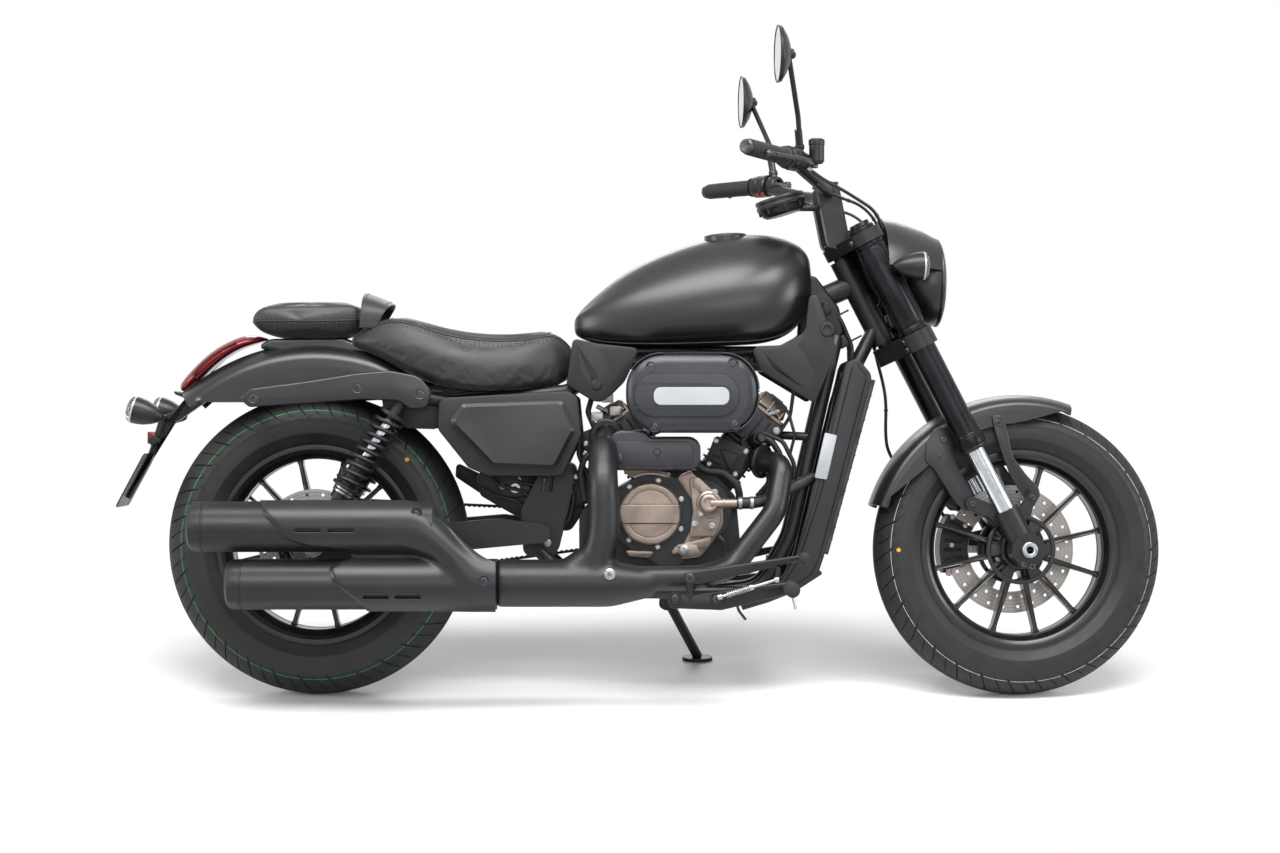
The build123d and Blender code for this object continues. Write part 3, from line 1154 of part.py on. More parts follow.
STRAIGHT_PIECES = {
    "main_frame": main_frame,
    "swingarm": swingarm,
    "rear_axle": rear_axle,
    "rear_shocks": rear_shocks,
    "shock_springs": shock_springs,
    "rear_caliper": rear_caliper,
    "drive_belt": drive_belt,
    "crankcase": crankcase,
    "cylinders": cylinders,
    "engine_covers": engine_covers,
    "case_covers": case_covers,
    "air_cleaner": air_cleaner,
    "ignition_cover": ignition_cover,
    "exhaust_pipes": exhaust_pipes,
    "silencers": silencers,
    "silencer_shield": silencer_shield,
    "chin_fairing": chin_fairing,
    "radiator": radiator,
    "fuel_tank": fuel_tank,
    "fuel_cap": fuel_cap,
    "frame_covers": frame_covers,
    "side_housings": side_housings,
    "side_covers": side_covers,
    "rider_seat": rider_seat,
    "pillion_seat": pillion_seat,
    "pillion_strap": pillion_strap,
    "rear_fender": rear_fender,
    "fender_struts": fender_struts,
    "tail_lamp": tail_lamp,
    "rear_bracket": rear_bracket,
    "foot_controls": foot_controls,
    "rear_tyre": rear_tyre,
    "rear_rim": rear_rim,
    "rear_disc": rear_disc,
    "rear_pulley": rear_pulley,
    "side_stand": side_stand,
}
STEERED_PIECES = {
    "yokes": yokes,
    "fork_tubes": fork_tubes,
    "fork_inners": fork_inners,
    "fork_feet": fork_feet,
    "front_axle": front_axle,
    "front_fender": front_fender,
    "front_caliper": front_caliper,
    "handlebar": handlebar,
    "grips": grips,
    "controls": controls,
    "mirrors": mirrors,
    "instrument": instrument,
    "headlamp": headlamp,
    "headlamp_lens": headlamp_lens,
    "front_indicators": front_indicators,
    "front_hoses": front_hoses,
    "front_tyre": front_tyre,
    "front_rim": front_rim,
    "front_disc": front_disc,
}

os.makedirs("parts", exist_ok=True)
for pieces, place in ((STRAIGHT_PIECES, PARK), (STEERED_PIECES, PARK * STEER)):
    for node, piece in pieces.items():
        parked = piece.part.moved(place)
        parked.label = node
        export_step(parked, f"parts/{node}.step")
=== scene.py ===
"""A low cruiser motorcycle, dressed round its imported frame.

Every piece is drawn on the upright motorcycle in millimetres, X forward, Y to the rider's left and Z up
from the floor, and is then carried to where that body stands: leaning on its side stand, the steering
turned a little.
"""
import json
from math import asin, atan2, cos, pi, radians, sin, tan

import bmesh
import bpy
from mathutils import Matrix, Vector
from mathutils.bvhtree import BVHTree


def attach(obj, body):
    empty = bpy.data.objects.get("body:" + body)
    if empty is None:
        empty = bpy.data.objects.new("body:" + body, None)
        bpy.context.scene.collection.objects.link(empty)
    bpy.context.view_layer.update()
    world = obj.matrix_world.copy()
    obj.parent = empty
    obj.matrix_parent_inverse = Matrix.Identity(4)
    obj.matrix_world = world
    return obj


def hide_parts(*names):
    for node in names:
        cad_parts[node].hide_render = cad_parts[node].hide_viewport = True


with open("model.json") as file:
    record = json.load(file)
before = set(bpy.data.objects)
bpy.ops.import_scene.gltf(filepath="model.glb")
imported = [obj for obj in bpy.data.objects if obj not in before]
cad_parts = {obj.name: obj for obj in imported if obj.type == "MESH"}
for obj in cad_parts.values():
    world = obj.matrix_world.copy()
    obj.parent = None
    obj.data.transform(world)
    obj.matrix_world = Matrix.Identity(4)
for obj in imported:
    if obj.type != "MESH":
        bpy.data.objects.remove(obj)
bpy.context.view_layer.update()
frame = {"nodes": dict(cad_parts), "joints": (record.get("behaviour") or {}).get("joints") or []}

# ---------------------------------------------------------------- the frame's own places
MM = 0.001
LEAN, PARKED_STEER, RAKE = radians(10), radians(5), radians(27.2)
REAR_AXLE, FRONT_AXLE = Vector((-695, 0, 325.0)), Vector((816, 0, 311.73))
FORK_OFFSET, FORK_HALF = 51.3, 104.0  # steering axis behind the legs, and half the distance between them
LEG = Vector((-sin(RAKE), 0, cos(RAKE)))  # up along the fork legs
FORWARD_OF_LEG = Vector((cos(RAKE), 0, sin(RAKE)))
joints = {joint["name"]: joint for joint in frame["joints"]}


def carried(axle, joint, turn):
    """The matrix from the upright motorcycle in mm to the parked one in m, through a wheel's own centre."""
    return Matrix.Translation(joints[joint]["pos_m"]) @ turn @ Matrix.Scale(MM, 4) @ Matrix.Translation(-axle)


LEANING = Matrix.Rotation(-LEAN, 4, "X")
PARK = carried(REAR_AXLE, "rear_wheel_spin", LEANING)
STEERED = carried(FRONT_AXLE, "front_wheel_spin", LEANING @ Matrix.Rotation(PARKED_STEER, 4, LEG))
PARK_BACK = PARK.inverted()
PLACE = {"frame": PARK, "rear_wheel": PARK, "side_stand": PARK, "steering": STEERED, "front_wheel": STEERED}


def on_fork(height, forward=0.0, left=0.0):
    """A point by its distance up the legs from the axle, ahead of them and to the left."""
    return FRONT_AXLE + LEG * height + FORWARD_OF_LEG * forward + Vector((0, left, 0))


# ---------------------------------------------------------------- making shapes
def axes(origin, x, z=(0, 0, 1)):
    """A matrix with its X along x and its Z as near z as may be."""
    x = Vector(x).normalized()
    y = Vector(z).cross(x)
    y = y.normalized() if y.length > 1e-6 else x.orthogonal().normalized()
    z = x.cross(y)
    turn = Matrix((x, y, z)).transposed().to_4x4()
    return Matrix.Translation(origin) @ turn


def fillet(points, radii, closed=False, step=radians(12)):
    """The points of a line whose corners are rounded, each with its own radius."""
    if not closed and hasattr(radii, "__len__"):
        radii = [0, *radii, 0]
    points = [Vector(p) for p in points]
    count = len(points)
    line = []
    for i, corner in enumerate(points):
        radius = radii[i] if hasattr(radii, "__len__") else radii
        if radius <= 0 or (not closed and i in (0, count - 1)):
            line.append(corner)
            continue
        before, after = points[i - 1] - corner, points[(i + 1) % count] - corner
        half = before.angle(after) / 2
        if half > pi / 2 - 0.01:
            line.append(corner)
            continue
        run = min(radius / tan(half), 0.49 * before.length, 0.49 * after.length)
        radius = run * tan(half)
        centre = corner + (before.normalized() + after.normalized()).normalized() * (radius / sin(half))
        first = corner + before.normalized() * run - centre
        last = corner + after.normalized() * run - centre
        turn, normal = first.angle(last), first.cross(last)
        steps = max(2, round(turn / step))
        for k in range(steps + 1):
            line.append(centre + Matrix.Rotation(turn * k / steps, 3, normal) @ first)
    return line


def bridge(bm, rings, closed_ring=True, caps=True, finish=0):
    """Skins rows of points, one row a ring, and closes both ends."""
    rows = [[bm.verts.new(p) for p in ring] for ring in rings]
    count = len(rows[0])
    for a, b in zip(rows, rows[1:]):
        for i in range(count if closed_ring else count - 1):
            j = (i + 1) % count
            bm.faces.new((a[i], a[j], b[j], b[i])).material_index = finish
    if caps:
        for row in (rows[0][::-1], rows[-1]):
            bm.faces.new(row).material_index = finish
    return rows


def tube(bm, points, radius, bends=0.0, around=14, finish=0, closed=False):
    """A round bar or hose through points with rounded bends; radius may be a list, one for each end."""
    line = fillet(points, bends, closed)
    lengths = [0.0]
    for a, b in zip(line, line[1:]):
        lengths.append(lengths[-1] + (b - a).length)
    radii = radius if hasattr(radius, "__len__") else (radius, radius)
    direction = (line[1] - line[0]).normalized()
    side = direction.orthogonal().normalized()
    rings = []
    for i, p in enumerate(line):
        ahead = line[min(i + 1, len(line) - 1)] - line[max(i - 1, 0)]
        if closed and i in (0, len(line) - 1):
            ahead = line[1] - line[-2]
        ahead.normalize()
        side = (side - ahead * side.dot(ahead)).normalized()
        up = ahead.cross(side)
        r = radii[0] + (radii[1] - radii[0]) * lengths[i] / max(lengths[-1], 1e-9)
        rings.append([p + (side * cos(t) + up * sin(t)) * r for t in (2 * pi * k / around
            for k in range(around))])
    bridge(bm, rings, finish=finish)


def lathe(bm, place, rows, around=48, finish=0, closed=True, start=0.0, sweep=2 * pi):
    """Turns rows of (along, radius) round the local X of a matrix; a closed outline makes a solid ring."""
    full = abs(sweep - 2 * pi) < 1e-6
    steps = around if full else around + 1
    rings = []
    for k in range(steps):
        t = start + sweep * k / around
        rings.append([place @ Vector((x, r * cos(t), r * sin(t))) for x, r in rows])
    if full:
        rings.append(rings[0])
    verts = [[bm.verts.new(p) for p in ring] for ring in (rings[:-1] if full else rings)]
    if full:
        verts.append(verts[0])
    count = len(rows)
    made = []
    for a, b in zip(verts, verts[1:]):
        for i in range(count if closed else count - 1):
            j = (i + 1) % count
            quad = [v for v in (a[i], b[i], b[j], a[j])]
            face = bm.faces.new(quad)
            face.material_index = finish
            made.append(face)
    if not full and closed:
        for ring in (verts[0], verts[-1][::-1]):
            bm.faces.new(ring).material_index = finish
    return made


def plate(bm, outline, radii, inner, outer, axis="Y", finish=0, soft=0.0, soft_steps=2):
    """A flat piece with a rounded outline between two depths; soft rounds its edges over."""
    line = fillet([Vector((a, b, 0)) for a, b in outline], radii, closed=True)
    lean = Vector((0, 0, 1))

    def inset(amount):
        points = []
        count = len(line)
        for i, p in enumerate(line):
            tangent = (line[(i + 1) % count] - line[i - 1]).normalized()
            points.append(p + tangent.cross(lean) * -amount * turning)
        return points

    area = sum(a.x * b.y - b.x * a.y for a, b in zip(line, line[1:] + line[:1]))
    turning = 1 if area > 0 else -1
    levels = [(inner, 0.0), (outer, 0.0)]
    if soft:
        grow = 1 if outer > inner else -1
        arcs = [radians(90 * k / soft_steps) for k in range(soft_steps + 1)]
        first = [(inner + grow * soft * (1 - sin(t)), soft * (1 - cos(t))) for t in arcs][::-1]
        last = [(outer - grow * soft * (1 - sin(t)), soft * (1 - cos(t))) for t in arcs]
        levels = first + last
    rings = []
    for depth, amount in levels:
        ring = inset(amount) if amount else line
        if axis == "Y":
            rings.append([Vector((p.x, depth, p.y)) for p in ring])
        elif axis == "X":
            rings.append([Vector((depth, p.x, p.y)) for p in ring])
        else:
            rings.append([Vector((p.x, p.y, depth)) for p in ring])
    bridge(bm, rings, finish=finish)


def piece(name, bm, body, finishes, replaces=(), sharp=38, place=None, levels=0, repair=True):
    """Makes the object: carried to its body's place, shaded, finished and riding on the body."""
    if repair:
        bmesh.ops.recalc_face_normals(bm, faces=bm.faces)
    limit = radians(sharp)
    for face in bm.faces:
        face.smooth = True
    for edge in bm.edges:
        edge.smooth = len(edge.link_faces) == 2 and edge.calc_face_angle(0) < limit
    bmesh.ops.transform(bm, matrix=place or PLACE[body], verts=bm.verts)
    mesh = bpy.data.meshes.new(name)
    bm.to_mesh(mesh)
    bm.free()
    made = linked(name, mesh)
    for finish in finishes if isinstance(finishes, (list, tuple)) else [finishes]:
        mesh.materials.append(finish)
    if levels:
        subdivide(made, levels)
    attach(made, body)
    if replaces:
        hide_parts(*replaces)
    return made


def linked(name, data):
    """An object in the scene."""
    made = bpy.data.objects.new(name, data)
    bpy.context.scene.collection.objects.link(made)
    return made


def subdivide(made, levels):
    smoother = made.modifiers.new("round", "SUBSURF")
    smoother.levels = smoother.render_levels = levels


def evaluated(made):
    """The object's mesh with its modifiers taken in."""
    graph = bpy.context.evaluated_depsgraph_get()
    graph.update()
    return bpy.data.meshes.new_from_object(made.evaluated_get(graph))


# ---------------------------------------------------------------- Geometry Nodes for what repeats
def add(tree, kind, links=None, values=None, **settings):
    """One node, with its settings, its inputs' values and what feeds its inputs."""
    made = tree.nodes.new(kind)
    for key, value in settings.items():
        setattr(made, key, value)
    for key, value in (values or {}).items():
        made.inputs[key].default_value = value
    for key, source in (links or {}).items():
        tree.links.new(source, made.inputs[key])
    return made


def copies_tree():
    """Copies of a template on every point, turned by the point's own angles, joined and finished."""
    tree = bpy.data.node_groups.new("copies on points", "GeometryNodeTree")
    tree.interface.new_socket("Geometry", in_out="INPUT", socket_type="NodeSocketGeometry")
    tree.interface.new_socket("Template", in_out="INPUT", socket_type="NodeSocketObject")
    tree.interface.new_socket("Size", in_out="INPUT", socket_type="NodeSocketFloat").default_value = 1.0
    tree.interface.new_socket("Finish", in_out="INPUT", socket_type="NodeSocketMaterial")
    tree.interface.new_socket("Geometry", in_out="OUTPUT", socket_type="NodeSocketGeometry")
    given = add(tree, "NodeGroupInput").outputs
    template = add(tree, "GeometryNodeObjectInfo", {"Object": given["Template"]})
    turn = add(tree, "GeometryNodeInputNamedAttribute", values={"Name": "turn"}, data_type="FLOAT_VECTOR")
    rotation = add(tree, "FunctionNodeEulerToRotation", {"Euler": turn.outputs["Attribute"]})
    copies = add(tree, "GeometryNodeInstanceOnPoints", {"Points": given["Geometry"],
        "Instance": template.outputs["Geometry"], "Rotation": rotation.outputs["Rotation"],
        "Scale": given["Size"]})
    real = add(tree, "GeometryNodeRealizeInstances", {"Geometry": copies.outputs["Instances"]})
    finished = add(tree, "GeometryNodeSetMaterial", {"Geometry": real.outputs["Geometry"],
        "Material": given["Finish"]})
    add(tree, "NodeGroupOutput", {"Geometry": finished.outputs["Geometry"]})
    return tree


COPIES = copies_tree()


def repeated(template, places, size=1.0):
    """A mesh of the template's copies, one at each matrix, in the template's own units."""
    points = bpy.data.meshes.new("points")
    points.from_pydata([tuple(place.translation) for place in places], [], [])
    turn = points.attributes.new("turn", "FLOAT_VECTOR", "POINT")
    for i, place in enumerate(places):
        turn.data[i].vector = place.to_euler()
    holder = linked("points", points)
    model_mesh = bpy.data.meshes.new("template")
    template.to_mesh(model_mesh)
    template.free()
    model = linked("template", model_mesh)
    modifier = holder.modifiers.new("copies", "NODES")
    modifier.node_group = COPIES
    sockets = {item.name: item.identifier for item in COPIES.interface.items_tree if item.in_out == "INPUT"}
    modifier[sockets["Template"]] = model
    modifier[sockets["Size"]] = size
    mesh = evaluated(holder)
    for made in (holder, model):
        bpy.data.objects.remove(made)
    return mesh


def take(bm, mesh, finish=0):
    """Adds a mesh to a bmesh with one finish."""
    before = len(bm.faces)
    bm.from_mesh(mesh)
    bm.faces.ensure_lookup_table()
    for face in bm.faces[before:]:
        face.material_index = finish


def bolt(radius, height, hexagon=True, around=20):
    """A socket cap screw or a hexagon head, standing on the origin along X."""
    bm = bmesh.new()
    if hexagon:
        socket = radius * 0.52
        rows = [(-1.0, 0.0), (-1.0, radius * 0.9), (0, radius), (height * 0.86, radius),
            (height, radius * 0.88)]
        lathe(bm, Matrix(), rows, around, closed=False)
        rim = [v for v in bm.verts if abs(v.co.x - height) < 1e-4]
        rim.sort(key=lambda v: atan2(v.co.z, v.co.y))
        ring = [bm.verts.new((height, socket * cos(a), socket * sin(a)))
            for a in (k * pi / 3 for k in range(6))]
        floor = [bm.verts.new((height * 0.35, v.co.y, v.co.z)) for v in ring]
        edges = [bm.edges.new((ring[i], ring[(i + 1) % 6])) for i in range(6)]
        outer = [bm.edges.get((rim[i], rim[(i + 1) % len(rim)])) for i in range(len(rim))]
        bmesh.ops.bridge_loops(bm, edges=edges + [e for e in outer if e])
        for i in range(6):
            j = (i + 1) % 6
            bm.faces.new((ring[i], ring[j], floor[j], floor[i]))
        bm.faces.new(floor)
    else:
        lathe(bm, Matrix(), [(-1, 0), (-1, radius * 1.25), (1, radius * 1.25), (1.4, radius * 1.1),
            (1.4, 0)], around, closed=False)
        lathe(bm, Matrix(), [(1.2, 0), (1.2, radius), (height - 1, radius), (height, radius * 0.86),
            (height, 0)], 6, closed=False)
    bmesh.ops.remove_doubles(bm, verts=bm.verts, dist=1e-4)
    bmesh.ops.recalc_face_normals(bm, faces=bm.faces)
    return bm


def bolts(bm, places, radius, height, finish=0, hexagon=True, direction=(0, -1, 0)):
    """Screws at each place: a matrix, or a point with the head along a direction."""
    stands = [axes(p, direction, (1, 0, 0)) if not isinstance(p, Matrix) else p for p in places]
    take(bm, repeated(bolt(radius, height, hexagon), stands), finish)


# ---------------------------------------------------------------- finishes
def linear(hexed):
    """An sRGB hex colour as Blender's linear colour."""
    values = [int(hexed[i:i + 2], 16) / 255 for i in (0, 2, 4)]
    return [v / 12.92 if v <= 0.04045 else ((v + 0.055) / 1.055) ** 2.4 for v in values] + [1.0]


def surface(name, colour, roughness, metallic=0.0, **sockets):
    """A plain shader, its constants on its own sockets; returns the material, its tree and its shader."""
    made = bpy.data.materials.new(name)
    made.use_nodes = True
    tree = made.node_tree
    shader = tree.nodes["Principled BSDF"]
    shader.inputs["Base Color"].default_value = linear(colour)
    shader.inputs["Roughness"].default_value = roughness
    shader.inputs["Metallic"].default_value = metallic
    for key, value in sockets.items():
        shader.inputs[key.replace("_", " ")].default_value = value
    return made, tree, shader


def place_of(tree):
    return add(tree, "ShaderNodeTexCoord").outputs["Object"]


def grain(tree, size_mm, detail=3.0, stretch=(1, 1, 1), roughness=0.55):
    """Noise whose blobs are about this many millimetres."""
    turned = add(tree, "ShaderNodeMapping", {"Vector": place_of(tree)}, {"Scale": stretch})
    return add(tree, "ShaderNodeTexNoise", {"Vector": turned.outputs["Vector"]},
        {"Scale": 1000 / size_mm, "Detail": detail, "Roughness": roughness}).outputs["Fac"]


def vary(tree, shader, fac, light, dark, rough=None, low=0.35, high=0.65):
    """Colour between two shades, and roughness between two values, along a pattern."""
    shade = add(tree, "ShaderNodeValToRGB", {"Fac": fac})
    ramp = shade.color_ramp
    ramp.elements[0].position, ramp.elements[1].position = low, high
    ramp.elements[0].color, ramp.elements[1].color = linear(dark), linear(light)
    tree.links.new(shade.outputs["Color"], shader.inputs["Base Color"])
    if rough:
        ranged = add(tree, "ShaderNodeMapRange", {"Value": fac},
            {"From Min": low, "From Max": high, "To Min": rough[0], "To Max": rough[1]})
        tree.links.new(ranged.outputs["Result"], shader.inputs["Roughness"])
    return shade


def bumped(tree, shader, height, depth_mm, strength=1.0):
    made = add(tree, "ShaderNodeBump", {"Height": height}, {"Distance": depth_mm * MM, "Strength": strength})
    tree.links.new(made.outputs["Normal"], shader.inputs["Normal"])


def finish(name, light, dark, rough, patch_mm, grain_mm, bump_mm, metallic=0.0, stretch=(1, 1, 1), **sockets):
    """A finish whose shade and gloss drift over large patches and whose skin has a fine grain."""
    if metallic < 0.5:
        sockets.setdefault("Specular_IOR_Level", 0.34)
    made, tree, shader = surface(name, light, rough[0], metallic, **sockets)
    vary(tree, shader, grain(tree, patch_mm), light, dark, rough)
    bumped(tree, shader, grain(tree, grain_mm, 2.0, stretch), bump_mm)
    return made


# Satin black enamel, sprayed on pressed steel: a soft wide highlight, faint orange peel about 2 mm wide.
satin_enamel = finish("satin black enamel", "17181a", "131415", (0.33, 0.38), 180, 2.2, 0.012,
                      Coat_Weight=0.25, Coat_Roughness=0.3)
# Black powder coat on welded steel tube: fine even texture about 1 mm wide.
powder_coat = finish("black powder coat", "161719", "111213", (0.38, 0.46), 90, 1.2, 0.03)
# Gloss black paint on cast aluminium wheels: slightly wavy under a clear coat.
wheel_paint = finish("black painted cast aluminium", "121315", "0d0e0f", (0.28, 0.34), 60, 1.6, 0.02,
                     Coat_Weight=0.3, Coat_Roughness=0.18)
# Black anodised aluminium tube: metal sheen under a dark skin, drawn along the tube.
anodised = finish("black anodised aluminium", "1c1d20", "151618", (0.26, 0.34), 40, 1.5, 0.004, metallic=0.75)
# Hard chrome on ground steel.
hard_chrome = finish("hard chrome", "c9ccd0", "b4b8bd", (0.10, 0.16), 30, 0.8, 0.002, metallic=1.0)
# Zinc-plated steel screws and the axle.
plated_steel = finish("zinc plated steel", "a9abad", "85888b", (0.28, 0.42), 12, 0.7, 0.02, metallic=1.0)
# Black oxide screws: dark, faintly oily.
black_screw = finish("black oxide steel", "4a4b4f", "303134", (0.26, 0.38), 8, 0.6, 0.02, metallic=0.75)
# Moulded ABS with a spark-eroded grain about 0.9 mm wide.
black_plastic = finish("grained black abs", "191a1c", "141516", (0.46, 0.54), 70, 0.9, 0.045)
# Smooth moulded nylon for switches, clips and lamp bodies.
smooth_plastic = finish("smooth black nylon", "151617", "101112", (0.34, 0.42), 40, 1.4, 0.012)
# Titanium grey paint on cast covers: metallic flakes under a satin lacquer.
grey_paint = finish("titanium grey lacquer", "2c2d31", "26272a", (0.34, 0.40), 50, 0.8, 0.01, metallic=0.35,
                    Coat_Weight=0.2, Coat_Roughness=0.35)
# Dark bronze lacquer on pressure-cast covers: warm metal, cast skin about 1.3 mm.
bronze = finish("dark bronze lacquer", "85786f", "6f635a", (0.34, 0.44), 45, 1.3, 0.03, metallic=0.7,
                Coat_Weight=0.15, Coat_Roughness=0.3)
# A darker, duller copy of the bronze on the ledge at the foot of the clutch lid's raised band: painted shade.
painted_shade_bronze = finish("bronze painted shade", "3a3029", "2b2520", (0.5, 0.6), 20, 1.3, 0.03, metallic=0.5)
# Sand-cast aluminium painted dark grey: rough skin about 1.6 mm wide.
cast_grey = finish("dark grey cast aluminium", "25262a", "1b1c1e", (0.42, 0.54), 35, 1.6, 0.08, metallic=0.3)
# Machined aluminium edges and pump bodies.
bare_aluminium = finish("bare cast aluminium", "a09f9c", "7f7e7b", (0.34, 0.48), 20, 1.2, 0.04, metallic=0.9)
# Ceramic-coated steel exhaust: dead satin black, heat makes it drift to grey.
exhaust_black = finish("ceramic black coating", "18191b", "131415", (0.36, 0.44), 110, 1.4, 0.02)
# The silencers' matt stove paint.
stove_black = finish("matt stove paint", "1a1b1d", "151617", (0.44, 0.52), 90, 1.0, 0.03)
# Heat shield, a little lighter and smoother than the silencers.
shield_paint = finish("satin shield paint", "1d1e21", "18191b", (0.33, 0.40), 120, 1.8, 0.012)
# Inside of a pipe.
soot = finish("soot", "0b0b0b", "060606", (0.8, 0.9), 20, 1.5, 0.1)
# Vulcanised rubber side walls: waxy, with fine mould grain.
side_rubber = finish("tyre side rubber", "191a1b", "141415", (0.46, 0.56), 50, 1.1, 0.03)
tread_rubber = finish("tyre tread rubber", "1b1c1d", "151516", (0.58, 0.70), 30, 1.4, 0.06)
mark_green = finish("green mould paint", "2f9a4c", "247a3c", (0.6, 0.7), 12, 1.0, 0.01)
mark_white = finish("white mould paint", "c9cbcc", "a8aaab", (0.6, 0.7), 12, 1.0, 0.01)
mark_yellow = finish("yellow balance dot", "c7962f", "a97c22", (0.5, 0.6), 6, 1.0, 0.01)
# Extruded hose and cable sheath; moulded grips.
hose_rubber = finish("hose rubber", "1d1e1f", "161718", (0.45, 0.55), 30, 0.9, 0.02)
grip_rubber = finish("moulded grip rubber", "1f2021", "191a1a", (0.62, 0.72), 30, 1.0, 0.05)
belt_rubber = finish("belt rubber", "1c1c1c", "151515", (0.6, 0.7), 30, 1.2, 0.05)
# Waxed nylon thread on the seats.
thread = finish("grey nylon thread", "4c4d4f", "3a3b3d", (0.5, 0.6), 3, 0.4, 0.05)
# Blank foil for the label, the air cleaner's plate and the lamps' pale rims.
foil = finish("blank satin foil", "9d9fa1", "95979a", (0.34, 0.38), 60, 0.8, 0.008, metallic=0.3)
red_plastic = finish("red switch plastic", "a3262a", "86191d", (0.35, 0.45), 10, 0.8, 0.01)


def rings_metal(name, hub, light, dark, rough, pitch_mm):
    """Ground steel with rings about an axle: a fine circular brush, drawn 1.2 mm wide so that it shows."""
    made, tree, shader = surface(name, light, rough[0], 1.0)
    turn = PLACE[hub].to_euler()
    centre = add(tree, "ShaderNodeMapping", {"Vector": place_of(tree)}, vector_type="TEXTURE",
        values={"Location": PLACE[hub] @ (FRONT_AXLE if hub == "front_wheel" else REAR_AXLE),
        "Rotation": turn})
    rings = add(tree, "ShaderNodeTexWave", {"Vector": centre.outputs["Vector"]},
        {"Scale": 1000 / pitch_mm / 20, "Distortion": 1.5, "Detail": 2.0, "Detail Scale": 2.0},
        wave_type="RINGS", rings_direction="Y")
    vary(tree, shader, rings.outputs["Fac"], light, dark, rough, 0.2, 0.8)
    bumped(tree, shader, rings.outputs["Fac"], 0.005)
    return made


front_disc_steel = rings_metal("ground front disc steel", "front_wheel", "a09b97", "8f8a86", (0.34, 0.40),
    1.2)
rear_disc_steel = rings_metal("ground rear disc steel", "rear_wheel", "9a9693", "898582", (0.34, 0.40), 1.2)


def cover_vinyl():
    """Black seat vinyl, embossed like hide: cells about 2.4 mm wide with fine pores."""
    made, tree, shader = surface("embossed black vinyl", "1a1b1d", 0.46, 0.0, Specular_IOR_Level=0.4,
        Sheen_Weight=0.15, Sheen_Roughness=0.4)
    cells = add(tree, "ShaderNodeTexVoronoi", {"Vector": place_of(tree)}, {"Scale": 1000 / 2.4},
        feature="DISTANCE_TO_EDGE")
    pores = grain(tree, 0.9, 2.0)
    edge = add(tree, "ShaderNodeMapRange", {"Value": cells.outputs["Distance"]},
        {"From Min": 0.0, "From Max": 0.12, "To Min": 0.0, "To Max": 1.0})
    height = add(tree, "ShaderNodeMath", {0: edge.outputs["Result"], 1: pores}, operation="MULTIPLY")
    vary(tree, shader, grain(tree, 60), "1a1b1d", "141517", (0.42, 0.50))
    bumped(tree, shader, height.outputs["Value"], 0.12, 0.8)
    return made


vinyl = cover_vinyl()


def lens(name, colour, roughness=0.04, ior=1.49, ripple_mm=0.0, transmission=1.0):
    """A moulded clear or tinted lens, its inside pressed in small ribs."""
    made, tree, shader = surface(name, colour, roughness, 0.0, IOR=ior, Transmission_Weight=transmission)
    if ripple_mm:
        ribs = add(tree, "ShaderNodeTexWave", {"Vector": place_of(tree)}, {"Scale": 1000 / ripple_mm / 20},
            wave_type="BANDS", bands_direction="X")
        bumped(tree, shader, ribs.outputs["Fac"], 0.15, 0.5)
    else:
        bumped(tree, shader, grain(tree, 6, 1.0), 0.01, 0.5)
    return made


clear_lens = lens("clear polycarbonate", "f4f7f8", 0.03)
red_lens = lens("red polycarbonate", "7d0f18", 0.10, ripple_mm=5.0, transmission=0.35)
dark_red = lens("dark red polycarbonate", "4a0b10", 0.12, transmission=0.3)
smoked_lens = lens("smoked polycarbonate", "8d8f90", 0.06, ripple_mm=4.0, transmission=0.9)
mirror_glass = finish("silvered glass", "c7cacd", "bfc2c6", (0.02, 0.05), 60, 9, 0.001, metallic=1.0)
reflector = finish("aluminised reflector", "d9dbdd", "c4c7ca", (0.08, 0.16), 14, 5, 0.05, metallic=1.0)
screen_glass = finish("black display glass", "0c0d10", "08090b", (0.06, 0.1), 40, 9, 0.001, Coat_Weight=0.6)


def radiator_core():
    """Pressed fins between flat tubes, 3 mm apart, painted black, with painted light on their crests and
    painted shade between them.
    """
    made, tree, shader = surface("black radiator fins", "1a1b1c", 0.5, 0.2)
    fins = add(tree, "ShaderNodeTexWave", {"Vector": place_of(tree)}, {"Scale": 1000 / 3.0 / 20},
        wave_type="BANDS", bands_direction="Y")
    tubes = add(tree, "ShaderNodeTexWave", {"Vector": place_of(tree)}, {"Scale": 1000 / 10.0 / 20},
        wave_type="BANDS", bands_direction="Z")
    both = add(tree, "ShaderNodeMath", {0: fins.outputs["Fac"], 1: tubes.outputs["Fac"]}, operation="ADD")
    # the colour runs from pale on the crests of fins and tubes to near black between them: painted light and
    # painted shade
    vary(tree, shader, both.outputs["Value"], "2b2c2e", "0d0d0e", (0.4, 0.6), 0.3, 1.6)
    bumped(tree, shader, both.outputs["Value"], 0.8)
    return made


core_fins = radiator_core()

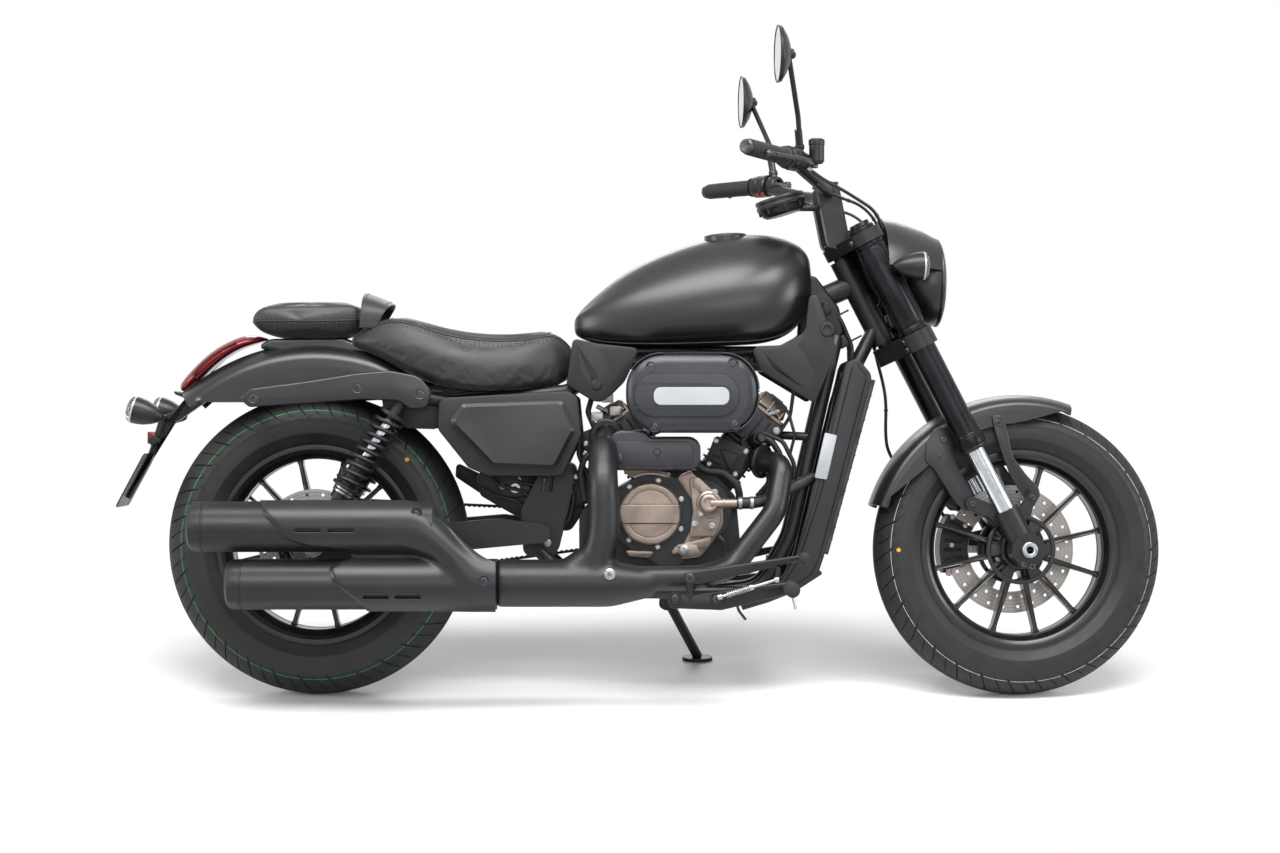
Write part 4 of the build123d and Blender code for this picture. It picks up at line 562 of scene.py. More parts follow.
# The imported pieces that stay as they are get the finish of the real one.
KEPT = {"main_frame": powder_coat, "swingarm": powder_coat, "rear_axle": plated_steel,
    "front_axle": plated_steel, "rear_caliper": powder_coat, "front_caliper": powder_coat,
    "drive_belt": belt_rubber, "rear_pulley": powder_coat, "crankcase": cast_grey, "case_covers": bronze,
    "cylinders": cast_grey, "engine_covers": bronze, "air_cleaner": grey_paint,
    "ignition_cover": grey_paint, "exhaust_pipes": exhaust_black, "silencers": stove_black,
    "silencer_shield": shield_paint, "chin_fairing": black_plastic, "radiator": core_fins,
    "fuel_tank": satin_enamel, "fuel_cap": grey_paint, "frame_covers": black_plastic,
    "side_housings": black_plastic, "side_covers": grey_paint, "rider_seat": vinyl, "pillion_seat": vinyl,
    "pillion_strap": vinyl, "rear_fender": satin_enamel, "fender_struts": satin_enamel,
    "tail_lamp": red_lens, "rear_bracket": smooth_plastic, "foot_controls": powder_coat,
    "rear_disc": rear_disc_steel, "front_disc": front_disc_steel, "front_rim": wheel_paint,
    "rear_rim": wheel_paint, "front_tyre": side_rubber, "rear_tyre": side_rubber, "side_stand": powder_coat,
    "yokes": powder_coat, "fork_tubes": anodised, "fork_inners": hard_chrome, "fork_feet": powder_coat,
    "front_fender": satin_enamel, "handlebar": powder_coat, "grips": grip_rubber,
    "controls": smooth_plastic, "mirrors": smooth_plastic, "instrument": smooth_plastic,
    "headlamp": satin_enamel, "headlamp_lens": clear_lens, "front_indicators": smooth_plastic,
    "rear_shocks": powder_coat, "shock_springs": powder_coat, "front_hoses": hose_rubber,}
for node, node_object in frame["nodes"].items():
    node_object.data.materials.clear()
    node_object.data.materials.append(KEPT[node])


# ---------------------------------------------------------------- tyres and wheels
def hub_axes(axle):
    """Local X along the axle to the left, for turned pieces; local Y then points forward."""
    return Matrix.Translation(axle) @ Matrix(((0, 1, 0, 0), (1, 0, 0, 0), (0, 0, 1, 0), (0, 0, 0, 1)))


def tyre_rows(tyre_r, crown_r, half):
    """(along, radius, crown angle in degrees or None) from the right bead over the crown to the left bead."""
    bead_half, bead_r, edge = half - 24, 208.6, 62
    rows = []
    for step in range(-11, 12):
        angle = edge * step / 11
        rows.append((crown_r * sin(radians(angle)), tyre_r - crown_r + crown_r * cos(radians(angle)), angle))
    shoulder_y, shoulder_r = rows[-1][:2]
    middle_r = (shoulder_r + bead_r) / 2 + 6
    side = []
    # along and radius down the side wall, with two raised ribs and the rim guard
    for share, proud in ((0.06, 0), (0.10, 0.9), (0.13, 0.9), (0.16, 0), (0.28, 0), (0.42, 0), (0.52, 0),
            (0.56, 0.8), (0.58, 0.8), (0.62, 0), (0.72, 0), (0.80, 0.4), (0.84, 1.2), (0.90, 1.2),
            (0.94, 0), (1, 0)):
        r = shoulder_r + (bead_r - shoulder_r) * share
        if r > middle_r:
            k = (r - middle_r) / (shoulder_r - middle_r)
            y = half - (half - shoulder_y) * k ** 2.2
        else:
            k = (middle_r - r) / (middle_r - bead_r)
            y = half - (half - bead_half) * k ** 2
        side.append((y + proud - 0.9, r, 62 + 100 * share if share < 0.2 else None))
    return [(-y, r, a and -a) for y, r, a in reversed(side)] + rows + side


def tread_bend(angle):
    """How far round the wheel, in degrees, the grooves are swept back at this crown angle."""
    return 6.0 * (abs(angle) / 62) ** 1.8


def tyre(name, body, axle, tyre_r, crown_r, half, mark):
    """One tyre: 30 pitches of swept grooves, two straight ones, ribbed side walls and a thin mould line."""
    rows = tyre_rows(tyre_r, crown_r, half)
    pitches, depth = 30, 4.2
    # where the section is cut along the wheel, as shares of one pitch, and the grooves there
    cuts = (0.0, 0.07, 0.08, 0.125, 0.135, 0.3, 0.45, 0.555, 0.565, 0.60, 0.61, 0.8)
    hub = hub_axes(axle)
    bm = bmesh.new()
    rings = []
    for pitch in range(pitches):
        for k, share in enumerate(cuts):
            ring = []
            for y, r, angle in rows:
                turn = (pitch + share) * 360 / pitches
                sunk = 0.0
                if angle is not None:
                    turn += tread_bend(angle) + (6.0 if angle > 0 else 0.0)
                    out = abs(angle)
                    if k in (2, 3) and 10 < out < 76:
                        sunk = depth * (1 if out < 70 else 0.6)
                    if k in (8, 9) and 28 < out < 66:
                        sunk = depth * 0.8
                    if 13 < out < 18:
                        sunk = depth
                else:
                    turn += tread_bend(78) + (6.0 if y > 0 else 0.0)
                rr = r - sunk
                ring.append(hub @ Vector((y, rr * sin(radians(turn)), rr * cos(radians(turn)))))
            rings.append([bm.verts.new(p) for p in ring])
    count = len(rows)
    for i, ring in enumerate(rings):
        after = rings[(i + 1) % len(rings)]
        for j in range(count - 1):
            face = bm.faces.new((ring[j], after[j], after[j + 1], ring[j + 1]))
            angle = rows[j][2]
            if angle is None or rows[j + 1][2] is None or abs(angle) > 61 and abs(rows[j + 1][2]) > 61:
                face.material_index = 1
    # a thin paint line on each tread block
    for pitch in range(pitches):
        for side in (-1, 1):
            strip = []
            for k in range(9):
                turn = radians((pitch + 0.16 + 0.88 * k / 8) * 360 / pitches + tread_bend(55) + (6.0
                    if side > 0 else 0))
                pair = []
                for out in (55.0, 55.8):
                    y, r = side * (crown_r + 0.3) * sin(radians(out)), tyre_r - crown_r + (crown_r
                        + 0.3) * cos(radians(out))
                    pair.append(bm.verts.new(hub @ Vector((y, r * sin(turn), r * cos(turn)))))
                strip.append(pair)
            for a, b in zip(strip, strip[1:]):
                bm.faces.new((a[0], b[0], b[1], a[1])).material_index = 2
    piece(name, bm, body, [tread_rubber, side_rubber, mark], (name,), sharp=34)


def section_line(points, radius, step=radians(20)):
    """A rounded outline of (along, radius) rows for turning."""
    return [(p.x, p.y) for p in fillet([Vector((a, b, 0)) for a, b in points], radius, closed=True,
        step=step)]


def turned(bm, place, outline, rounds, around=48, **how):
    """A turned piece with a rounded outline of (along, radius) corners."""
    lathe(bm, place, section_line(outline, rounds), around, **how)


def spoke(inner_r, outer_r, inner_half, outer_half):
    """One straight blade, narrower and thinner outward, with a long hollow along its outer face."""
    bm = bmesh.new()
    rings = []
    for share in (0.0, 0.04, 0.12, 0.5, 0.9, 1.0):
        r = inner_r + (outer_r - inner_r) * share
        deep = inner_half + (outer_half - inner_half) * share
        wide = 6.5 + (4.4 - 6.5) * share + (3.0 if share in (0.0, 1.0) else 0)
        hollow = 1.6 if 0.1 < share < 0.95 else 0.0
        ring = []
        for y, x in ((-deep + 2, -wide), (-deep, -wide + 1.8), (-deep + hollow, -wide * 0.3),
                (-deep + hollow, wide * 0.3), (-deep, wide - 1.8), (-deep + 2, wide), (deep - 2, wide),
                (deep, wide - 1.8), (deep - hollow, wide * 0.3), (deep - hollow, -wide * 0.3),
                (deep, -wide + 1.8), (deep - 2, -wide)):
            ring.append(Vector((x, y, r)))
        rings.append(ring)
    bridge(bm, rings)
    bmesh.ops.recalc_face_normals(bm, faces=bm.faces)
    return bm


def wheel(name, body, axle, half, hub_r, hub_half):
    """A cast wheel: a barrel with stepped lips, a hub with six windows and twelve slim blades."""
    seat = half - 24
    hub = hub_axes(axle)
    bm = bmesh.new()
    turned(bm, hub, [(-seat - 6, 218), (-seat - 6, 205), (-seat - 2, 196), (-seat * 0.55, 184),
        (seat * 0.55, 184), (seat + 2, 196), (seat + 6, 205), (seat + 6, 218), (seat, 218), (seat - 1, 208),
        (-seat + 1, 208), (-seat, 218)], [1.5, 4, 5, 10, 10, 5, 4, 1.5, 1.5, 3, 3, 1.5], 144)
    for sign in (-1, 1):
        # a raised bead on the barrel's inner face, where the blades land
        turned(bm, hub, [(sign * seat * 0.45, 183), (sign * (seat * 0.45 + 9), 184.5),
            (sign * (seat * 0.45 + 9), 190), (sign * seat * 0.45, 190)], 1, 96)
    blade = spoke(hub_r - 6, 187, 24, 15)
    turns = [Matrix.Translation(axle) @ Matrix.Rotation(radians(90 - 12.8 - k * 30), 4, "Y")
        for k in range(12)]
    take(bm, repeated(blade, turns))
    bore = 13.2
    turned(bm, hub, [(-hub_half, bore), (-hub_half, hub_r - 17), (-hub_half + 10, hub_r - 13),
        (-30, hub_r - 4), (-26, hub_r), (26, hub_r), (30, hub_r - 4), (hub_half - 10, hub_r - 13),
        (hub_half, hub_r - 17), (hub_half, bore)], [0, 2, 3, 3, 3, 3, 3, 3, 2, 0], 72)
    # an open crown outside the blades: two rims joined by six posts
    for sign in (-1, 1):
        for inner, outer in ((hub_r - 13, hub_r - 4), (hub_r + 20, hub_r + 29)):
            turned(bm, hub, [(sign * (hub_half - 20), inner), (sign * (hub_half - 10), inner),
                (sign * (hub_half - 10), outer), (sign * (hub_half - 20), outer)], 1.5, 72)
        for k in range(6):
            turned(bm, hub, [(sign * 18, hub_r - 8), (sign * (hub_half - 11), hub_r - 8),
                (sign * (hub_half - 12), hub_r + 22), (sign * 18, hub_r + 22)], 1.5, 8,
                start=radians(60 * k - 12), sweep=radians(24))
    # valve
    tube(bm, [axle + Vector((-150, -6, 100)), axle + Vector((-132, -10, 86))], (4.2, 3.2), around=12)
    piece(name, bm, body, [wheel_paint], (name,), sharp=32)


tyre("front_tyre", "front_wheel", FRONT_AXLE, 313, 68, 65, mark_white)
tyre("rear_tyre", "rear_wheel", REAR_AXLE, 325, 84, 78, mark_green)
wheel("front_rim", "front_wheel", FRONT_AXLE, 65, 46, 66)
wheel("rear_rim", "rear_wheel", REAR_AXLE, 78, 58, 72)


def ring_of(axle, radius, y, start, count=6):
    """Points evenly round an axle, y millimetres to its left."""
    turns = [radians(start + 360 * k / count) for k in range(count)]
    return [axle + Vector((radius * cos(t), y, radius * sin(t))) for t in turns]


def disc_details():
    """Buttons between each disc and its carrier, the balance dots on the side walls, and the hub's screws."""
    bm = bmesh.new()
    left = (0, 1, 0)
    bolts(bm, ring_of(FRONT_AXLE, 89.28, 64, 0), 6.5, 3.5, hexagon=False, direction=left)
    bolts(bm, ring_of(FRONT_AXLE, 44, 64, 30), 5.5, 5, 1, direction=left)
    piece("front_disc_screws", bm, "front_wheel", [plated_steel, black_screw])
    bm = bmesh.new()
    bolts(bm, ring_of(REAR_AXLE, 46, 108.5, 30), 5.5, 5, 1, direction=left)
    piece("rear_pulley_screws", bm, "rear_wheel", [plated_steel, black_screw])
    for name, body, axle, half, turn in (("front_balance_dot", "front_wheel", FRONT_AXLE, 65, 180),
            ("rear_balance_dot", "rear_wheel", REAR_AXLE, 78, 43)):
        bm = bmesh.new()
        spot = axle + Vector((268 * cos(radians(turn)), -half + 0.4, 268 * sin(radians(turn))))
        lathe(bm, axes(spot, (0, -1, 0), (1, 0, 0)), [(-1, 0), (-1, 4.6), (0.6, 4.4), (0.8, 3.6), (0.8, 0)],
            24, closed=False)
        piece(name, bm, body, [mark_yellow])


disc_details()


# ---------------------------------------------------------------- fork
def leg_place(left):
    """Local X up a fork leg from the axle, for turned pieces; local Y points to the left."""
    up_leg = Matrix(((LEG.x, 0, FORWARD_OF_LEG.x, 0), (LEG.y, 1, 0, 0), (LEG.z, 0, FORWARD_OF_LEG.z, 0),
        (0, 0, 0, 1)))
    return Matrix.Translation(FRONT_AXLE + Vector((0, left, 0))) @ up_leg


def fork_tubes():
    """Upper shrouds with three long sunk grooves, plain tubes below the lower yoke and stepped rings."""
    bm = bmesh.new()
    for left in (-FORK_HALF, FORK_HALF):
        place = leg_place(left)
        turned(bm, place, [(250, 20), (250, 30.5), (254, 31.5), (270, 31.5), (272, 29.5), (276, 29.5),
            (278, 28.5), (486, 28.5), (486, 20)], [0, 1.5, 1, 1, 1, 1, 1, 0, 0], 64)
        turned(bm, place, [(522, 20), (522, 31.5), (526, 32.5), (534, 32.5), (536, 30.8), (540, 30.8),
            (542, 32.5), (722, 32.5), (724, 30.8), (728, 30.8), (730, 32.5), (738, 31.5), (738, 20)],
            [0, 1, 1, 1, 1, 1, 1, 1, 1, 1, 1, 1, 0], 64)
        # long ribs standing on the shroud leave the grooves between them
        for k in range(24):
            turn = radians(k * 15 + 7.5)
            if k % 3 == 2:
                continue
            rib = [place @ Vector((x, (32.3 + h) * cos(turn + w), (32.3 + h) * sin(turn + w)))
                for x, h, w in ((552, 0, -0.10), (556, 1.3, -0.085), (556, 1.3, 0.085), (552, 0, 0.10),
                (712, 0, -0.10), (708, 1.3, -0.085), (708, 1.3, 0.085), (712, 0, 0.10))]
            v = [bm.verts.new(p) for p in rib]
            for ids in ((0, 1, 2, 3), (7, 6, 5, 4), (0, 4, 5, 1), (1, 5, 6, 2), (2, 6, 7, 3)):
                bm.faces.new([v[i] for i in ids])
        turned(bm, place, [(763, 15), (763, 28), (770, 28), (773, 26), (775, 22), (783.5, 21), (783.5, 15)],
            [0, 0.5, 1.5, 1.5, 1, 1.5, 0], 48)
        bmesh.ops.create_circle(bm, cap_ends=True, segments=6, radius=15.4,
            matrix=place @ Matrix.Translation((783, 0, 0)) @ Matrix.Rotation(pi / 2, 4, "Y"))
    piece("fork_tubes", bm, "steering", [anodised], ("fork_tubes",), sharp=30)


def fork_details():
    """Dust seals, clamp screws of both yokes, the stem nut and the hollow axle end with pinch screws."""
    bm = bmesh.new()
    for left in (-FORK_HALF, FORK_HALF):
        place = leg_place(left)
        turned(bm, place, [(240, 20.6), (240, 26), (244, 28), (250, 28), (250, 20.6)], 0.8, 40, finish=0)
    screws = []
    for height in (495, 513):
        for left in (-FORK_HALF, FORK_HALF):
            at = on_fork(height, -30, left * 1.12)
            screws.append(axes(at, -FORWARD_OF_LEG + Vector((0, 0.5 * (1 if left > 0 else -1), 0)), LEG))
    for left in (-FORK_HALF, FORK_HALF):
        screws.append(axes(on_fork(751, -31, left * 1.1), -FORWARD_OF_LEG, LEG))
    bolts(bm, screws, 6, 8, 1)
    for left in (-46, 46):
        for ahead in (-17, 17):
            top = Vector((402 + ahead, left, 1080 + 22.5 - abs(ahead) * 0.2))
            bolts(bm, [top], 5, 5, 1, direction=(0, 0, 1))
    stem = on_fork(764, -FORK_OFFSET)
    turned(bm, axes(stem, LEG, (0, 1, 0)), [(-2, 0.1), (-2, 22), (8, 22), (10, 20), (10, 0.1)],
        [0, 1, 1, 1, 0], 6, finish=1)
    piece("fork_details", bm, "steering", [smooth_plastic, black_screw])
    bm = bmesh.new()
    for side in (-1, 1):
        end = hub_axes(FRONT_AXLE) @ Matrix.Translation((side * 142.3, 0, 0))
        lathe(bm, end, [(side * 0.4, 8.2), (side * 0.9, 9.5), (side * 0.9, 15.5), (side * 0.3, 16.6),
            (-side * 6, 17.1), (-side * 6, 8.2)], 48)
    piece("axle_ends", bm, "steering", [plated_steel])
    bm = bmesh.new()
    foot_screws = []
    for left in (-FORK_HALF, FORK_HALF):
        out = -1 if left < 0 else 1
        for height, ahead in ((-22, -24), (-34, -10)):
            foot_screws.append(axes(on_fork(height, ahead, left + out * 27.5), (0, out, 0), LEG))
    for stay in ((702, 411), (832, 424)):
        for out in (-1, 1):
            foot_screws.append(axes((stay[0], out * 98.5, stay[1]), (0, out, 0), LEG))
    bolts(bm, foot_screws, 6.2, 5)
    piece("fork_foot_screws", bm, "steering", [black_screw])


fork_tubes()
fork_details()


def fender_shell(name, axle, outer_r, half, front, rear, lower, shoulder, wall, body, node, flat=0.45):
    """A crowned strip round a tyre: lower(angle) gives how far down the skirts reach, as a radius."""
    bm = bmesh.new()
    steps = 56
    rings = []
    for k in range(steps + 1):
        angle = -front + (front + rear) * k / steps
        turn = radians(angle)
        skirt = lower(angle)
        edge_r = outer_r - shoulder
        drop = max(edge_r - skirt, 2.0)
        half_section = [(0, 0), (half * 0.25, 0.6), (half * flat, 2.0), (half * 0.68, 2.0 + shoulder * 0.2),
            (half * 0.86, shoulder * 0.5), (half * 0.965, shoulder * 0.78), (half, shoulder * 1.05),
            (half, shoulder + drop * 0.35), (half, shoulder + drop * 0.7), (half, shoulder + drop)]
        ring = []
        for y, d in [(-y, d) for y, d in reversed(half_section)] + half_section[1:]:
            r = outer_r - d
            ring.append(axle + Vector((-r * sin(turn), y, r * cos(turn))))
        rings.append(ring)
    rows = [[bm.verts.new(p) for p in ring] for ring in rings]
    for a, b in zip(rows, rows[1:]):
        for i in range(len(a) - 1):
            bm.faces.new((a[i], a[i + 1], b[i + 1], b[i]))
    bmesh.ops.recalc_face_normals(bm, faces=bm.faces)
    top = max(bm.faces, key=lambda f: f.calc_center_median().z)
    if top.normal.z < 0:
        bmesh.ops.reverse_faces(bm, faces=bm.faces)
    made = piece(name, bm, body, [satin_enamel], (node,) if node else (), sharp=180,
        repair=False)
    thick = made.modifiers.new("wall", "SOLIDIFY")
    thick.thickness, thick.offset = wall * MM, -1
    soft = made.modifiers.new("edge", "BEVEL")
    soft.width, soft.segments, soft.limit_method, soft.angle_limit = 1.2 * MM, 2, "ANGLE", radians(50)
    return made


def front_skirt(angle):
    """The skirt's lower edge: level round the wheel, rising to the rim of the strip at both tips."""
    if angle < 2:
        share = max(0.0, (angle + 20) / 22)
        return 274 + (1 - share) ** 1.6 * 48
    if angle > 40:
        share = max(0.0, (73 - angle) / 33)
        return 270 + (1 - share) ** 2.2 * 54
    return 272


def front_fender():
    made = fender_shell("front_fender_strip", FRONT_AXLE, 335, 74, 20, 73, front_skirt, 24, 3.5, "steering",
        None)
    bm = bmesh.new()
    rear_stay = [(606, 540), (604, 500), (622, 486), (664, 420), (686, 396), (704, 396), (714, 410),
        (704, 436), (670, 500), (664, 566), (630, 580)]
    front_stay = [(748, 600), (772, 600), (784, 560), (794, 512), (822, 474), (850, 444), (854, 426),
        (838, 413), (820, 420), (788, 470), (768, 524), (754, 570)]
    for out in (-1, 1):
        plate(bm, rear_stay, [20, 16, 30, 40, 12, 10, 10, 40, 50, 10, 20], out * 73, out * 78.5, soft=2.2)
        plate(bm, front_stay, [6, 6, 30, 30, 40, 12, 10, 8, 12, 40, 40, 30], out * 74, out * 79.5, soft=2.2)
    piece("front_fender_stays", bm, "steering", [satin_enamel], ())
    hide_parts("front_fender")
    bm = bmesh.new()
    spots = [axes((x, out * 79.5, z), (0, out, 0), (1, 0, 0)) for out in (-1, 1)
        for x, z in ((644, 548), (640, 512), (762, 584))]
    bolts(bm, spots, 6, 4)
    piece("front_fender_screws", bm, "steering", [black_screw])


front_fender()


def front_caliper_details():
    """Four-piston caliper on the left: end caps, bleed nipple, pins and its mounting screws."""
    bm = bmesh.new()
    def spot(radius, turn, y):
        return FRONT_AXLE + Vector((radius * cos(radians(turn)), y, radius * sin(radians(turn))))

    for turn in (162, 178, 192):
        at = spot(129, turn, 98)
        turned(bm, axes(at, (0, 1, 0), (1, 0, 0)), [(-3, 0.1), (-3, 14), (2, 14), (3.5, 12), (3.5, 0.1)],
            [0, 0, 1, 1, 0], 32)
        turned(bm, axes(at, (0, -1, 0), (1, 0, 0)), [(56, 0.1), (56, 11), (60, 11), (60, 0.1)], 0.5, 24)
    for turn in (152, 170, 185, 198):
        tube(bm, [spot(152, turn, 70), spot(152, turn, 100)], 5, around=12)
    # ribs and pistons' backs on the wheel side, seen between the blades
    for turn in (156, 164, 172, 180, 188, 196):
        tube(bm, [spot(112, turn, 40), spot(150, turn, 40)], 3.2, around=10)
    piece("front_caliper_caps", bm, "steering", [powder_coat])
    bm = bmesh.new()
    spots = [axes(spot(r, t, 100), (0, 1, 0), (1, 0, 0)) for r, t in ((146, 153), (146, 196), (108, 172))]
    spots += [axes(spot(r, t, 39.5), (0, -1, 0), (1, 0, 0))
        for r, t in ((149, 152), (149, 200), (116, 154), (116, 196), (134, 176))]
    bolts(bm, spots, 5, 4)
    for at in spots:
        turned(bm, at, [(-1, 5.4), (-1, 7.2), (1.2, 7.2), (1.2, 5.4)], 0.3, 24, finish=1)
    piece("front_caliper_screws", bm, "steering", [plated_steel, red_plastic])


front_caliper_details()


# ---------------------------------------------------------------- handlebar, grips, levers and mirrors
GRIP_START, GRIP_END = Vector((290, 252, 1128)), Vector((190, 385, 1132))
GRIP_LINE = (GRIP_END - GRIP_START).normalized()


def sided(p, out):
    return Vector((p[0], p[1] * out, p[2]))


def along_grip(at, out):
    return sided(GRIP_START + GRIP_LINE * at, out)


def grips():
    """Moulded grips: an inner flange, a band of ribs, a plain palm zone and a bar-end weight."""
    bm = bmesh.new()
    for out in (-1, 1):
        place = axes(along_grip(0, out), sided(GRIP_LINE, out), (0, 0, 1))
        rows = [(20, 13), (20, 21), (24, 21.5), (27, 17.5)]
        for k in range(14):
            at = 30 + k * 8
            rows += [(at, 16.9), (at + 1.2, 17.4), (at + 5.2, 17.4), (at + 6.2, 16.7)]
        rows += [(146, 17.2), (166, 17.2), (167, 13)]
        lathe(bm, place, rows, 40)
        turned(bm, place, [(165, 0.1), (165, 13.5), (168, 15.2), (178, 15.2), (180.4, 12), (180.4, 0.1)],
            [0, 1, 1.5, 2, 2, 0], 32, finish=1)
    piece("grips", bm, "steering", [grip_rubber, black_screw], ("grips",), sharp=30)


def switch_boxes():
    """Clam-shell switch housings, their seams and buttons, lever perches, levers and the fluid reservoir."""
    bm = bmesh.new()
    for out in (-1, 1):
        place = axes(along_grip(0, out), sided(GRIP_LINE, out), (0, 0, 1))
        shell = [(-33, 14), (-34, 22), (-30, 24.6), (-12, 24.9), (-10.6, 24), (-9.4, 24), (-8, 24.9),
            (10, 24.4), (15, 21), (16, 14)]
        lathe(bm, place, shell, 48)
        turned(bm, place, [(-61, 13), (-61, 18), (-57, 20), (-39, 20), (-36, 18), (-36, 13)],
            [0, 2, 1, 1, 2, 0], 40)
        # screws and a rocker on the shell's inner face
        for at in (-22, 4):
            turn, out_of_shell = Matrix.Rotation(radians(-120), 4, "X"), Matrix.Rotation(-pi / 2, 4, "Y")
            spot = Matrix.Translation((at, 0, 0)) @ turn @ Matrix.Translation((0, 0, 24)) @ out_of_shell
            bolts(bm, [place @ spot], 3.4, 2.5, 1)
        pivot = sided(GRIP_START - GRIP_LINE * 46 + Vector((30, 0, -4)), out)
        middle = sided(GRIP_START + GRIP_LINE * 30 + Vector((52, 0, -8)), out)
        tip = sided(GRIP_END + Vector((44, -22, -10)), out)
        lever_line = fillet([pivot, middle, tip], 90)
        rings = []
        for i, p in enumerate(lever_line):
            ahead = (lever_line[min(i + 1, len(lever_line) - 1)] - lever_line[max(i - 1, 0)]).normalized()
            across = Vector((0, 0, 1))
            flat = ahead.cross(across).normalized()
            share = i / (len(lever_line) - 1)
            wide, thick = 7.5 - 2.2 * share, 4.6 - 1.0 * share
            rings.append([p + flat * (thick * cos(t)) + across * (wide * sin(t))
                for t in (2 * pi * n / 14 for n in range(14))])
        bridge(bm, rings, finish=1)
        ball = bmesh.ops.create_uvsphere(bm, u_segments=18, v_segments=12, radius=8.0,
            matrix=Matrix.Translation(tip))
        for v in ball["verts"]:
            for f in v.link_faces:
                f.material_index = 1
        tube(bm, [sided(GRIP_START - GRIP_LINE * 46 + Vector((4, 0, 0)), out), pivot + Vector((8, 0, 0))],
            (11, 9), around=20)
        turned(bm, axes(pivot, (0, 0, 1), (1, 0, 0)), [(-11, 0.1), (-11, 8), (11, 8), (12.5, 6.5),
            (12.5, 0.1)], [0, 1, 1, 1, 0], 28, finish=1)
    # reservoir on the right: a cup with a screwed lid
    foot = Vector((352, -222, 1128))
    tube(bm, [(322, -206, 1118), foot], 8, around=16)
    turned(bm, axes(foot, (0, 0, 1), (1, 0, 0)), [(-8, 0.1), (-8, 12), (-3, 16), (30, 16), (32, 17),
        (42, 17), (44, 14), (44, 0.1)], [0, 2, 3, 1, 1, 2, 1, 0], 40)
    for k in range(2):
        bolts(bm, [foot + Vector((9 - 18 * k, 0, 44))], 2.6, 1.6, 1, direction=(0, 0, 1))
    piece("controls", bm, "steering", [smooth_plastic, black_screw], ("controls",), sharp=32)
    bm = bmesh.new()
    for out, at in ((-1, -20), (1, -26), (1, -12)):
        place = axes(along_grip(at, out), sided(GRIP_LINE, out),
            (0, 0, 1)) @ Matrix.Rotation(radians(140 if out < 0 else -140), 4, "X")
        plate_place = place @ Matrix.Translation((0, 0, 23.5))
        ring = [(-4.5, -3.5), (4.5, -3.5), (4.5, 3.5), (-4.5, 3.5)]
        outline = fillet([Vector((a, b, 0)) for a, b in ring], 1.5, closed=True)
        bridge(bm, [[plate_place @ Vector((p.x * k, p.y * k, h)) for p in outline]
            for k, h in ((1, 0), (1, 2.4), (0.8, 3.4))])
    piece("switch_buttons", bm, "steering", [red_plastic])


def mirrors():
    """Round dishes on thin cranked stems, each with a band seam, a rim, and silvered glass behind."""
    bm = bmesh.new()
    for out in (-1, 1):
        foot, elbow, head = sided((322, 205, 1112), out), sided((312, 232, 1216),
            out), sided((282, 330, 1332), out)
        tube(bm, [foot, elbow, head - Vector((3, 0, 0))], 5.5, 30, 16)
        low = elbow - Vector((0, 0, 26))
        tube(bm, [foot, low], 8, around=20)
        for share in (0.04, 0.55):
            at = foot + (low - foot) * share
            turned(bm, axes(at, low - foot, (1, 0, 0)), [(-5, 5), (-5, 10), (5, 10), (5, 5)], 1.4, 24)
        dish = Matrix.Translation(head - Vector((16, 0, 0))) @ Matrix.Rotation(pi, 4, "Z")
        outer = [(-18, 0.1), (-17.6, 12), (-15.5, 22), (-9, 40), (-1, 53), (1.2, 55.4), (0.6, 56.4),
            (2.4, 57.6), (4, 58.2), (9.4, 59.8), (10, 59.2), (10, 56.6), (8.4, 56.2), (8.4, 0.1)]
        lathe(bm, dish, outer, 72, closed=False)
        lathe(bm, dish, [(-25, 0.1), (-25, 7), (-23, 10), (-16, 12), (-16, 0.1)], 32, closed=False)
        bmesh.ops.create_uvsphere(bm, u_segments=20, v_segments=12, radius=9,
            matrix=Matrix.Translation(head + Vector((4, 0, -2))))
        lathe(bm, dish, [(8.9, 0.1), (8.9, 56)], 72, finish=1, closed=False)
    piece("mirrors", bm, "steering", [smooth_plastic, mirror_glass], ("mirrors",), sharp=34)


def handlebar():
    """A black tube bar."""
    bm = bmesh.new()
    points = [(190, -385, 1132), (290, -252, 1128), (372, -118, 1090), (402, -60, 1080), (402, 60, 1080),
        (372, 118, 1090), (290, 252, 1128), (190, 385, 1132)]
    tube(bm, points, 12.7, 60, 28)
    piece("handlebar", bm, "steering", [powder_coat], ("handlebar",))


def instrument():
    """A round pod on a bracket: stepped shell, bezel, a dark glass and a blank face ring."""
    bm = bmesh.new()
    tilt = radians(16)
    up = Vector((-sin(tilt), 0, cos(tilt)))
    place = axes((306, 0, 1056), up, (0, 1, 0))
    turned(bm, place, [(-20, 0.1), (-20, 38), (-15, 45), (-4, 50), (0, 53.6), (6, 54), (8, 52.5),
        (12, 52.5), (14, 54), (20, 53), (20, 48), (17.5, 47), (17.5, 0.1)],
        [0, 6, 4, 4, 1, 1, 1, 1, 1, 1, 1, 1, 0], 72)
    lathe(bm, place, [(18.2, 0.1), (18.2, 47)], 72, finish=1, closed=False)
    tube(bm, [(318, 0, 1052), (412, 0, 1052)], 7, around=16)
    tube(bm, [(410, -40, 1052), (410, 40, 1052)], 9, around=18)
    for k in range(8):
        t = radians(45 * k)
        at = place @ Vector((-4, 50 * cos(t), 50 * sin(t)))
        turned(bm, axes(at, up, (1, 0, 0)), [(-8, 0.1), (-8, 2.6), (5, 2.6), (5, 0.1)], 0.6, 12)
    piece("instrument", bm, "steering", [smooth_plastic, screen_glass], ("instrument",),
        sharp=34)


handlebar()
grips()
switch_boxes()
mirrors()
instrument()


# ---------------------------------------------------------------- headlamp and front indicators
LAMP = Vector((640, 0, 890))


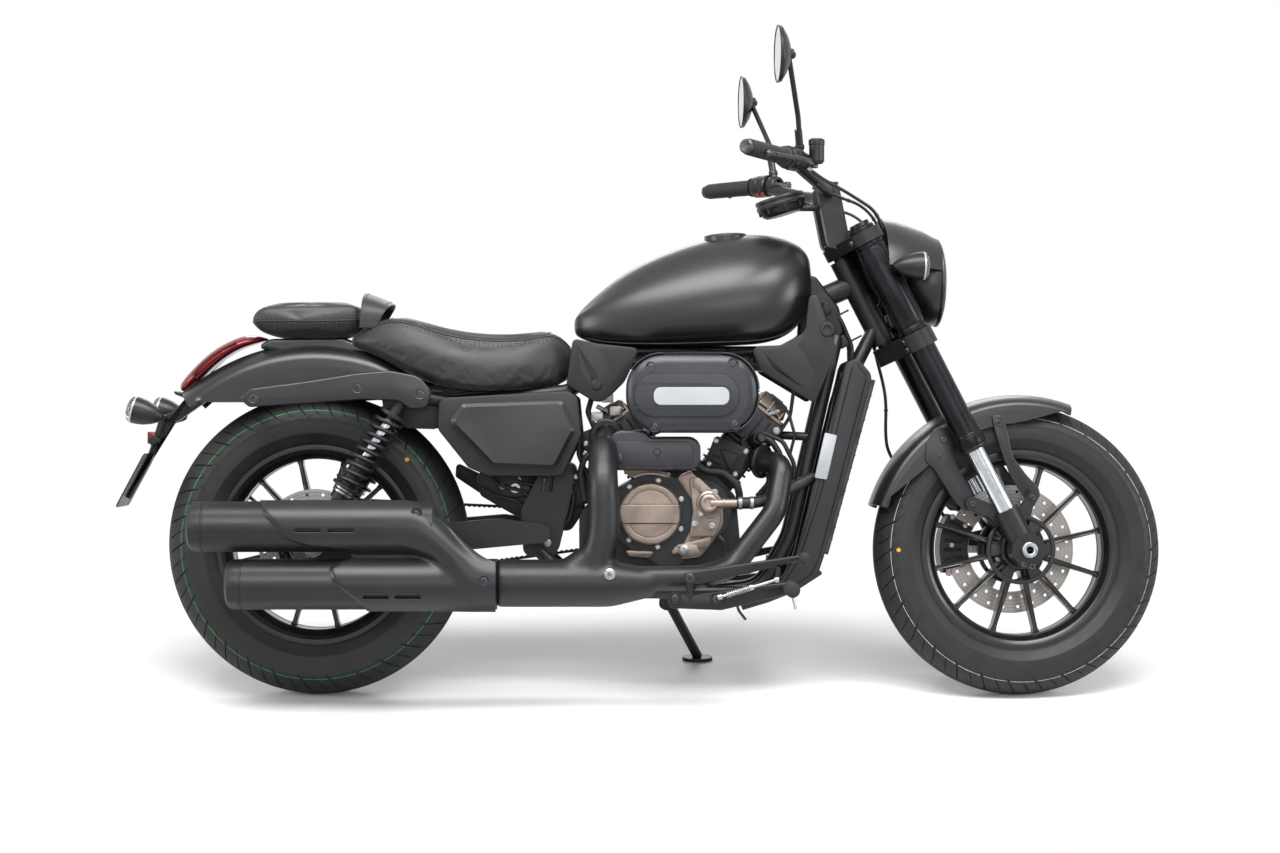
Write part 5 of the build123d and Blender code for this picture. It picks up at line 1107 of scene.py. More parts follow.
def headlamp():
    """A deep bucket under a pointed visor, a shielded reflector and a clear lens with a lit ring."""
    bm = bmesh.new()
    place = axes(LAMP, (1, 0, 0), (0, 0, 1))
    bucket = [(-92, 0.1), (-92, 34), (-84, 58), (-62, 78), (-30, 90), (-6, 94), (-3, 92.6), (-1, 92.6),
        (1, 95.4), (5, 95.6), (6, 93), (4, 91), (-2, 88), (-2, 0.1)]
    lathe(bm, place, bucket, 96, closed=False)
    # the visor: a shell over the top of the bucket that draws to a soft peak ahead
    rings = []
    for k in range(25):
        turn = radians(-78 + 156 * k / 24)
        lift = cos(turn * 1.05)
        profile = [(-120, 137 + 3 * lift), (-96, 135 + 2 * lift), (-64, 125), (-30, 111 + 1.5 * lift),
            (-4, 99), (2 + 3 * lift, 96.3), (1 + 3 * lift, 94.6), (-8, 96), (-32, 107.5), (-64, 121.5),
            (-96, 131.5), (-119, 134)]
        rings.append([LAMP + Vector((x, r * sin(turn), r * cos(turn))) for x, r in profile])
    bridge(bm, rings, closed_ring=True)
    # brackets back to the fork and the lower one with its screw
    for out in (-1, 1):
        tube(bm, [(560, out * 70, 900), (540, out * 100, 900)], 12, around=20)
        plate(bm, [(520, 864), (566, 872), (566, 928), (520, 944)], 12, out * 66, out * 74, soft=2)
    plate(bm, [(540, 790), (604, 796), (612, 812), (560, 830), (530, 820)], 8, -22, 22, soft=3)
    piece("headlamp", bm, "steering", [satin_enamel], ("headlamp",), sharp=36)
    bm = bmesh.new()
    lathe(bm, place, [(-34, 0.1), (-33, 20), (-26, 44), (-14, 70), (-1, 88.5), (1.5, 89)], 96, closed=False)
    turned(bm, place, [(-30, 0.1), (-30, 16), (-6, 22), (-2, 20), (-2, 0.1)], [0, 3, 2, 1, 0], 40, finish=1)
    turned(bm, place, [(1, 76), (1, 88), (4, 87), (4, 77)], 0.8, 96, finish=2)
    piece("headlamp_reflector", bm, "steering", [reflector, smooth_plastic, foil], sharp=50)
    bm = bmesh.new()
    lathe(bm, place, [(2.5, 91.5), (6, 92), (9, 89.6), (13, 78), (17.5, 55), (20.2, 28), (21, 0.1)], 96,
        closed=False)
    lathe(bm, place, [(0.5, 91.5), (4, 89.5), (7, 87), (10.5, 76), (14.5, 54), (17.2, 28), (18, 0.1)], 96,
        closed=False)
    piece("headlamp_lens", bm, "steering", [clear_lens], ("headlamp_lens",), sharp=60)


def front_indicators():
    """Bullet bodies with a pale rim band and a ribbed lens, on short stems."""
    bm = bmesh.new()
    for out in (-1, 1):
        place = axes((586, out * 150, 914), (1, 0, 0), (0, 0, 1))
        body = [(-62, 0.1), (-61, 5), (-56, 10), (-40, 19.5), (-22, 26.5), (-6, 29.4), (-2, 29.8),
            (2, 29.8), (2, 0.1)]
        lathe(bm, place, body, 48, closed=False)
        turned(bm, place, [(1.6, 26), (1.6, 29.6), (6, 29.4), (6, 26)], 0.6, 48, finish=1)
        lathe(bm, place, [(5, 0.1), (5, 27.6), (9, 27), (13, 22), (16, 12), (17, 0.1)], 48, finish=2,
            closed=False)
        tube(bm, [(540, out * 104, 918), (548, out * 150, 916)], (9.5, 8), around=18)
    piece("front_indicators", bm, "steering", [smooth_plastic, foil, smoked_lens], ("front_indicators",),
        sharp=40)


headlamp()
front_indicators()


# ---------------------------------------------------------------- tank, cap and covers
# x, half widths at the foot, waist and shoulder, then heights of foot, waist, shoulder and crown
TANK = (
    (-143, 26, 30, 18, 778, 792, 804, 808),
    (-128, 42, 52, 34, 768, 788, 820, 832),
    (-90, 60, 76, 52, 756, 790, 846, 868),
    (-35, 80, 98, 68, 751, 796, 878, 914),
    (30, 94, 116, 80, 750, 804, 906, 948),
    (100, 106, 132, 92, 751, 812, 928, 975),
    (170, 112, 141, 99, 753, 820, 944, 994),
    (235, 110, 142, 100, 755, 828, 951, 998),
    (290, 96, 132, 92, 762, 838, 950, 995),
    (330, 74, 110, 78, 782, 852, 940, 984),
    (358, 50, 80, 58, 818, 864, 926, 962),
    (371, 34, 52, 40, 852, 876, 912, 936),
)


def fuel_tank():
    """A long teardrop: full flanks, a rounded shoulder, a soft crown, and the pressed seam under its edge."""
    bm = bmesh.new()
    rings = []
    for x, foot_half, waist_half, shoulder_half, foot, waist, shoulder, crown in TANK:
        half = [(0, foot), (foot_half * 0.55, foot), (foot_half * 0.97, foot + 3),
            (waist_half * 0.985, waist - (waist - foot) * 0.35), (waist_half,
            waist + (shoulder - waist) * 0.25), ((waist_half + shoulder_half) / 2 + 6,
            (waist + shoulder) / 2 + 18), (shoulder_half * 0.94, shoulder + 4),
            (shoulder_half * 0.5, crown - (crown - shoulder) * 0.22), (0, crown)]
        ring = [Vector((x, y, z)) for y, z in half] + [Vector((x, -y, z)) for y, z in half[-2:0:-1]]
        rings.append(ring)
    bridge(bm, rings)
    piece("fuel_tank", bm, "frame", [satin_enamel], ("fuel_tank",), sharp=180, levels=3)
    # the pinched seam that runs round the foot
    bm = bmesh.new()
    seam = []
    for x, foot_half, waist_half, _, foot, waist, _, _ in TANK[1:-1]:
        seam.append(Vector((x, foot_half + (waist_half - foot_half) * 0.35, foot + 6)))
    path = seam + [Vector((p.x, -p.y, p.z)) for p in reversed(seam)]
    rings = []
    count = len(path)
    for i, p in enumerate(path):
        ahead = (path[(i + 1) % count] - path[i - 1]).normalized()
        out = ahead.cross(Vector((0, 0, 1))).normalized()
        if out.dot(Vector((p.x - 110, p.y * 2, 0))) < 0:
            out = -out
        rings.append([p - out * 8 + Vector((0, 0, -1.5)), p + out * 3 + Vector((0, 0, -2.5)),
            p + out * 4.2 + Vector((0, 0, -1)), p + out * 3 + Vector((0, 0, 0.5)),
            p - out * 8 + Vector((0, 0, 2))])
    rings.append(rings[0])
    bridge(bm, rings, caps=False)
    bmesh.ops.remove_doubles(bm, verts=bm.verts, dist=0.01)
    piece("fuel_tank_seam", bm, "frame", [satin_enamel], (), sharp=60, levels=1)


def fuel_cap():
    """A flush round cap: a sunk ring, a lid with a finger recess and a lock barrel."""
    bm = bmesh.new()
    slope = radians(3)
    up = Vector((-sin(slope), 0, cos(slope)))
    place = axes((185, 0, 992), up, (1, 0, 0))
    turned(bm, place, [(-14, 0.1), (-14, 45.8), (0, 45.8), (2.6, 43), (1.2, 40), (1.2, 37), (3.4, 35.4),
        (4.6, 30), (4.6, 0.1)], [0, 0, 2, 1, 0.6, 0.6, 1, 3, 0], 72)
    turned(bm, place, [(4, 0.1), (4, 9), (5, 9), (5, 0.1)], [0, 0, 0.6, 0], 28, finish=1)
    for k in range(6):
        t = radians(30 + 60 * k)
        bolts(bm, [place @ Vector((0.8, 38.6 * cos(t), 38.6 * sin(t)))], 2.8, 1.2, 1, direction=up)
    piece("fuel_cap", bm, "frame", [satin_enamel, plated_steel], ("fuel_cap",), sharp=32)


def relief(bm, corners, middle, out, base, proud, finish=0):
    """A field of flat facets that rise to a ridge: every edge of the outline runs to one middle point."""
    top = bm.verts.new((middle[0], out * (base + proud), middle[1]))
    ring = [bm.verts.new((x, out * base, z)) for x, z in corners]
    for i, v in enumerate(ring):
        bm.faces.new((v, ring[(i + 1) % len(ring)], top)).material_index = finish


def frame_covers():
    """Moulded covers beside the headstock and under the tank's tail, each with a folded relief."""
    bm = bmesh.new()
    headstock = [(232, 750), (262, 694), (372, 628), (420, 742), (402, 790), (364, 905), (352, 780),
        (300, 752)]
    under = [(-143, 767), (-157, 668), (-86, 624), (-34, 676), (0, 746), (-90, 756)]
    for out in (-1, 1):
        plate(bm, headstock, [14, 20, 10, 10, 20, 12, 30, 30], out * 104, out * 115, soft=3)
        relief(bm, [(258, 742), (282, 704), (360, 652)], (306, 694), out, 114.8, 5)
        relief(bm, [(258, 742), (360, 652), (372, 700), (322, 748)], (334, 704), out, 114.8, 6)
        relief(bm, [(372, 700), (404, 744), (384, 800), (366, 850), (356, 776), (334, 752)], (378, 760),
            out, 114.8, 6)
        plate(bm, under, [10, 10, 30, 40, 10, 10], out * 96, out * 109, soft=3)
        relief(bm, [(-136, 756), (-146, 676), (-88, 640)], (-122, 690), out, 108.8, 5)
        relief(bm, [(-136, 756), (-88, 640), (-48, 682), (-92, 748)], (-92, 694), out, 108.8, 7)
        relief(bm, [(-92, 748), (-48, 682), (-14, 738)], (-52, 722), out, 108.8, 4)
        # bosses to the frame, and a round cap over the headstock's end
        tube(bm, [(384, out * 16, 853), (384, out * 106, 853)], 12, around=20)
        tube(bm, [(-120, out * 60, 684), (-120, out * 98, 684)], 9, around=16)
        turned(bm, axes((398, out * 104, 786), (0, out, 0), (1, 0, 0)),
            [(-4, 0.1), (-4, 17), (12, 17), (15, 14), (15, 8), (12, 7), (12, 0.1)], [0, 0, 2, 2, 1, 1, 0], 40)
        turned(bm, axes((-92, out * 104, 668), (0, out, 0), (1, 0, 0)),
            [(-4, 0.1), (-4, 12), (7, 12), (9, 9), (9, 0.1)], [0, 0, 1.5, 1, 0], 32)
    piece("frame_covers", bm, "frame", [black_plastic], ("frame_covers",), sharp=24)


fuel_tank()
fuel_cap()
frame_covers()


def side_panels():
    """Housings under the seat, and the faceted grey covers on them with a long blade-like crease."""
    bm = bmesh.new()
    housing = [(-428, 640), (-428, 572), (-364, 492), (-322, 474), (-165, 474), (-124, 560), (-132, 640),
        (-150, 655)]
    for out in (-1, 1):
        plate(bm, housing, [20, 16, 10, 20, 20, 20, 10, 20], out * 116, out * 137, soft=4)
        tube(bm, [(-280, out * 60, 560), (-280, out * 120, 560)], 10, around=18)
    plate(bm, [(-380, 622), (-340, 500), (-215, 500), (-185, 622)], 12, -63, 63, soft=4)
    piece("side_housings", bm, "frame", [black_plastic], ("side_housings",))
    bm = bmesh.new()
    outer = [(-404, 588), (-378, 627), (-162, 634), (-138, 570), (-178, 491), (-312, 497)]
    inner = [(-392, 589), (-372, 620), (-167, 627), (-146, 570), (-183, 498), (-309, 503)]
    for out in (-1, 1):
        levels = []
        for line, depth, r in ((outer, 138, 14), (outer, 148, 14), (inner, 153.4, 10)):
            rounded = fillet([Vector((a, b, 0)) for a, b in line], r, closed=True, step=radians(16))
            levels.append([Vector((p.x, out * depth, p.y)) for p in rounded])
        count = min(len(level) for level in levels)
        rows = bridge(bm, [level[:count] for level in levels], caps=False)
        bm.faces.new(rows[0][::-1])
        # the face folds along a crease that runs from the front corner to the rear
        middle = [bm.verts.new((x, out * y, z)) for x, y, z in ((-336, 151.6, 584), (-200, 156.5, 590))]
        ring = rows[-1]
        for i in range(count):
            j = (i + 1) % count
            x = (ring[i].co.x + ring[j].co.x) / 2
            bm.faces.new((ring[i], ring[j], middle[0] if x < -268 else middle[1]))
            x_next = (ring[j].co.x + ring[(j + 1) % count].co.x) / 2
            if (x < -268) != (x_next < -268):
                bm.faces.new((ring[j], middle[1] if x < -268 else middle[0], middle[0] if x < -268
                    else middle[1]))
    piece("side_covers", bm, "frame", [satin_enamel], ("side_covers",), sharp=14)


side_panels()


# ---------------------------------------------------------------- seats
def swell(made, cap):
    """Rounds a pad; its cover then also swells, each point by at most cap millimetres."""
    subdivide(made, 2)
    rounded = evaluated(made)
    made.modifiers.clear()
    made.data = rounded
    blown(made, 3.0, cap)
    subdivide(made, 1)


def blown(made, pressure, cap, voxel=5.0, frames=20):
    """Cloth simulation: the pad swells under its cover, each point by at most cap millimetres."""
    mesh = made.data
    remesh = made.modifiers.new("even", "REMESH")
    remesh.mode, remesh.voxel_size = "VOXEL", voxel * MM
    even = evaluated(made)
    made.modifiers.remove(remesh)
    finishes = list(mesh.materials)
    made.data = even
    before = [v.co.copy() for v in even.vertices]
    cloth = made.modifiers.new("cover", "CLOTH")
    settings = cloth.settings
    settings.use_pressure, settings.uniform_pressure_force = True, pressure
    settings.effector_weights.gravity = 0
    settings.quality = 5
    settings.tension_stiffness = settings.compression_stiffness = settings.shear_stiffness = 15
    cloth.collision_settings.use_collision = False
    scene = bpy.context.scene
    for number in range(1, frames + 1):
        scene.frame_set(number)
    swollen = evaluated(made)
    made.modifiers.remove(cloth)
    scene.frame_set(1)
    for old, vertex in zip(before, swollen.vertices):
        step = vertex.co - old
        if step.length > cap * MM:
            vertex.co = old + step.normalized() * cap * MM
    swollen.materials.clear()
    for finish_material in finishes:
        swollen.materials.append(finish_material)
    for polygon in swollen.polygons:
        polygon.use_smooth = True
    made.data = swollen


# along the seat: x, half width, the heights of the top's middle, of the widest line and of the foot, and
# half the width of the foot
RIDER_SEAT = (
    (-628, 66, 772, 758, 756, 60),
    (-610, 88, 784, 764, 750, 74),
    (-575, 108, 803, 768, 738, 84),
    (-530, 124, 815, 762, 716, 96),
    (-490, 136, 810, 748, 692, 108),
    (-440, 148, 795, 736, 670, 118),
    (-380, 154, 781, 728, 658, 122),
    (-320, 152, 775, 726, 656, 122),
    (-260, 136, 776, 728, 658, 112),
    (-210, 114, 783, 736, 662, 92),
    (-180, 96, 786, 744, 666, 78),
    (-152, 78, 764, 738, 682, 64),
    (-132, 62, 722, 712, 700, 52),
)


def seat_surface(table, half_section):
    """Rings of a padded seat: half_section(half, top, widest, foot, foot_half) gives (across, up) points."""
    rings = []
    for x, half, top, widest, foot, foot_half in table:
        across = half_section(half, top, widest, foot, foot_half)
        rings.append([Vector((x, y, z)) for y, z in across]
            + [Vector((x, -y, z)) for y, z in across[-2:0:-1]])
    return rings


def rider_section(half, top, _widest, foot, foot_half):
    """Flanks that spread to a firm lower edge, under a top panel with a crisp rim."""
    tall = top - foot
    return [(0, foot + 4), (foot_half * 0.6, foot + 4), (half * 0.86, foot + 2), (half * 0.965, foot + 3),
        (half, foot + 14), (half * 0.975, foot + tall * 0.42), (half * 0.90, foot + tall * 0.74),
        (half * 0.83, top - 9), (half * 0.76, top - 3), (half * 0.4, top - 5), (0, top - 6)]


def pillion_section(half, top, widest, foot, foot_half):
    """A flat top with a crisp rim, upright flanks, and a foot that tapers in below the seam."""
    return [(0, foot), (foot_half * 0.6, foot), (foot_half, foot + 2),
        (half * 0.93, foot + (widest - foot) * 0.6), (half, widest - 4), (half, widest + 5),
        (half * 0.985, widest + (top - widest) * 0.6), (half * 0.95, top - 5), (half * 0.86, top - 1),
        (half * 0.4, top), (0, top)]


def smooth_line(points, count):
    """Even points on a smooth curve through a few."""
    data = bpy.data.curves.new("line", "CURVE")
    data.dimensions = "3D"
    line = data.splines.new("NURBS")
    line.points.add(len(points) - 1)
    for spot, p in zip(line.points, points):
        spot.co = (*p, 1)
    line.order_u, line.use_endpoint_u, line.resolution_u = 3, True, 16
    holder = linked("line", data)
    mesh = evaluated(holder)
    bpy.data.objects.remove(holder)
    found = [v.co.copy() for v in mesh.vertices]
    lengths = [0.0]
    for a, b in zip(found, found[1:]):
        lengths.append(lengths[-1] + (b - a).length)
    even, k = [], 0
    for i in range(count):
        want = lengths[-1] * i / (count - 1)
        while k < len(found) - 2 and lengths[k + 1] < want:
            k += 1
        span = max(lengths[k + 1] - lengths[k], 1e-9)
        even.append(found[k].lerp(found[k + 1], min(max((want - lengths[k]) / span, 0), 1)))
    return even


def on_surface(made, points, outward, lift):
    """Points laid on a finished piece, found along a direction and raised a little."""
    tree = BVHTree.FromObject(made, bpy.context.evaluated_depsgraph_get())
    laid = []
    for p, way in zip(points, outward):
        start = PARK @ (Vector(p) + Vector(way) * 60)
        heading = (PARK.to_3x3() @ -Vector(way)).normalized()
        hit, normal, _, _ = tree.ray_cast(start, heading, 0.2)
        if hit:
            laid.append((PARK_BACK @ (hit + normal * lift * MM), (PARK_BACK.to_3x3() @ normal).normalized()))
    return laid


def stitches(bm, laid, length=5.0, gap=3.0, finish=0):
    """Threads that lie along the points: short rounded bars, each pressed in at both ends."""
    template = bmesh.new()
    rings = []
    for share, r, up in ((0, 0.3, -0.5), (0.12, 0.75, 0.1), (0.5, 0.8, 0.45), (0.88, 0.75, 0.1),
            (1, 0.3, -0.5)):
        rings.append([Vector(((share - 0.5) * length, r * cos(t), up + r * sin(t)))
            for t in (2 * pi * k / 6 for k in range(6))])
    bridge(template, rings)
    places, walked = [], 0.0
    for (a, na), (b, _) in zip(laid, laid[1:]):
        walked += (b - a).length
        if walked >= length + gap:
            places.append(axes((a + b) / 2, b - a, na))
            walked = 0.0
    if places:
        take(bm, repeated(template, places), finish)
    else:
        template.free()


def rider_seat():
    bm = bmesh.new()
    bridge(bm, seat_surface(RIDER_SEAT, rider_section))
    made = piece("rider_seat", bm, "frame", [vinyl], ("rider_seat",), sharp=180)
    swell(made, 5.0)
    # a welt round the top panel with two rows of stitches below it
    bm = bmesh.new()
    threads = bmesh.new()
    for out in (-1, 1):
        edge = [Vector((x, out * half * 0.84, top - 9)) for x, half, top, _, _, _ in RIDER_SEAT[1:-1]]
        line = smooth_line(edge, 150)
        laid = on_surface(made, line, [(0, out * 0.7, 0.7)] * len(line), 0.4)
        tube(bm, [p for p, _ in laid], 1.7, 0, 8)
        for shift in (7, 12):
            beside = [p + Vector((0, out * shift * 0.35, -shift)) for p in line]
            stitches(threads, on_surface(made, beside, [(0, out * 0.7, 0.7)] * len(line), 0.2))
    for x in (-532, -196):
        half = 96 if x < -400 else 74
        line = [Vector((x + 10 * (1 - abs(k) / 20), half * k / 20, 0)) for k in range(-20, 21)]
        line = [Vector((p.x, p.y, 800)) for p in line]
        laid = on_surface(made, line, [(0, 0, 1)] * len(line), 0.3)
        if len(laid) > 3:
            tube(bm, [p for p, _ in laid], 1.6, 0, 8)
    piece("rider_seat_welts", bm, "frame", [vinyl], (), sharp=80)
    piece("rider_seat_stitches", threads, "frame", [thread], (), sharp=80)


PILLION_SEAT = (
    (-834, 70, 810, 806, 802, 64),
    (-826, 84, 826, 808, 792, 70),
    (-810, 90, 838, 810, 778, 74),
    (-770, 93, 842, 810, 769, 78),
    (-720, 94, 843, 810, 768, 80),
    (-670, 93, 843, 810, 768, 80),
    (-630, 91, 843, 811, 769, 78),
    (-606, 84, 841, 812, 782, 70),
    (-595, 72, 826, 812, 800, 60),
)


def pillion_seat():
    bm = bmesh.new()
    bridge(bm, seat_surface(PILLION_SEAT, pillion_section))
    made = piece("pillion_seat", bm, "frame", [vinyl], ("pillion_seat",), sharp=180)
    swell(made, 3.5)
    bm = bmesh.new()
    threads = bmesh.new()
    for out in (-1, 1):
        edge = [Vector((x, out * half, widest - 5)) for x, half, _, widest, _, _ in PILLION_SEAT]
        line = smooth_line(edge, 100)
        laid = on_surface(made, line, [(0, out, 0)] * len(line), 0.4)
        tube(bm, [p for p, _ in laid], 1.7, 0, 8)
        stitches(threads, on_surface(made, [p - Vector((0, 0, 5)) for p in line], [(0, out, 0)] * len(line),
            0.2))
        stitches(threads, on_surface(made, [p + Vector((0, 0, 5)) for p in line], [(0, out, 0)] * len(line),
            0.2))
    piece("pillion_seat_welts", bm, "frame", [vinyl], (), sharp=80)
    # the strap: a band across the front of the seat, its slack middle standing up, and its stitched tail
    bm = bmesh.new()
    def strap_row(share, lift=0.0):
        """The band's rear and front edge at a place across the seat, and its outward direction."""
        turn = share * pi / 2
        rise = max(0.0, cos(turn)) ** 0.5
        across, out = 93 * sin(turn), Vector((0, sin(turn), max(0.15, cos(turn)))).normalized()
        rear = Vector((-599 + 5 * rise, across, 790 + 76 * rise)) + out * lift
        front = Vector((-563 + 31 * rise, across, 790 + (76 - 24 * rise) * rise)) + out * lift
        return rear, front, out

    rows = []
    for k in range(61):
        rear, front, out = strap_row(-1 + 2 * k / 60)
        bulge = [(0.0, -1.6), (0.0, 1.0), (0.06, 1.8), (0.35, 3.4), (0.65, 3.4), (0.94, 1.8), (1.0, 1.0),
            (1.0, -1.6), (0.65, 0.2), (0.35, 0.2)]
        rows.append([rear.lerp(front, share) + out * deep for share, deep in bulge])
    bridge(bm, rows)
    for share in (0.12, 0.88):
        line = []
        for k in range(121):
            rear, front, out = strap_row(-1 + 2 * k / 120)
            line.append((rear.lerp(front, share) + out * 2.4, out))
        stitches(threads, line)
    piece("pillion_strap", bm, "frame", [vinyl], ("pillion_strap",), sharp=50)
    piece("pillion_stitches", threads, "frame", [thread], (), sharp=80)


rider_seat()
pillion_seat()


# ---------------------------------------------------------------- rear fender, struts and tail
def rear_skirt(angle):
    """The skirt's lower edge: level with the wheel's crown at 630 mm over the floor."""
    turn = cos(radians(angle))
    level = 306 / max(turn, 0.3)
    return max(min(level, 420), 345)


def rear_fender():
    fender_shell("rear_fender", REAR_AXLE, 436, 97, 27, 42, rear_skirt, 38, 3.5, "frame", "rear_fender",
        flat=0.5)
    bm = bmesh.new()
    base = [(-826, 748), (-796, 767), (-640, 770), (-604, 756), (-566, 732), (-540, 704), (-560, 690)]
    plate(bm, base, [10, 40, 20, 20, 20, 6, 6], -64, 64, soft=8, soft_steps=4)
    piece("seat_base", bm, "frame", [satin_enamel], ())


def fender_struts():
    """Long cast struts with a bevelled edge all round and three sunk screws."""
    bm = bmesh.new()
    strut = [(-850, 640), (-822, 660), (-700, 676), (-601, 692), (-529, 698), (-467, 686), (-440, 655),
        (-450, 618), (-486, 616), (-510, 634), (-584, 636), (-826, 620)]
    for out in (-1, 1):
        plate(bm, strut, [10, 14, 300, 100, 60, 40, 18, 18, 16, 30, 100, 14], out * 142, out * 157.5,
            soft=4.5, soft_steps=3)
        for x, z in ((-597, 661), (-817, 640)):
            tube(bm, [(x, out * 80, z), (x, out * 142, z)], 12, around=20)
    piece("fender_struts", bm, "frame", [satin_enamel], ("fender_struts",), sharp=40)
    bm = bmesh.new()
    for out in (-1, 1):
        for x, z in ((-817, 640), (-597, 661), (-465, 648)):
            place = axes((x, out * 157.4, z), (0, out, 0), (1, 0, 0))
            turned(bm, place, [(-2, 9.5), (0.1, 9.5), (0.7, 11), (0.7, 12.6), (-2, 12.6)], 0.3, 36, finish=1)
            bolts(bm, [place @ Matrix.Translation((-1.6, 0, 0))], 8.2, 2.6)
    piece("strut_screws", bm, "frame", [black_screw, satin_enamel])


def tail_lamp():
    """A swept red lens over a darker inner body, its rim, and a small black base at the lower end."""
    bm = bmesh.new()
    top = [(-800, 768), (-846, 780), (-884, 766), (-925, 744), (-966, 706), (-1004, 662)]
    low = [(-806, 764), (-850, 752), (-880, 738), (-918, 712), (-950, 682), (-987, 646)]
    rings = []
    for (xt, zt), (xl, zl), half in zip(top, low, (30, 46, 54, 57, 56, 44)):
        mid_x, mid_z = (xt + xl) / 2, (zt + zl) / 2
        ring = [Vector((xl, 0, zl)), Vector((xl, half * 0.8, zl)),
            Vector((xl * 0.7 + xt * 0.3, half, zl * 0.7 + zt * 0.3)), Vector((mid_x, half * 0.98, mid_z)),
            Vector((xt * 0.85 + xl * 0.15, half * 0.72, zt * 0.85 + zl * 0.15)),
            Vector((xt, half * 0.3, zt)), Vector((xt, 0, zt))]
        rings.append(ring + [Vector((p.x, -p.y, p.z)) for p in ring[-2:0:-1]])
    bridge(bm, rings)
    piece("tail_lamp", bm, "frame", [red_lens], ("tail_lamp",), sharp=180, levels=2)
    bm = bmesh.new()
    for out in (-1, 1):
        for line, wide in ((((-868, 760), (-905, 742), (-942, 712), (-960, 690)), 5.0),
                (((-880, 745), (-920, 716), (-955, 682)), 3.0)):
            points = smooth_line([Vector((x, out * 52, z)) for x, z in line], 24)
            tube(bm, points, (wide * 0.4, wide), 0, 10)
    piece("tail_lamp_inlays", bm, "frame", [dark_red], ())
    bm = bmesh.new()
    plate(bm, [(-1006, 656), (-1002, 648), (-982, 640), (-950, 672), (-958, 678), (-988, 650)], 3, -40, 40,
        soft=1.5)
    piece("tail_lamp_base", bm, "frame", [smooth_plastic], ())


def rear_bracket():
    """Arm for the number plate, its bare carrier, reflector and lamp, and the indicators on their bar."""
    bm = bmesh.new()
    arm = [(-966, 661), (-1010, 610), (-1040, 600), (-1058, 540), (-1072, 500), (-1112, 425), (-1104, 420),
        (-1060, 500), (-1046, 540), (-1026, 586), (-1000, 590), (-930, 640)]
    plate(bm, arm, [1, 26, 14, 30, 20, 3, 3, 20, 30, 14, 20, 1], -13, 13, soft=3)
    tube(bm, [(-1030, -150, 605), (-1030, -22, 597), (-1030, 22, 597), (-1030, 150, 605)], 7, 20, 18)
    lean = Matrix.Translation((-1091.5, 0, 462.5)) @ Matrix.Rotation(radians(28.1), 4, "Y")
    carrier = [(-75, -65), (75, -65), (75, 65), (-75, 65)]
    outline = fillet([Vector((a, b, 0)) for a, b in carrier], 10, closed=True)
    rings = []
    for depth, grow in ((0, 1.0), (-2.2, 1.0), (-3.0, 0.985)):
        rings.append([lean @ Vector((depth, p.x * grow, p.y * grow)) for p in outline])
    bridge(bm, rings)
    for y in (-60, 60):
        turned(bm, axes(lean @ Vector((-3, y, 0)), lean.to_3x3() @ Vector((-1, 0, 0)), (0, 0, 1)),
            [(-0.4, 3.6), (-0.4, 6.5), (0.9, 6.5), (0.9, 3.6)], 0.3, 24)
    for out in (-1, 1):
        place = axes((-1066, out * 150, 614), (-1, 0, 0.28), (0, 0, 1))
        lathe(bm, place, [(-62, 0.1), (-61, 5), (-56, 10), (-40, 19.5), (-22, 26), (-6, 28.6), (3, 29),
            (3, 0.1)], 48, closed=False)
        turned(bm, place, [(2.4, 25.5), (2.4, 28.9), (7, 28.9), (7, 25.5)], 0.6, 48, finish=1)
        lathe(bm, place, [(6, 0.1), (6, 27.4), (11, 26.8), (16, 22), (19, 12), (20.5, 0.1)], 48, finish=2,
            closed=False)
        tube(bm, [(-1030, out * 150, 606), (-1040, out * 150, 608)], (8, 12), around=18)
    # plate lamp under the arm's shoulder
    plate(bm, [(-1066, 552), (-1046, 560), (-1034, 548), (-1056, 536)], 4, -24, 24, soft=2)
    piece("rear_bracket", bm, "frame", [smooth_plastic, foil, smoked_lens], ("rear_bracket",),
        sharp=38)
    bm = bmesh.new()
    turned(bm, axes(lean @ Vector((-3.2, 0, 44)), lean.to_3x3() @ Vector((-1, 0, 0)), (0, 0, 1)),
        [(-1, 0.1), (-1, 15), (3, 15), (4.5, 13), (4.5, 0.1)], [0, 0, 1, 1, 0], 36)
    piece("rear_reflector", bm, "frame", [red_lens], ())


rear_fender()
fender_struts()
tail_lamp()
rear_bracket()


# ---------------------------------------------------------------- engine
CRANK = Vector((92, 0, 378))
# tilt from the vertical, distances up the bore: foot, deck, head top, cover top
CYLINDERS = ((38.0, 92, 214, 288, 330), (-33.5, 92, 186, 256, 292))


def bore(tilt, up=0.0):
    """Place on a cylinder: local X up the bore, Y to the rider's right, Z forward across it."""
    rise = Vector((sin(radians(tilt)), 0, cos(radians(tilt))))
    return axes(CRANK + rise * up, rise, Vector((0, -1, 0)).cross(rise) * -1)


def facing(place, out, u, across, w):
    """Local X outward at a point on a cylinder's side: u up the bore, across from its middle, w forward."""
    turn = place.to_3x3()
    return axes(place @ Vector((u, out * across, w)), turn @ Vector((0, out, 0)), turn @ Vector((1, 0, 0)))


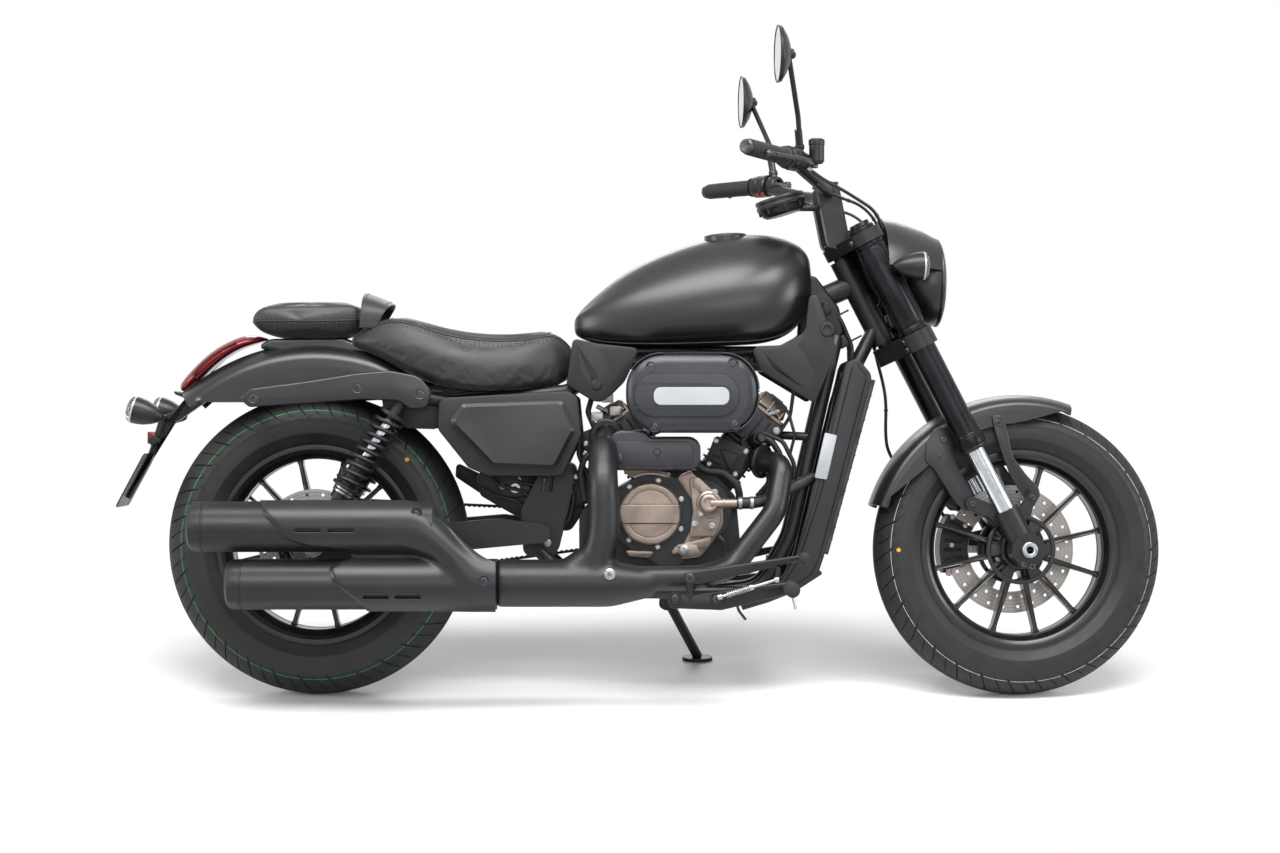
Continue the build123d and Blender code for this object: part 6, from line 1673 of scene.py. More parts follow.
def slab(bm, place, low, high, across_y, across_x, round_r, finish=0, soft=0.0, taper=0.0):
    """A rounded rectangular block up a local X: from low to high, sizes across, edges eased by soft."""
    def ring(at, shrink):
        a, b, r = across_y / 2 - shrink, across_x / 2 - shrink, max(round_r - shrink, 0.5)
        outline = []
        for side_y, side_x, start in ((1, 1, 0), (-1, 1, 90), (-1, -1, 180), (1, -1, 270)):
            for k in range(5):
                t = radians(start + 22.5 * k)
                outline.append((side_y * (a - r) + r * cos(t), side_x * (b - r) + r * sin(t)))
        return [place @ Vector((at, p, q)) for p, q in outline]
    if soft:
        rings = [ring(low, soft), ring(low + soft, 0), ring(high - soft, taper),
            ring(high - soft * 0.3, taper + soft * 0.35), ring(high, taper + soft)]
    else:
        rings = [ring(low, 0), ring(high, taper)]
    bridge(bm, rings, finish=finish)


def cylinders():
    """Two cast barrels and heads: ribs, a gasket line, a folded relief on the side panel, studs, bosses."""
    bm = bmesh.new()
    for tilt, foot, deck, top, _ in CYLINDERS:
        place = bore(tilt)
        slab(bm, place, foot, deck, 100, 88, 10)
        span = deck - foot - 26
        for k in range(6):
            low = foot + 12 + k * span / 6
            slab(bm, place, low, low + 5, 116, 100, 10, soft=1.2)
        slab(bm, place, deck - 9, deck - 1.2, 122, 102, 10, soft=1.2)
        slab(bm, place, deck - 1.2, deck + 0.2, 118, 98, 8, finish=1)
        slab(bm, place, deck + 0.2, top, 134, 102, 12, soft=3)
        # side panels with a folded triangle, on both outer sides of the barrel
        for out in (-1, 1):
            low, high = foot + 16, deck - 14
            mid = (low + high) / 2
            base = [(low, -38), (high, -38), (high, 38), (low, 38)]
            frame_in = [(low + 5, -33), (high - 5, -33), (high - 5, 33), (low + 5, 33)]
            rings = []
            for line, depth in ((base, 56), (base, 61), (frame_in, 62.2), (frame_in, 59.5)):
                rings.append([place @ Vector((u, out * depth, w)) for u, w in line])
            bridge(bm, rings)
            peak = place @ Vector((mid - 6, out * 63.5, 0))
            corners = [place @ Vector((u, out * 59.6, w)) for u, w in ((low + 8, -28), (high - 10, 0),
                (low + 8, 28))]
            verts = [bm.verts.new(c) for c in corners]
            top_v = bm.verts.new(peak)
            for i in range(3):
                bm.faces.new((verts[i], verts[(i + 1) % 3], top_v))
            # head: raised bosses with studs, a plug and cast webs between them
            for u, w in ((deck + 16, -40), (deck + 16, 40), (top - 14, -40), (top - 14, 40)):
                turned(bm, facing(place, out, u, 64, w), [(0, 0.1), (0, 10), (7, 9), (7, 0.1)],
                    [0, 0, 1.5, 0], 24)
            for w in (-20, 0, 20):
                a = place @ Vector((deck + 8, out * 66.4, w))
                b = place @ Vector((top - 8, out * 66.4, w))
                tube(bm, [a, b], 2.4, 0, 8)
            turned(bm, facing(place, out, mid + 62, 66, 6), [(0, 0.1), (0, 15), (5, 15), (7, 13), (7, 7),
                (3, 6), (3, 0.1)], [0, 0, 1, 1, 1, 1, 0], 32)
    piece("cylinders", bm, "frame", [cast_grey, soot], ("cylinders",), sharp=28)
    heads = []
    for tilt, _, deck, top, _ in CYLINDERS:
        place = bore(tilt)
        for out in (-1, 1):
            for u, w in ((deck + 16, -40), (deck + 16, 40), (top - 14, -40), (top - 14, 40)):
                heads.append(facing(place, out, u, 71, w))
    bm = bmesh.new()
    bolts(bm, heads, 6.2, 4.5, hexagon=False)
    piece("cylinder_bolts", bm, "frame", [bare_aluminium])


def bolt_ring(centre, radius, depth, count, start=0.0):
    return [(centre[0] + radius * cos(radians(start + 360 * k / count)), depth,
        centre[1] + radius * sin(radians(start + 360 * k / count))) for k in range(count)]


def engine_covers():
    """Clutch lid with a raised band between two arcs, and the two rocker covers."""
    bm = bmesh.new()
    place = axes((22, -126, 394), (0, -1, 0), (0, 0, 1))
    turned(bm, place, [(0, 0.1), (0, 66), (9, 66), (15.5, 62.5), (15.5, 52), (14.4, 51.2), (14.4, 49.6),
        (15.5, 48.8), (15.5, 0.1)], [0, 0, 3.5, 2.5, 0.5, 0.4, 0.4, 0.5, 0], 120)
    # raised band across the lid, its ends following the lid's edge, with painted shade, a darker bronze
    # ledge, along its foot above and below
    for finish_index, half_w, out_r, low, high in ((1, 21.5, 62.2, 14.6, 16.4), (0, 19.4, 62.0, 14.6, 18.6)):
        n = 22
        rings = []
        for depth, shrink in ((low, 0), (high - 1, 0), (high, 1)):
            ring = []
            h = half_w - shrink
            reach = asin(min(1.0, h / out_r))
            for start in (-reach, pi - reach):
                for k in range(n + 1):
                    t = start + 2 * reach * k / n
                    ring.append(place @ Vector((depth, (out_r - shrink) * sin(t), (out_r - shrink) * cos(t))))
            rings.append(turn_quarter(ring, place))
        bridge(bm, rings, finish=finish_index)
    for tilt, _, _, top, cover in CYLINDERS:
        at = bore(tilt)
        slab(bm, at, top, top + 8, 130, 92, 14, soft=1.5)
        slab(bm, at, top + 8, cover, 118, 78, 16, soft=5, taper=8)
        slab(bm, at, cover - 6, cover + 3, 74, 34, 8, soft=1.5, taper=1)
        for out in (-1, 1):
            for w in (-30, 0, 30):
                a, b = at @ Vector((top + 8, out * 57, w)), at @ Vector((cover - 6, out * 52, w))
                tube(bm, [a, b], (4, 3), 0, 10)
    piece("engine_covers", bm, "frame", [bronze, painted_shade_bronze], ("engine_covers",), sharp=32)


def turn_quarter(ring, place):
    """Turns a ring on the lid by a quarter, so that a band drawn upright lies level."""
    back = place.inverted()
    quarter = Matrix.Rotation(pi / 2, 4, "X")
    return [place @ (quarter @ (back @ p)) for p in ring]


def case_covers():
    """Water pump cover with its stub, the case's bronze panels on the right, and the generator cover."""
    bm = bmesh.new()
    pump = [(104, 468), (118, 474), (166, 424), (172, 380), (158, 345), (104, 345), (112, 400)]
    plate(bm, pump, [4, 6, 10, 8, 4, 4, 10], -126, -141, soft=3)
    # the case's bronze edge: round the clutch and down the front to the drain boss
    place = axes((22, -100, 394), (0, -1, 0), (0, 0, 1))
    turned(bm, place, [(0, 80), (22, 80), (24, 83), (24, 88), (0, 91)], 1, 72, start=radians(-100),
        sweep=radians(215))
    front_case = [(76, 472), (108, 486), (122, 470), (176, 426), (178, 372), (156, 334), (128, 302),
        (84, 296), (92, 330), (112, 372), (112, 420)]
    plate(bm, front_case, [8, 8, 10, 12, 16, 12, 16, 8, 12, 40, 40], -100, -129, soft=4)
    plate(bm, [(-36, 484), (-30, 500), (20, 500), (40, 488), (70, 478), (60, 466), (-20, 470)], 6, -96,
        -118, soft=3)
    for x in (-18, 14):
        tube(bm, [(x, -104, 488), (x, -104, 512)], 11, around=20)
    # arm of the cover from the top down to the round pump housing
    arm = [(112, 466), (124, 472), (166, 434), (176, 414), (164, 388), (140, 384), (124, 404), (132, 436),
        (112, 452)]
    plate(bm, arm, [6, 6, 20, 18, 16, 16, 16, 10, 6], -140, -149, soft=3)
    place = axes((146, -146, 417), (0, -1, 0), (0, 0, 1))
    turned(bm, place, [(0, 0.1), (0, 27), (5, 26), (7, 21), (14, 19), (16, 15), (16, 11), (14, 10),
        (14, 0.1)], [0, 0, 2, 2, 2, 1.5, 1, 1, 0], 56)
    tube(bm, [(150, -154, 417), (210, -154, 417)], 9.4, 0, 24)
    turned(bm, axes((176, -154, 417), (1, 0, 0), (0, 0, 1)), [(0, 9), (0, 11), (4, 11), (4, 9)], 0.8, 28)
    # bronze panels of the case: a curved fin under the pump, and the drain boss's pad
    plate(bm, [(56, 322), (104, 334), (152, 350), (152, 336), (146, 322)], [8, 30, 3, 6, 6], -120, -135,
        soft=2.5)
    plate(bm, [(62, 306), (120, 318), (112, 334), (74, 324)], [6, 6, 6, 6], -120, -133, soft=2)
    plate(bm, [(78, 304), (128, 308), (122, 328), (86, 332)], [12, 5, 6, 12], -124, -138, soft=2.5)
    plate(bm, [(-34, 316), (36, 314), (16, 300), (-22, 304)], [4, 4, 8, 8], -118, -128, soft=2)
    # generator cover on the left: stepped rings and a hub
    place = axes((CRANK.x, 122, CRANK.z), (0, 1, 0), (0, 0, 1))
    turned(bm, place, [(0, 0.1), (0, 74), (12, 74), (18, 70), (18, 58), (20, 56), (22, 40), (22, 24),
        (19, 22), (19, 0.1)], [0, 0, 4, 3, 2, 2, 2, 2, 2, 0], 96)
    piece("case_covers", bm, "frame", [bronze], ("case_covers",), sharp=32)
    spots = [(122, -141, 448), (158, -149, 440), (128, -149, 394), (162, -141, 398), (152, -141, 368),
        (116, -141, 372)]
    bm = bmesh.new()
    bolts(bm, spots, 5.6, 4.5, hexagon=False)
    bolts(bm, [(94, -138, 318)], 9.5, 5, hexagon=True)
    bolts(bm, bolt_ring((CRANK.x, CRANK.z), 66, 140, 8, 12), 5.4, 4, direction=(0, 1, 0))
    bolts(bm, bolt_ring((22, 394), 72.5, -127, 7, 25), 4.6, 3.5, hexagon=False)
    piece("case_bolts", bm, "frame", [plated_steel])


def stadium(bm, centre, length, height, round_r, levels, finish=0):
    """A stadium-shaped cover: rings at (depth, inset) levels, outward to the rider's right."""
    rings = []
    for depth, inset in levels:
        a, b, r = length / 2 - inset, height / 2 - inset, max(round_r - inset, 1.0)
        ring = []
        for side_x, side_z, start in ((1, 1, 0), (-1, 1, 90), (-1, -1, 180), (1, -1, 270)):
            for k in range(15):
                t = radians(start + 90 * k / 14)
                ring.append(Vector((centre[0] + side_x * (a - r) + r * cos(t), -depth,
                    centre[1] + side_z * (b - r) + r * sin(t))))
        rings.append(ring)
    bridge(bm, rings, finish=finish)


def air_cleaner():
    """A stadium-shaped air cleaner: a notched rim, a domed flank, a raised inner step and a bare plate."""
    bm = bmesh.new()
    stadium(bm, (110, 650), 279, 168, 76, ((146, 3), (148, 0), (186, 0), (190, 1), (196, 6), (200, 14),
        (202.5, 20), (203, 24)))
    stadium(bm, (98, 645), 224, 92, 45, ((200, 0), (206.5, 0.6), (208.4, 2.2), (209, 4.2)))
    # step lines that run out to the rear, above and below the plate
    for z in (628 - 9, 662 + 8):
        plate(bm, [(-12, z - 0.9), (150, z - 0.9), (150, z + 0.9), (-12, z + 0.9)], 0.6, -208, -210.2,
            finish=0)
    stadium(bm, (110, 644), 166, 46, 20, ((208.5, 0), (210.2, 0.8), (210.2, 3.2), (208.8, 3.6)), finish=0)
    stadium(bm, (108, 643.5), 158, 37, 15, ((208.4, 0), (210.4, 0), (211, 0.8)), finish=2)
    # throttle body, duct and manifold legs behind it
    plate(bm, [(50, 570), (142, 570), (142, 648), (50, 648)], 18, -40, -150, soft=3)
    for tilt, _, deck, top, _ in CYLINDERS:
        tube(bm, [(96, 0, 608), bore(tilt, (deck + top) / 2).translation], 24, 0, 24, 1)
    piece("air_cleaner", bm, "frame", [grey_paint, black_plastic, foil], ("air_cleaner",),
        sharp=26)
    # notches of the rim, one template repeated along the top and the front
    line = fillet([Vector((-29.5, 566, 0)), Vector((249.5, 566, 0)), Vector((249.5, 734, 0)),
        Vector((-29.5, 734, 0))], 76, closed=True, step=radians(2))
    places, walked = [], 0.0
    for a, b in zip(line, line[1:] + line[:1]):
        steps = max(1, int((b - a).length / 5.6))
        for k in range(steps):
            p = a.lerp(b, (k + 0.5) / steps)
            if (b - a).length < 1.2 and walked < 5.6:
                walked += (b - a).length
                continue
            walked = 0.0
            if p.y > 700 or p.x > 196:
                ahead = (b - a).normalized()
                out = Vector((ahead.y, 0, -ahead.x))
                places.append(axes((p.x, -193.5, p.y), (ahead.x, 0, ahead.y), out))
    template = bmesh.new()
    slab(template, Matrix.Identity(4), -1.7, 1.7, 9.0, 3.4, 0.8, soft=0.6)
    bm = bmesh.new()
    take(bm, repeated(template, places))
    piece("air_cleaner_notches", bm, "frame", [grey_paint], sharp=30)
    bm = bmesh.new()
    spots = [(23, -197, 704), (195, -197, 711), (31, -197, 579), (199, -197, 585)]
    for x, y, z in spots:
        turned(bm, axes((x, y - 3, z), (0, -1, 0), (1, 0, 0)), [(-4, 8.4), (1.6, 8.4), (3, 9.8), (3, 11.4),
            (-4, 13.5)], 0.3, 36, finish=1)
    bolts(bm, [(x, y - 3.2, z) for x, y, z in spots], 7.4, 3.0)
    piece("air_cleaner_screws", bm, "frame", [black_screw, grey_paint])


def ignition_cover():
    """A moulded cover on two levels, with a fine sunk panel round its two screws."""
    bm = bmesh.new()
    outer = [(-63, 487), (-63, 572), (10, 572), (24, 558), (128, 558), (128, 487)]
    plate(bm, outer, [18, 24, 20, 12, 26, 22], -126, -168, soft=7, soft_steps=4)
    plate(bm, [(-52, 496), (-52, 548), (112, 548), (114, 496)], [10, 10, 18, 12], -166, -169.6, soft=1.4)
    for z in (507, 524.5):
        plate(bm, [(-30, z - 0.5), (24, z - 0.5), (24, z + 0.5), (-30, z + 0.5)], 0.3, -169, -170.4, soft=0.3)
    piece("ignition_cover", bm, "frame", [grey_paint], ("ignition_cover",), sharp=34)
    bm = bmesh.new()
    for x, z in ((-42, 515), (36, 524)):
        turned(bm, axes((x, -169.4, z), (0, -1, 0), (1, 0, 0)), [(-1, 6.6), (0.6, 6.6), (1.4, 7.4),
            (1.4, 9), (-1, 9.8)], 0.3, 32, finish=1)
    bolts(bm, [(-42, -169.6, 515), (36, -169.6, 524)], 5.8, 2.6)
    piece("ignition_screws", bm, "frame", [black_screw, grey_paint])


def engine_pipes():
    """Coolant hose with clamps, oil line, breather, plug leads and bosses round the cylinders."""
    bm = bmesh.new()
    tube(bm, [(204, -154, 417), (238, -152, 418), (276, -128, 424), (330, -92, 452), (372, -72, 470)], 12.5,
        [34, 40, 40], 22)
    tube(bm, [(118, -120, 500), (140, -122, 486), (176, -124, 482), (206, -120, 458), (214, -112, 424),
        (190, -104, 404)], 8, 22, 16)
    tube(bm, [(168, -132, 346), (178, -134, 336), (182, -128, 310), (168, -118, 292), (150, -110, 286)], 5,
        14, 14)
    tube(bm, [(250, -64, 560), (282, -74, 548), (300, -70, 520), (296, -60, 470), (250, -50, 420)], 7, 24, 14)
    tube(bm, [(-60, -66, 560), (-96, -72, 572), (-112, -72, 610), (-96, -60, 668)], 6, 18, 14)
    tube(bm, [(-84, -70, 520), (-118, -76, 516), (-128, -78, 480), (-118, -76, 420)], 7, 18, 14)
    for x, z in ((0, 486), (52, 488)):
        tube(bm, [(x, -104, z - 8), (x, -104, z + 22)], 10, 0, 20)
    piece("engine_hoses", bm, "frame", [hose_rubber])
    bm = bmesh.new()
    for x, y, z, way in ((212, -154, 417.3, (1, 0, 0)), (236, -152.4, 418, (1, 0.05, 0))):
        turned(bm, axes((x, y, z), way, (0, 0, 1)), [(-3.5, 12.4), (-3.5, 13.6), (3.5, 13.6), (3.5, 12.4)],
            0.4, 32)
    bolts(bm, [(212, -168, 419)], 3.6, 5, hexagon=False)
    for x, z in ((-92, 600), (-70, 640), (-52, 612)):
        slab(bm, axes((x, -70, z), (0, -1, 0), (0, 0, 1)), 0, 9, 26, 20, 4, soft=1.2)
    piece("engine_fittings", bm, "frame", [bare_aluminium])


cylinders()
engine_covers()
case_covers()
air_cleaner()
ignition_cover()
engine_pipes()


# ---------------------------------------------------------------- exhaust
def exhaust_pipes():
    """Headers that flow into one collector: one skin, made by remeshing the joined tubes and smoothing."""
    bm = bmesh.new()
    y = -215
    tube(bm, [(250, -66, 505), (304, -110, 500), (286, -150, 400), (196, -178, 286), (130, y, 264),
        (-60, y, 262)], (25, 26), [30, 60, 70, 60], 32)
    tube(bm, [(-70, -66, 554), (-78, -172, 530), (-78, y - 4, 462), (-76, y - 4, 400), (-78, y - 4, 350),
        (-100, y, 262)], (27, 39), [50, 90, 80, 120], 32)
    tube(bm, [(-70, y, 330), (-150, y, 262)], (30, 40), 0, 32)
    turned(bm, axes((0, y, 252), (1, 0, 0), (0, 0, 1)), [(-300, 0.1), (-300, 50), (-60, 50), (30, 28),
        (30, 0.1)], [0, 4, 120, 4, 0], 64)
    made = piece("exhaust_pipes", bm, "frame", [exhaust_black], ("exhaust_pipes",), sharp=180)
    remesh = made.modifiers.new("joined", "REMESH")
    remesh.mode, remesh.voxel_size = "VOXEL", 4.2 * MM
    flow = made.modifiers.new("flow", "SMOOTH")
    flow.factor, flow.iterations = 0.8, 14
    skin = evaluated(made)
    made.modifiers.clear()
    skin.materials.clear()
    skin.materials.append(exhaust_black)
    for polygon in skin.polygons:
        polygon.use_smooth = True
    made.data = skin
    bm = bmesh.new()
    for at, way in (((262, -76, 504.5), (54, -44, -5)), ((-71.5, -84, 559), (-8, -99, -8))):
        turned(bm, axes(Vector(at), way, (0, 0, 1)), [(-6, 24), (-6, 37), (2, 37), (4, 34), (4, 24)],
            [0, 2, 2, 1, 0], 48, finish=1)
    bolts(bm, [(-63, -266, 274)], 8.6, 5, hexagon=True)
    turned(bm, axes((-63, -262, 274), (0, -1, 0), (1, 0, 0)), [(-6, 0.1), (-6, 13), (3, 12), (4, 10),
        (4, 0.1)], [0, 0, 1, 1, 0], 40)
    piece("exhaust_fixings", bm, "frame", [plated_steel, exhaust_black])


SILENCERS = ((-942.0, 371.0, -430.0), (-862.0, 251.0, -298.0))  # rear end, height and front end
SILENCER_Y = -233.0


def silencers():
    """Two faceted cans: a stepped end cap with a deep mouth, and soft ridges along the body."""
    bm = bmesh.new()
    around = 96
    for rear, height, front in SILENCERS:
        rows = ((rear + 70, 33, 0), (rear + 2, 34, 0), (rear - 0.5, 36.5, 0), (rear + 1, 41, 0.2),
            (rear + 6, 49, 0.6), (rear + 12, 51.6, 1), (rear + 30, 52.4, 1), (rear + 31.5, 51.2, 1),
            (rear + 34, 51.2, 1), (rear + 35.5, 53, 1), (front, 53, 1))
        rings = []
        for x, r, flat in rows:
            ring = []
            for k in range(around):
                t = 2 * pi * k / around
                reach = r * (1 - 0.045 * flat * (0.5 + 0.5 * cos(8 * t + pi)) ** 1.5)
                ring.append(Vector((x, SILENCER_Y + reach * cos(t), height + reach * sin(t))))
            rings.append(ring)
        bridge(bm, rings)
    piece("silencers", bm, "frame", [stove_black], ("silencers",), sharp=32)


SHIELD_SLOTS = ((-686, 366), (-618, 366), (-546, 228), (-480, 228))


def between(value, low, high):
    """0 below low, 1 above high and a smooth step between them."""
    t = min(1.0, max(0.0, (value - low) / (high - low)))
    return t * t * (3 - 2 * t)


def shield_depth(x, z):
    """How far the shield stands out from the cans' middle plane: two ridges, one ridge at the front."""
    upper = 371 - 112 * between(x, -480, -310)
    ridges = [max(0.0, 58.5 ** 2 - (z - height) ** 2) ** 0.5 for height in (upper, 251)]
    merge = between(x, -470, -320)
    power = 5 + 5 * merge
    floor_depth = 20 + 22 * merge
    return (ridges[0] ** power + ridges[1] ** power + floor_depth ** power) ** (1 / power) * (1 - 0.03
        * merge)


def silencer_shield():
    """One pressed sheet over both cans: slanted rear ends, a valley between, two slots on each ridge."""
    bm = bmesh.new()
    rows = 72
    rear_ends = ((194, -566), (206, -572), (230, -600), (262, -636), (288, -644), (300, -622), (306, -604),
        (318, -600), (326, -604), (334, -700), (346, -728), (370, -752), (400, -778), (428, -790))
    grid = []
    for i in range(rows + 1):
        t = i / rows
        at = 196 + 231 * t
        lower, upper = next(pair for pair in zip(rear_ends, rear_ends[1:]) if pair[0][0] <= at <= pair[1][0])
        rear = lower[1] + (upper[1] - lower[1]) * (at - lower[0]) / (upper[0] - lower[0])
        row = []
        for k in range(121):
            x = rear + (-299 - rear) * k / 120
            top = 427 - 129 * between(x, -490, -285)
            z = 196 + (top - 196) * t
            edge = 5 * (1 - between(x, rear, rear + 7))
            row.append(bm.verts.new((x, SILENCER_Y - shield_depth(x, z) + edge, z)))
        grid.append(row)
    for low, high in zip(grid, grid[1:]):
        for k in range(120):
            bm.faces.new((low[k], low[k + 1], high[k + 1], high[k]))
    bmesh.ops.recalc_face_normals(bm, faces=bm.faces)
    if sum(face.normal.y for face in bm.faces) > 0:
        bmesh.ops.reverse_faces(bm, faces=bm.faces)
    for _ in range(6):
        bmesh.ops.smooth_vert(bm, verts=[v for v in bm.verts if not v.is_boundary], factor=0.5,
            use_axis_x=True, use_axis_y=True, use_axis_z=True)
    made = piece("silencer_shield", bm, "frame", [shield_paint], ("silencer_shield",),
        sharp=60, repair=False)
    thick = made.modifiers.new("sheet", "SOLIDIFY")
    thick.thickness, thick.offset = 0.0028, -1
    bm = bmesh.new()
    for x, z in SHIELD_SLOTS:
        plate(bm, [(x - 27, z - 4.5), (x + 27, z - 4.5), (x + 27, z + 4.5), (x - 27, z + 4.5)], 4.4, -262,
            -310)
    cutter = piece("slot_cutter", bm, "frame", [shield_paint])
    cut = made.modifiers.new("slots", "BOOLEAN")
    cut.operation, cut.solver, cut.object = "DIFFERENCE", "EXACT", cutter
    result = evaluated(made)
    made.modifiers.clear()
    result.materials.clear()
    result.materials.append(shield_paint)
    made.data = result
    bpy.data.objects.remove(cutter)
    bm = bmesh.new()
    spots = [(x, SILENCER_Y - shield_depth(x, z) + 1.5, z) for x, z in ((-463, 400), (-322, 262))]
    for spot in spots:
        turned(bm, axes(Vector(spot), (0, -1, 0), (1, 0, 0)), [(-8, 7.8), (1, 7.8), (2.5, 9.4), (2.5, 11),
            (-8, 13)], 0.3, 36)
    bolts(bm, spots, 7, 3.0, finish=1)
    piece("shield_screws", bm, "frame", [shield_paint, black_screw])


exhaust_pipes()
silencers()
silencer_shield()


# ---------------------------------------------------------------- chin fairing and radiator
CHIN = [(219, 187), (275, 204), (329, 225), (378, 258), (392, 300), (428, 436), (447, 507), (496, 688),
    (464, 726), (440, 715), (330, 300), (296, 244), (219, 200)]
CHIN_ROUND = [4, 60, 60, 40, 60, 60, 60, 24, 20, 12, 60, 40, 6]


def chin_fairing():
    """Long side blades in front of the down tubes, each folded along its front edge, and a belly tray."""
    bm = bmesh.new()
    for out in (-1, 1):
        plate(bm, CHIN, CHIN_ROUND, out * 93, out * 101, soft=2.5)
        fold = [(366, 264), (382, 300), (420, 438), (438, 510), (484, 686), (462, 714), (452, 706),
            (404, 512), (386, 440), (338, 294), (300, 236), (318, 232)]
        plate(bm, fold, [20, 60, 60, 60, 20, 10, 10, 60, 60, 60, 30, 20], out * 100.5, out * 104.5,
            soft=3.5, soft_steps=4)
        # a thin step behind the fold
        tube(bm, [(438, out * 101, 706), (396, out * 101, 516), (378, out * 101, 440),
            (332, out * 101, 300)], 1.6, 60, 8)
        for x, z in ((448, 690), (352, 290)):
            tube(bm, [(x, out * 60, z), (x, out * 96, z)], 8, 0, 16)
    tray = [(219, 187), (275, 204), (329, 225), (389, 264), (386, 272), (326, 231), (274, 210), (219, 195)]
    outline = fillet([Vector((a, b, 0)) for a, b in tray], [1, 60, 60, 3, 3, 60, 60, 1], closed=True)
    bridge(bm, [[Vector((p.x, y, p.y)) for p in outline] for y in (-98, 98)])
    # front posts beside the radiator's opening
    for out in (-1, 1):
        tube(bm, [(380, out * 94, 296), (486, out * 94, 690)], 5, 0, 10)
    piece("chin_fairing", bm, "frame", [black_plastic], ("chin_fairing",), sharp=26)
    bm = bmesh.new()
    plate(bm, [(372, 470), (398, 466), (420, 560), (394, 566)], 3, -104.2, -105.4, soft=0.5)
    piece("frame_label", bm, "frame", [foil])


def radiator_frame():
    """Side tanks, cap rails and the grille's cross bars before the core."""
    bm = bmesh.new()
    lean = atan2(496 - 390, 690 - 300)
    place = Matrix.Translation((397, 0, 300)) @ Matrix.Rotation(lean, 4, "Y")
    for out in (-1, 1):
        rings = []
        for z in (12, 388):
            rings.append([place @ Vector((x, out * y, z)) for x, y in ((-24, 76), (3, 76), (3, 94),
                (-24, 94))])
        bridge(bm, rings)
    for z in (14, 384):
        rings = []
        for y in (-92, 92):
            rings.append([place @ Vector((x, y, z + h)) for x, h in ((-24, -8), (3, -8), (3, 8), (-24, 8))])
        bridge(bm, rings)
    for k in range(13):
        z = 40 + k * 26.5
        tube(bm, [place @ Vector((4, -80, z)), place @ Vector((4, 80, z))], 1.6, 0, 6)
    for y in (-40, 0, 40):
        tube(bm, [place @ Vector((5.5, y, 16)), place @ Vector((5.5, y, 384))], 1.4, 0, 6)
    piece("radiator_frame", bm, "frame", [smooth_plastic])


chin_fairing()
radiator_frame()


# ---------------------------------------------------------------- chassis details
SHOCK_FOOT, SHOCK_TOP, SHOCK_Y = Vector((-657, 0, 398)), Vector((-500, 0, 642)), 130.0


def shock_details():
    """Chrome rod, preload rings and the eye's sleeves and nuts of each shock."""
    bm = bmesh.new()
    up = SHOCK_TOP - SHOCK_FOOT
    for out in (-1, 1):
        place = axes(SHOCK_FOOT + Vector((0, out * SHOCK_Y, 0)), up, (0, 1, 0))
        turned(bm, place, [(126, 0.1), (126, 11), (232, 11), (232, 0.1)], [0, 1, 1, 0], 32, finish=1)
        for at in (46, 54):
            turned(bm, place, [(at, 19), (at, 24), (at + 5, 24), (at + 5, 19)], 0.8, 40, finish=2)
        for end in (SHOCK_FOOT, SHOCK_TOP):
            head = axes((end.x, out * 141.5, end.z), (0, out, 0), (0, 0, 1))
            turned(bm, head, [(0, 0.1), (0, 13), (2, 13), (2, 0.1)], [0, 0, 0.8, 0], 32, finish=2)
            bolts(bm, [head @ Matrix.Translation((2, 0, 0))], 9.5, 7, 2, hexagon=False)
    piece("shock_details", bm, "frame", [powder_coat, hard_chrome, plated_steel])


def chassis_bolts():
    """Heads of the through bolts, axle nut, adjuster and pivot caps."""
    bm = bmesh.new()
    for out in (-1, 1):
        way = (0, out, 0)
        bolts(bm, [(-215, out * 112, 352)], 13, 8, hexagon=False, direction=way)
        bolts(bm, [(-60, out * 92, 225), (-198, out * 71, 464), (-198, out * 71, 330)], 8, 5, direction=way)
        for x in (-724, -745):
            bolts(bm, [(x, out * 136, 321)], 6, 4, hexagon=False, direction=way)
        head = axes((-695, out * 136.2, 325), way, (0, 0, 1))
        turned(bm, head, [(0, 18.6), (0, 24), (3, 24), (3, 18.6)], 0.6, 40)
        slab(bm, axes((-718, out * 136, 322), way, (0, 0, 1)), 0, 4, 34, 52, 6, soft=1)
    piece("chassis_bolts", bm, "frame", [plated_steel])


BELT_REAR, BELT_FRONT = Vector((-695, 0, 325)), Vector((-96, 0, 352))
BELT_REAR_R, BELT_FRONT_R, BELT_MIDDLE = 92.5, 38.0, 96.0


def belt_teeth():
    """Rounded teeth on the inside of the belt's two straight runs."""
    template = bmesh.new()
    slab(template, Matrix.Identity(4), -2.6, 1.8, 20, 5.4, 1.2, soft=0.8)
    along = BELT_FRONT - BELT_REAR
    spread = asin((BELT_REAR_R - BELT_FRONT_R) / along.length)
    base = atan2(along.z, along.x)
    places = []
    for turn in (base + pi / 2 - spread, base - pi / 2 + spread):
        normal = Vector((cos(turn), 0, sin(turn)))
        start, end = BELT_REAR + normal * BELT_REAR_R, BELT_FRONT + normal * BELT_FRONT_R
        count = int((end - start).length / 11)
        for k in range(count):
            at = start.lerp(end, (k + 0.5) / count) + Vector((0, BELT_MIDDLE, 0))
            places.append(axes(at, -normal, end - start))
    bm = bmesh.new()
    take(bm, repeated(template, places))
    piece("belt_teeth", bm, "frame", [belt_rubber])


# ---------------------------------------------------------------- foot controls
def coil_spring(bm, start, end, radius, wire, turns, finish=0):
    way = end - start
    place = axes(start, way, Vector((0, 1, 0)))
    steps = int(turns * 14)
    points = []
    for k in range(steps + 1):
        t = 2 * pi * turns * k / steps
        points.append(place @ Vector((way.length * k / steps, radius * cos(t), radius * sin(t))))
    tube(bm, points, wire, 0, 8, finish)


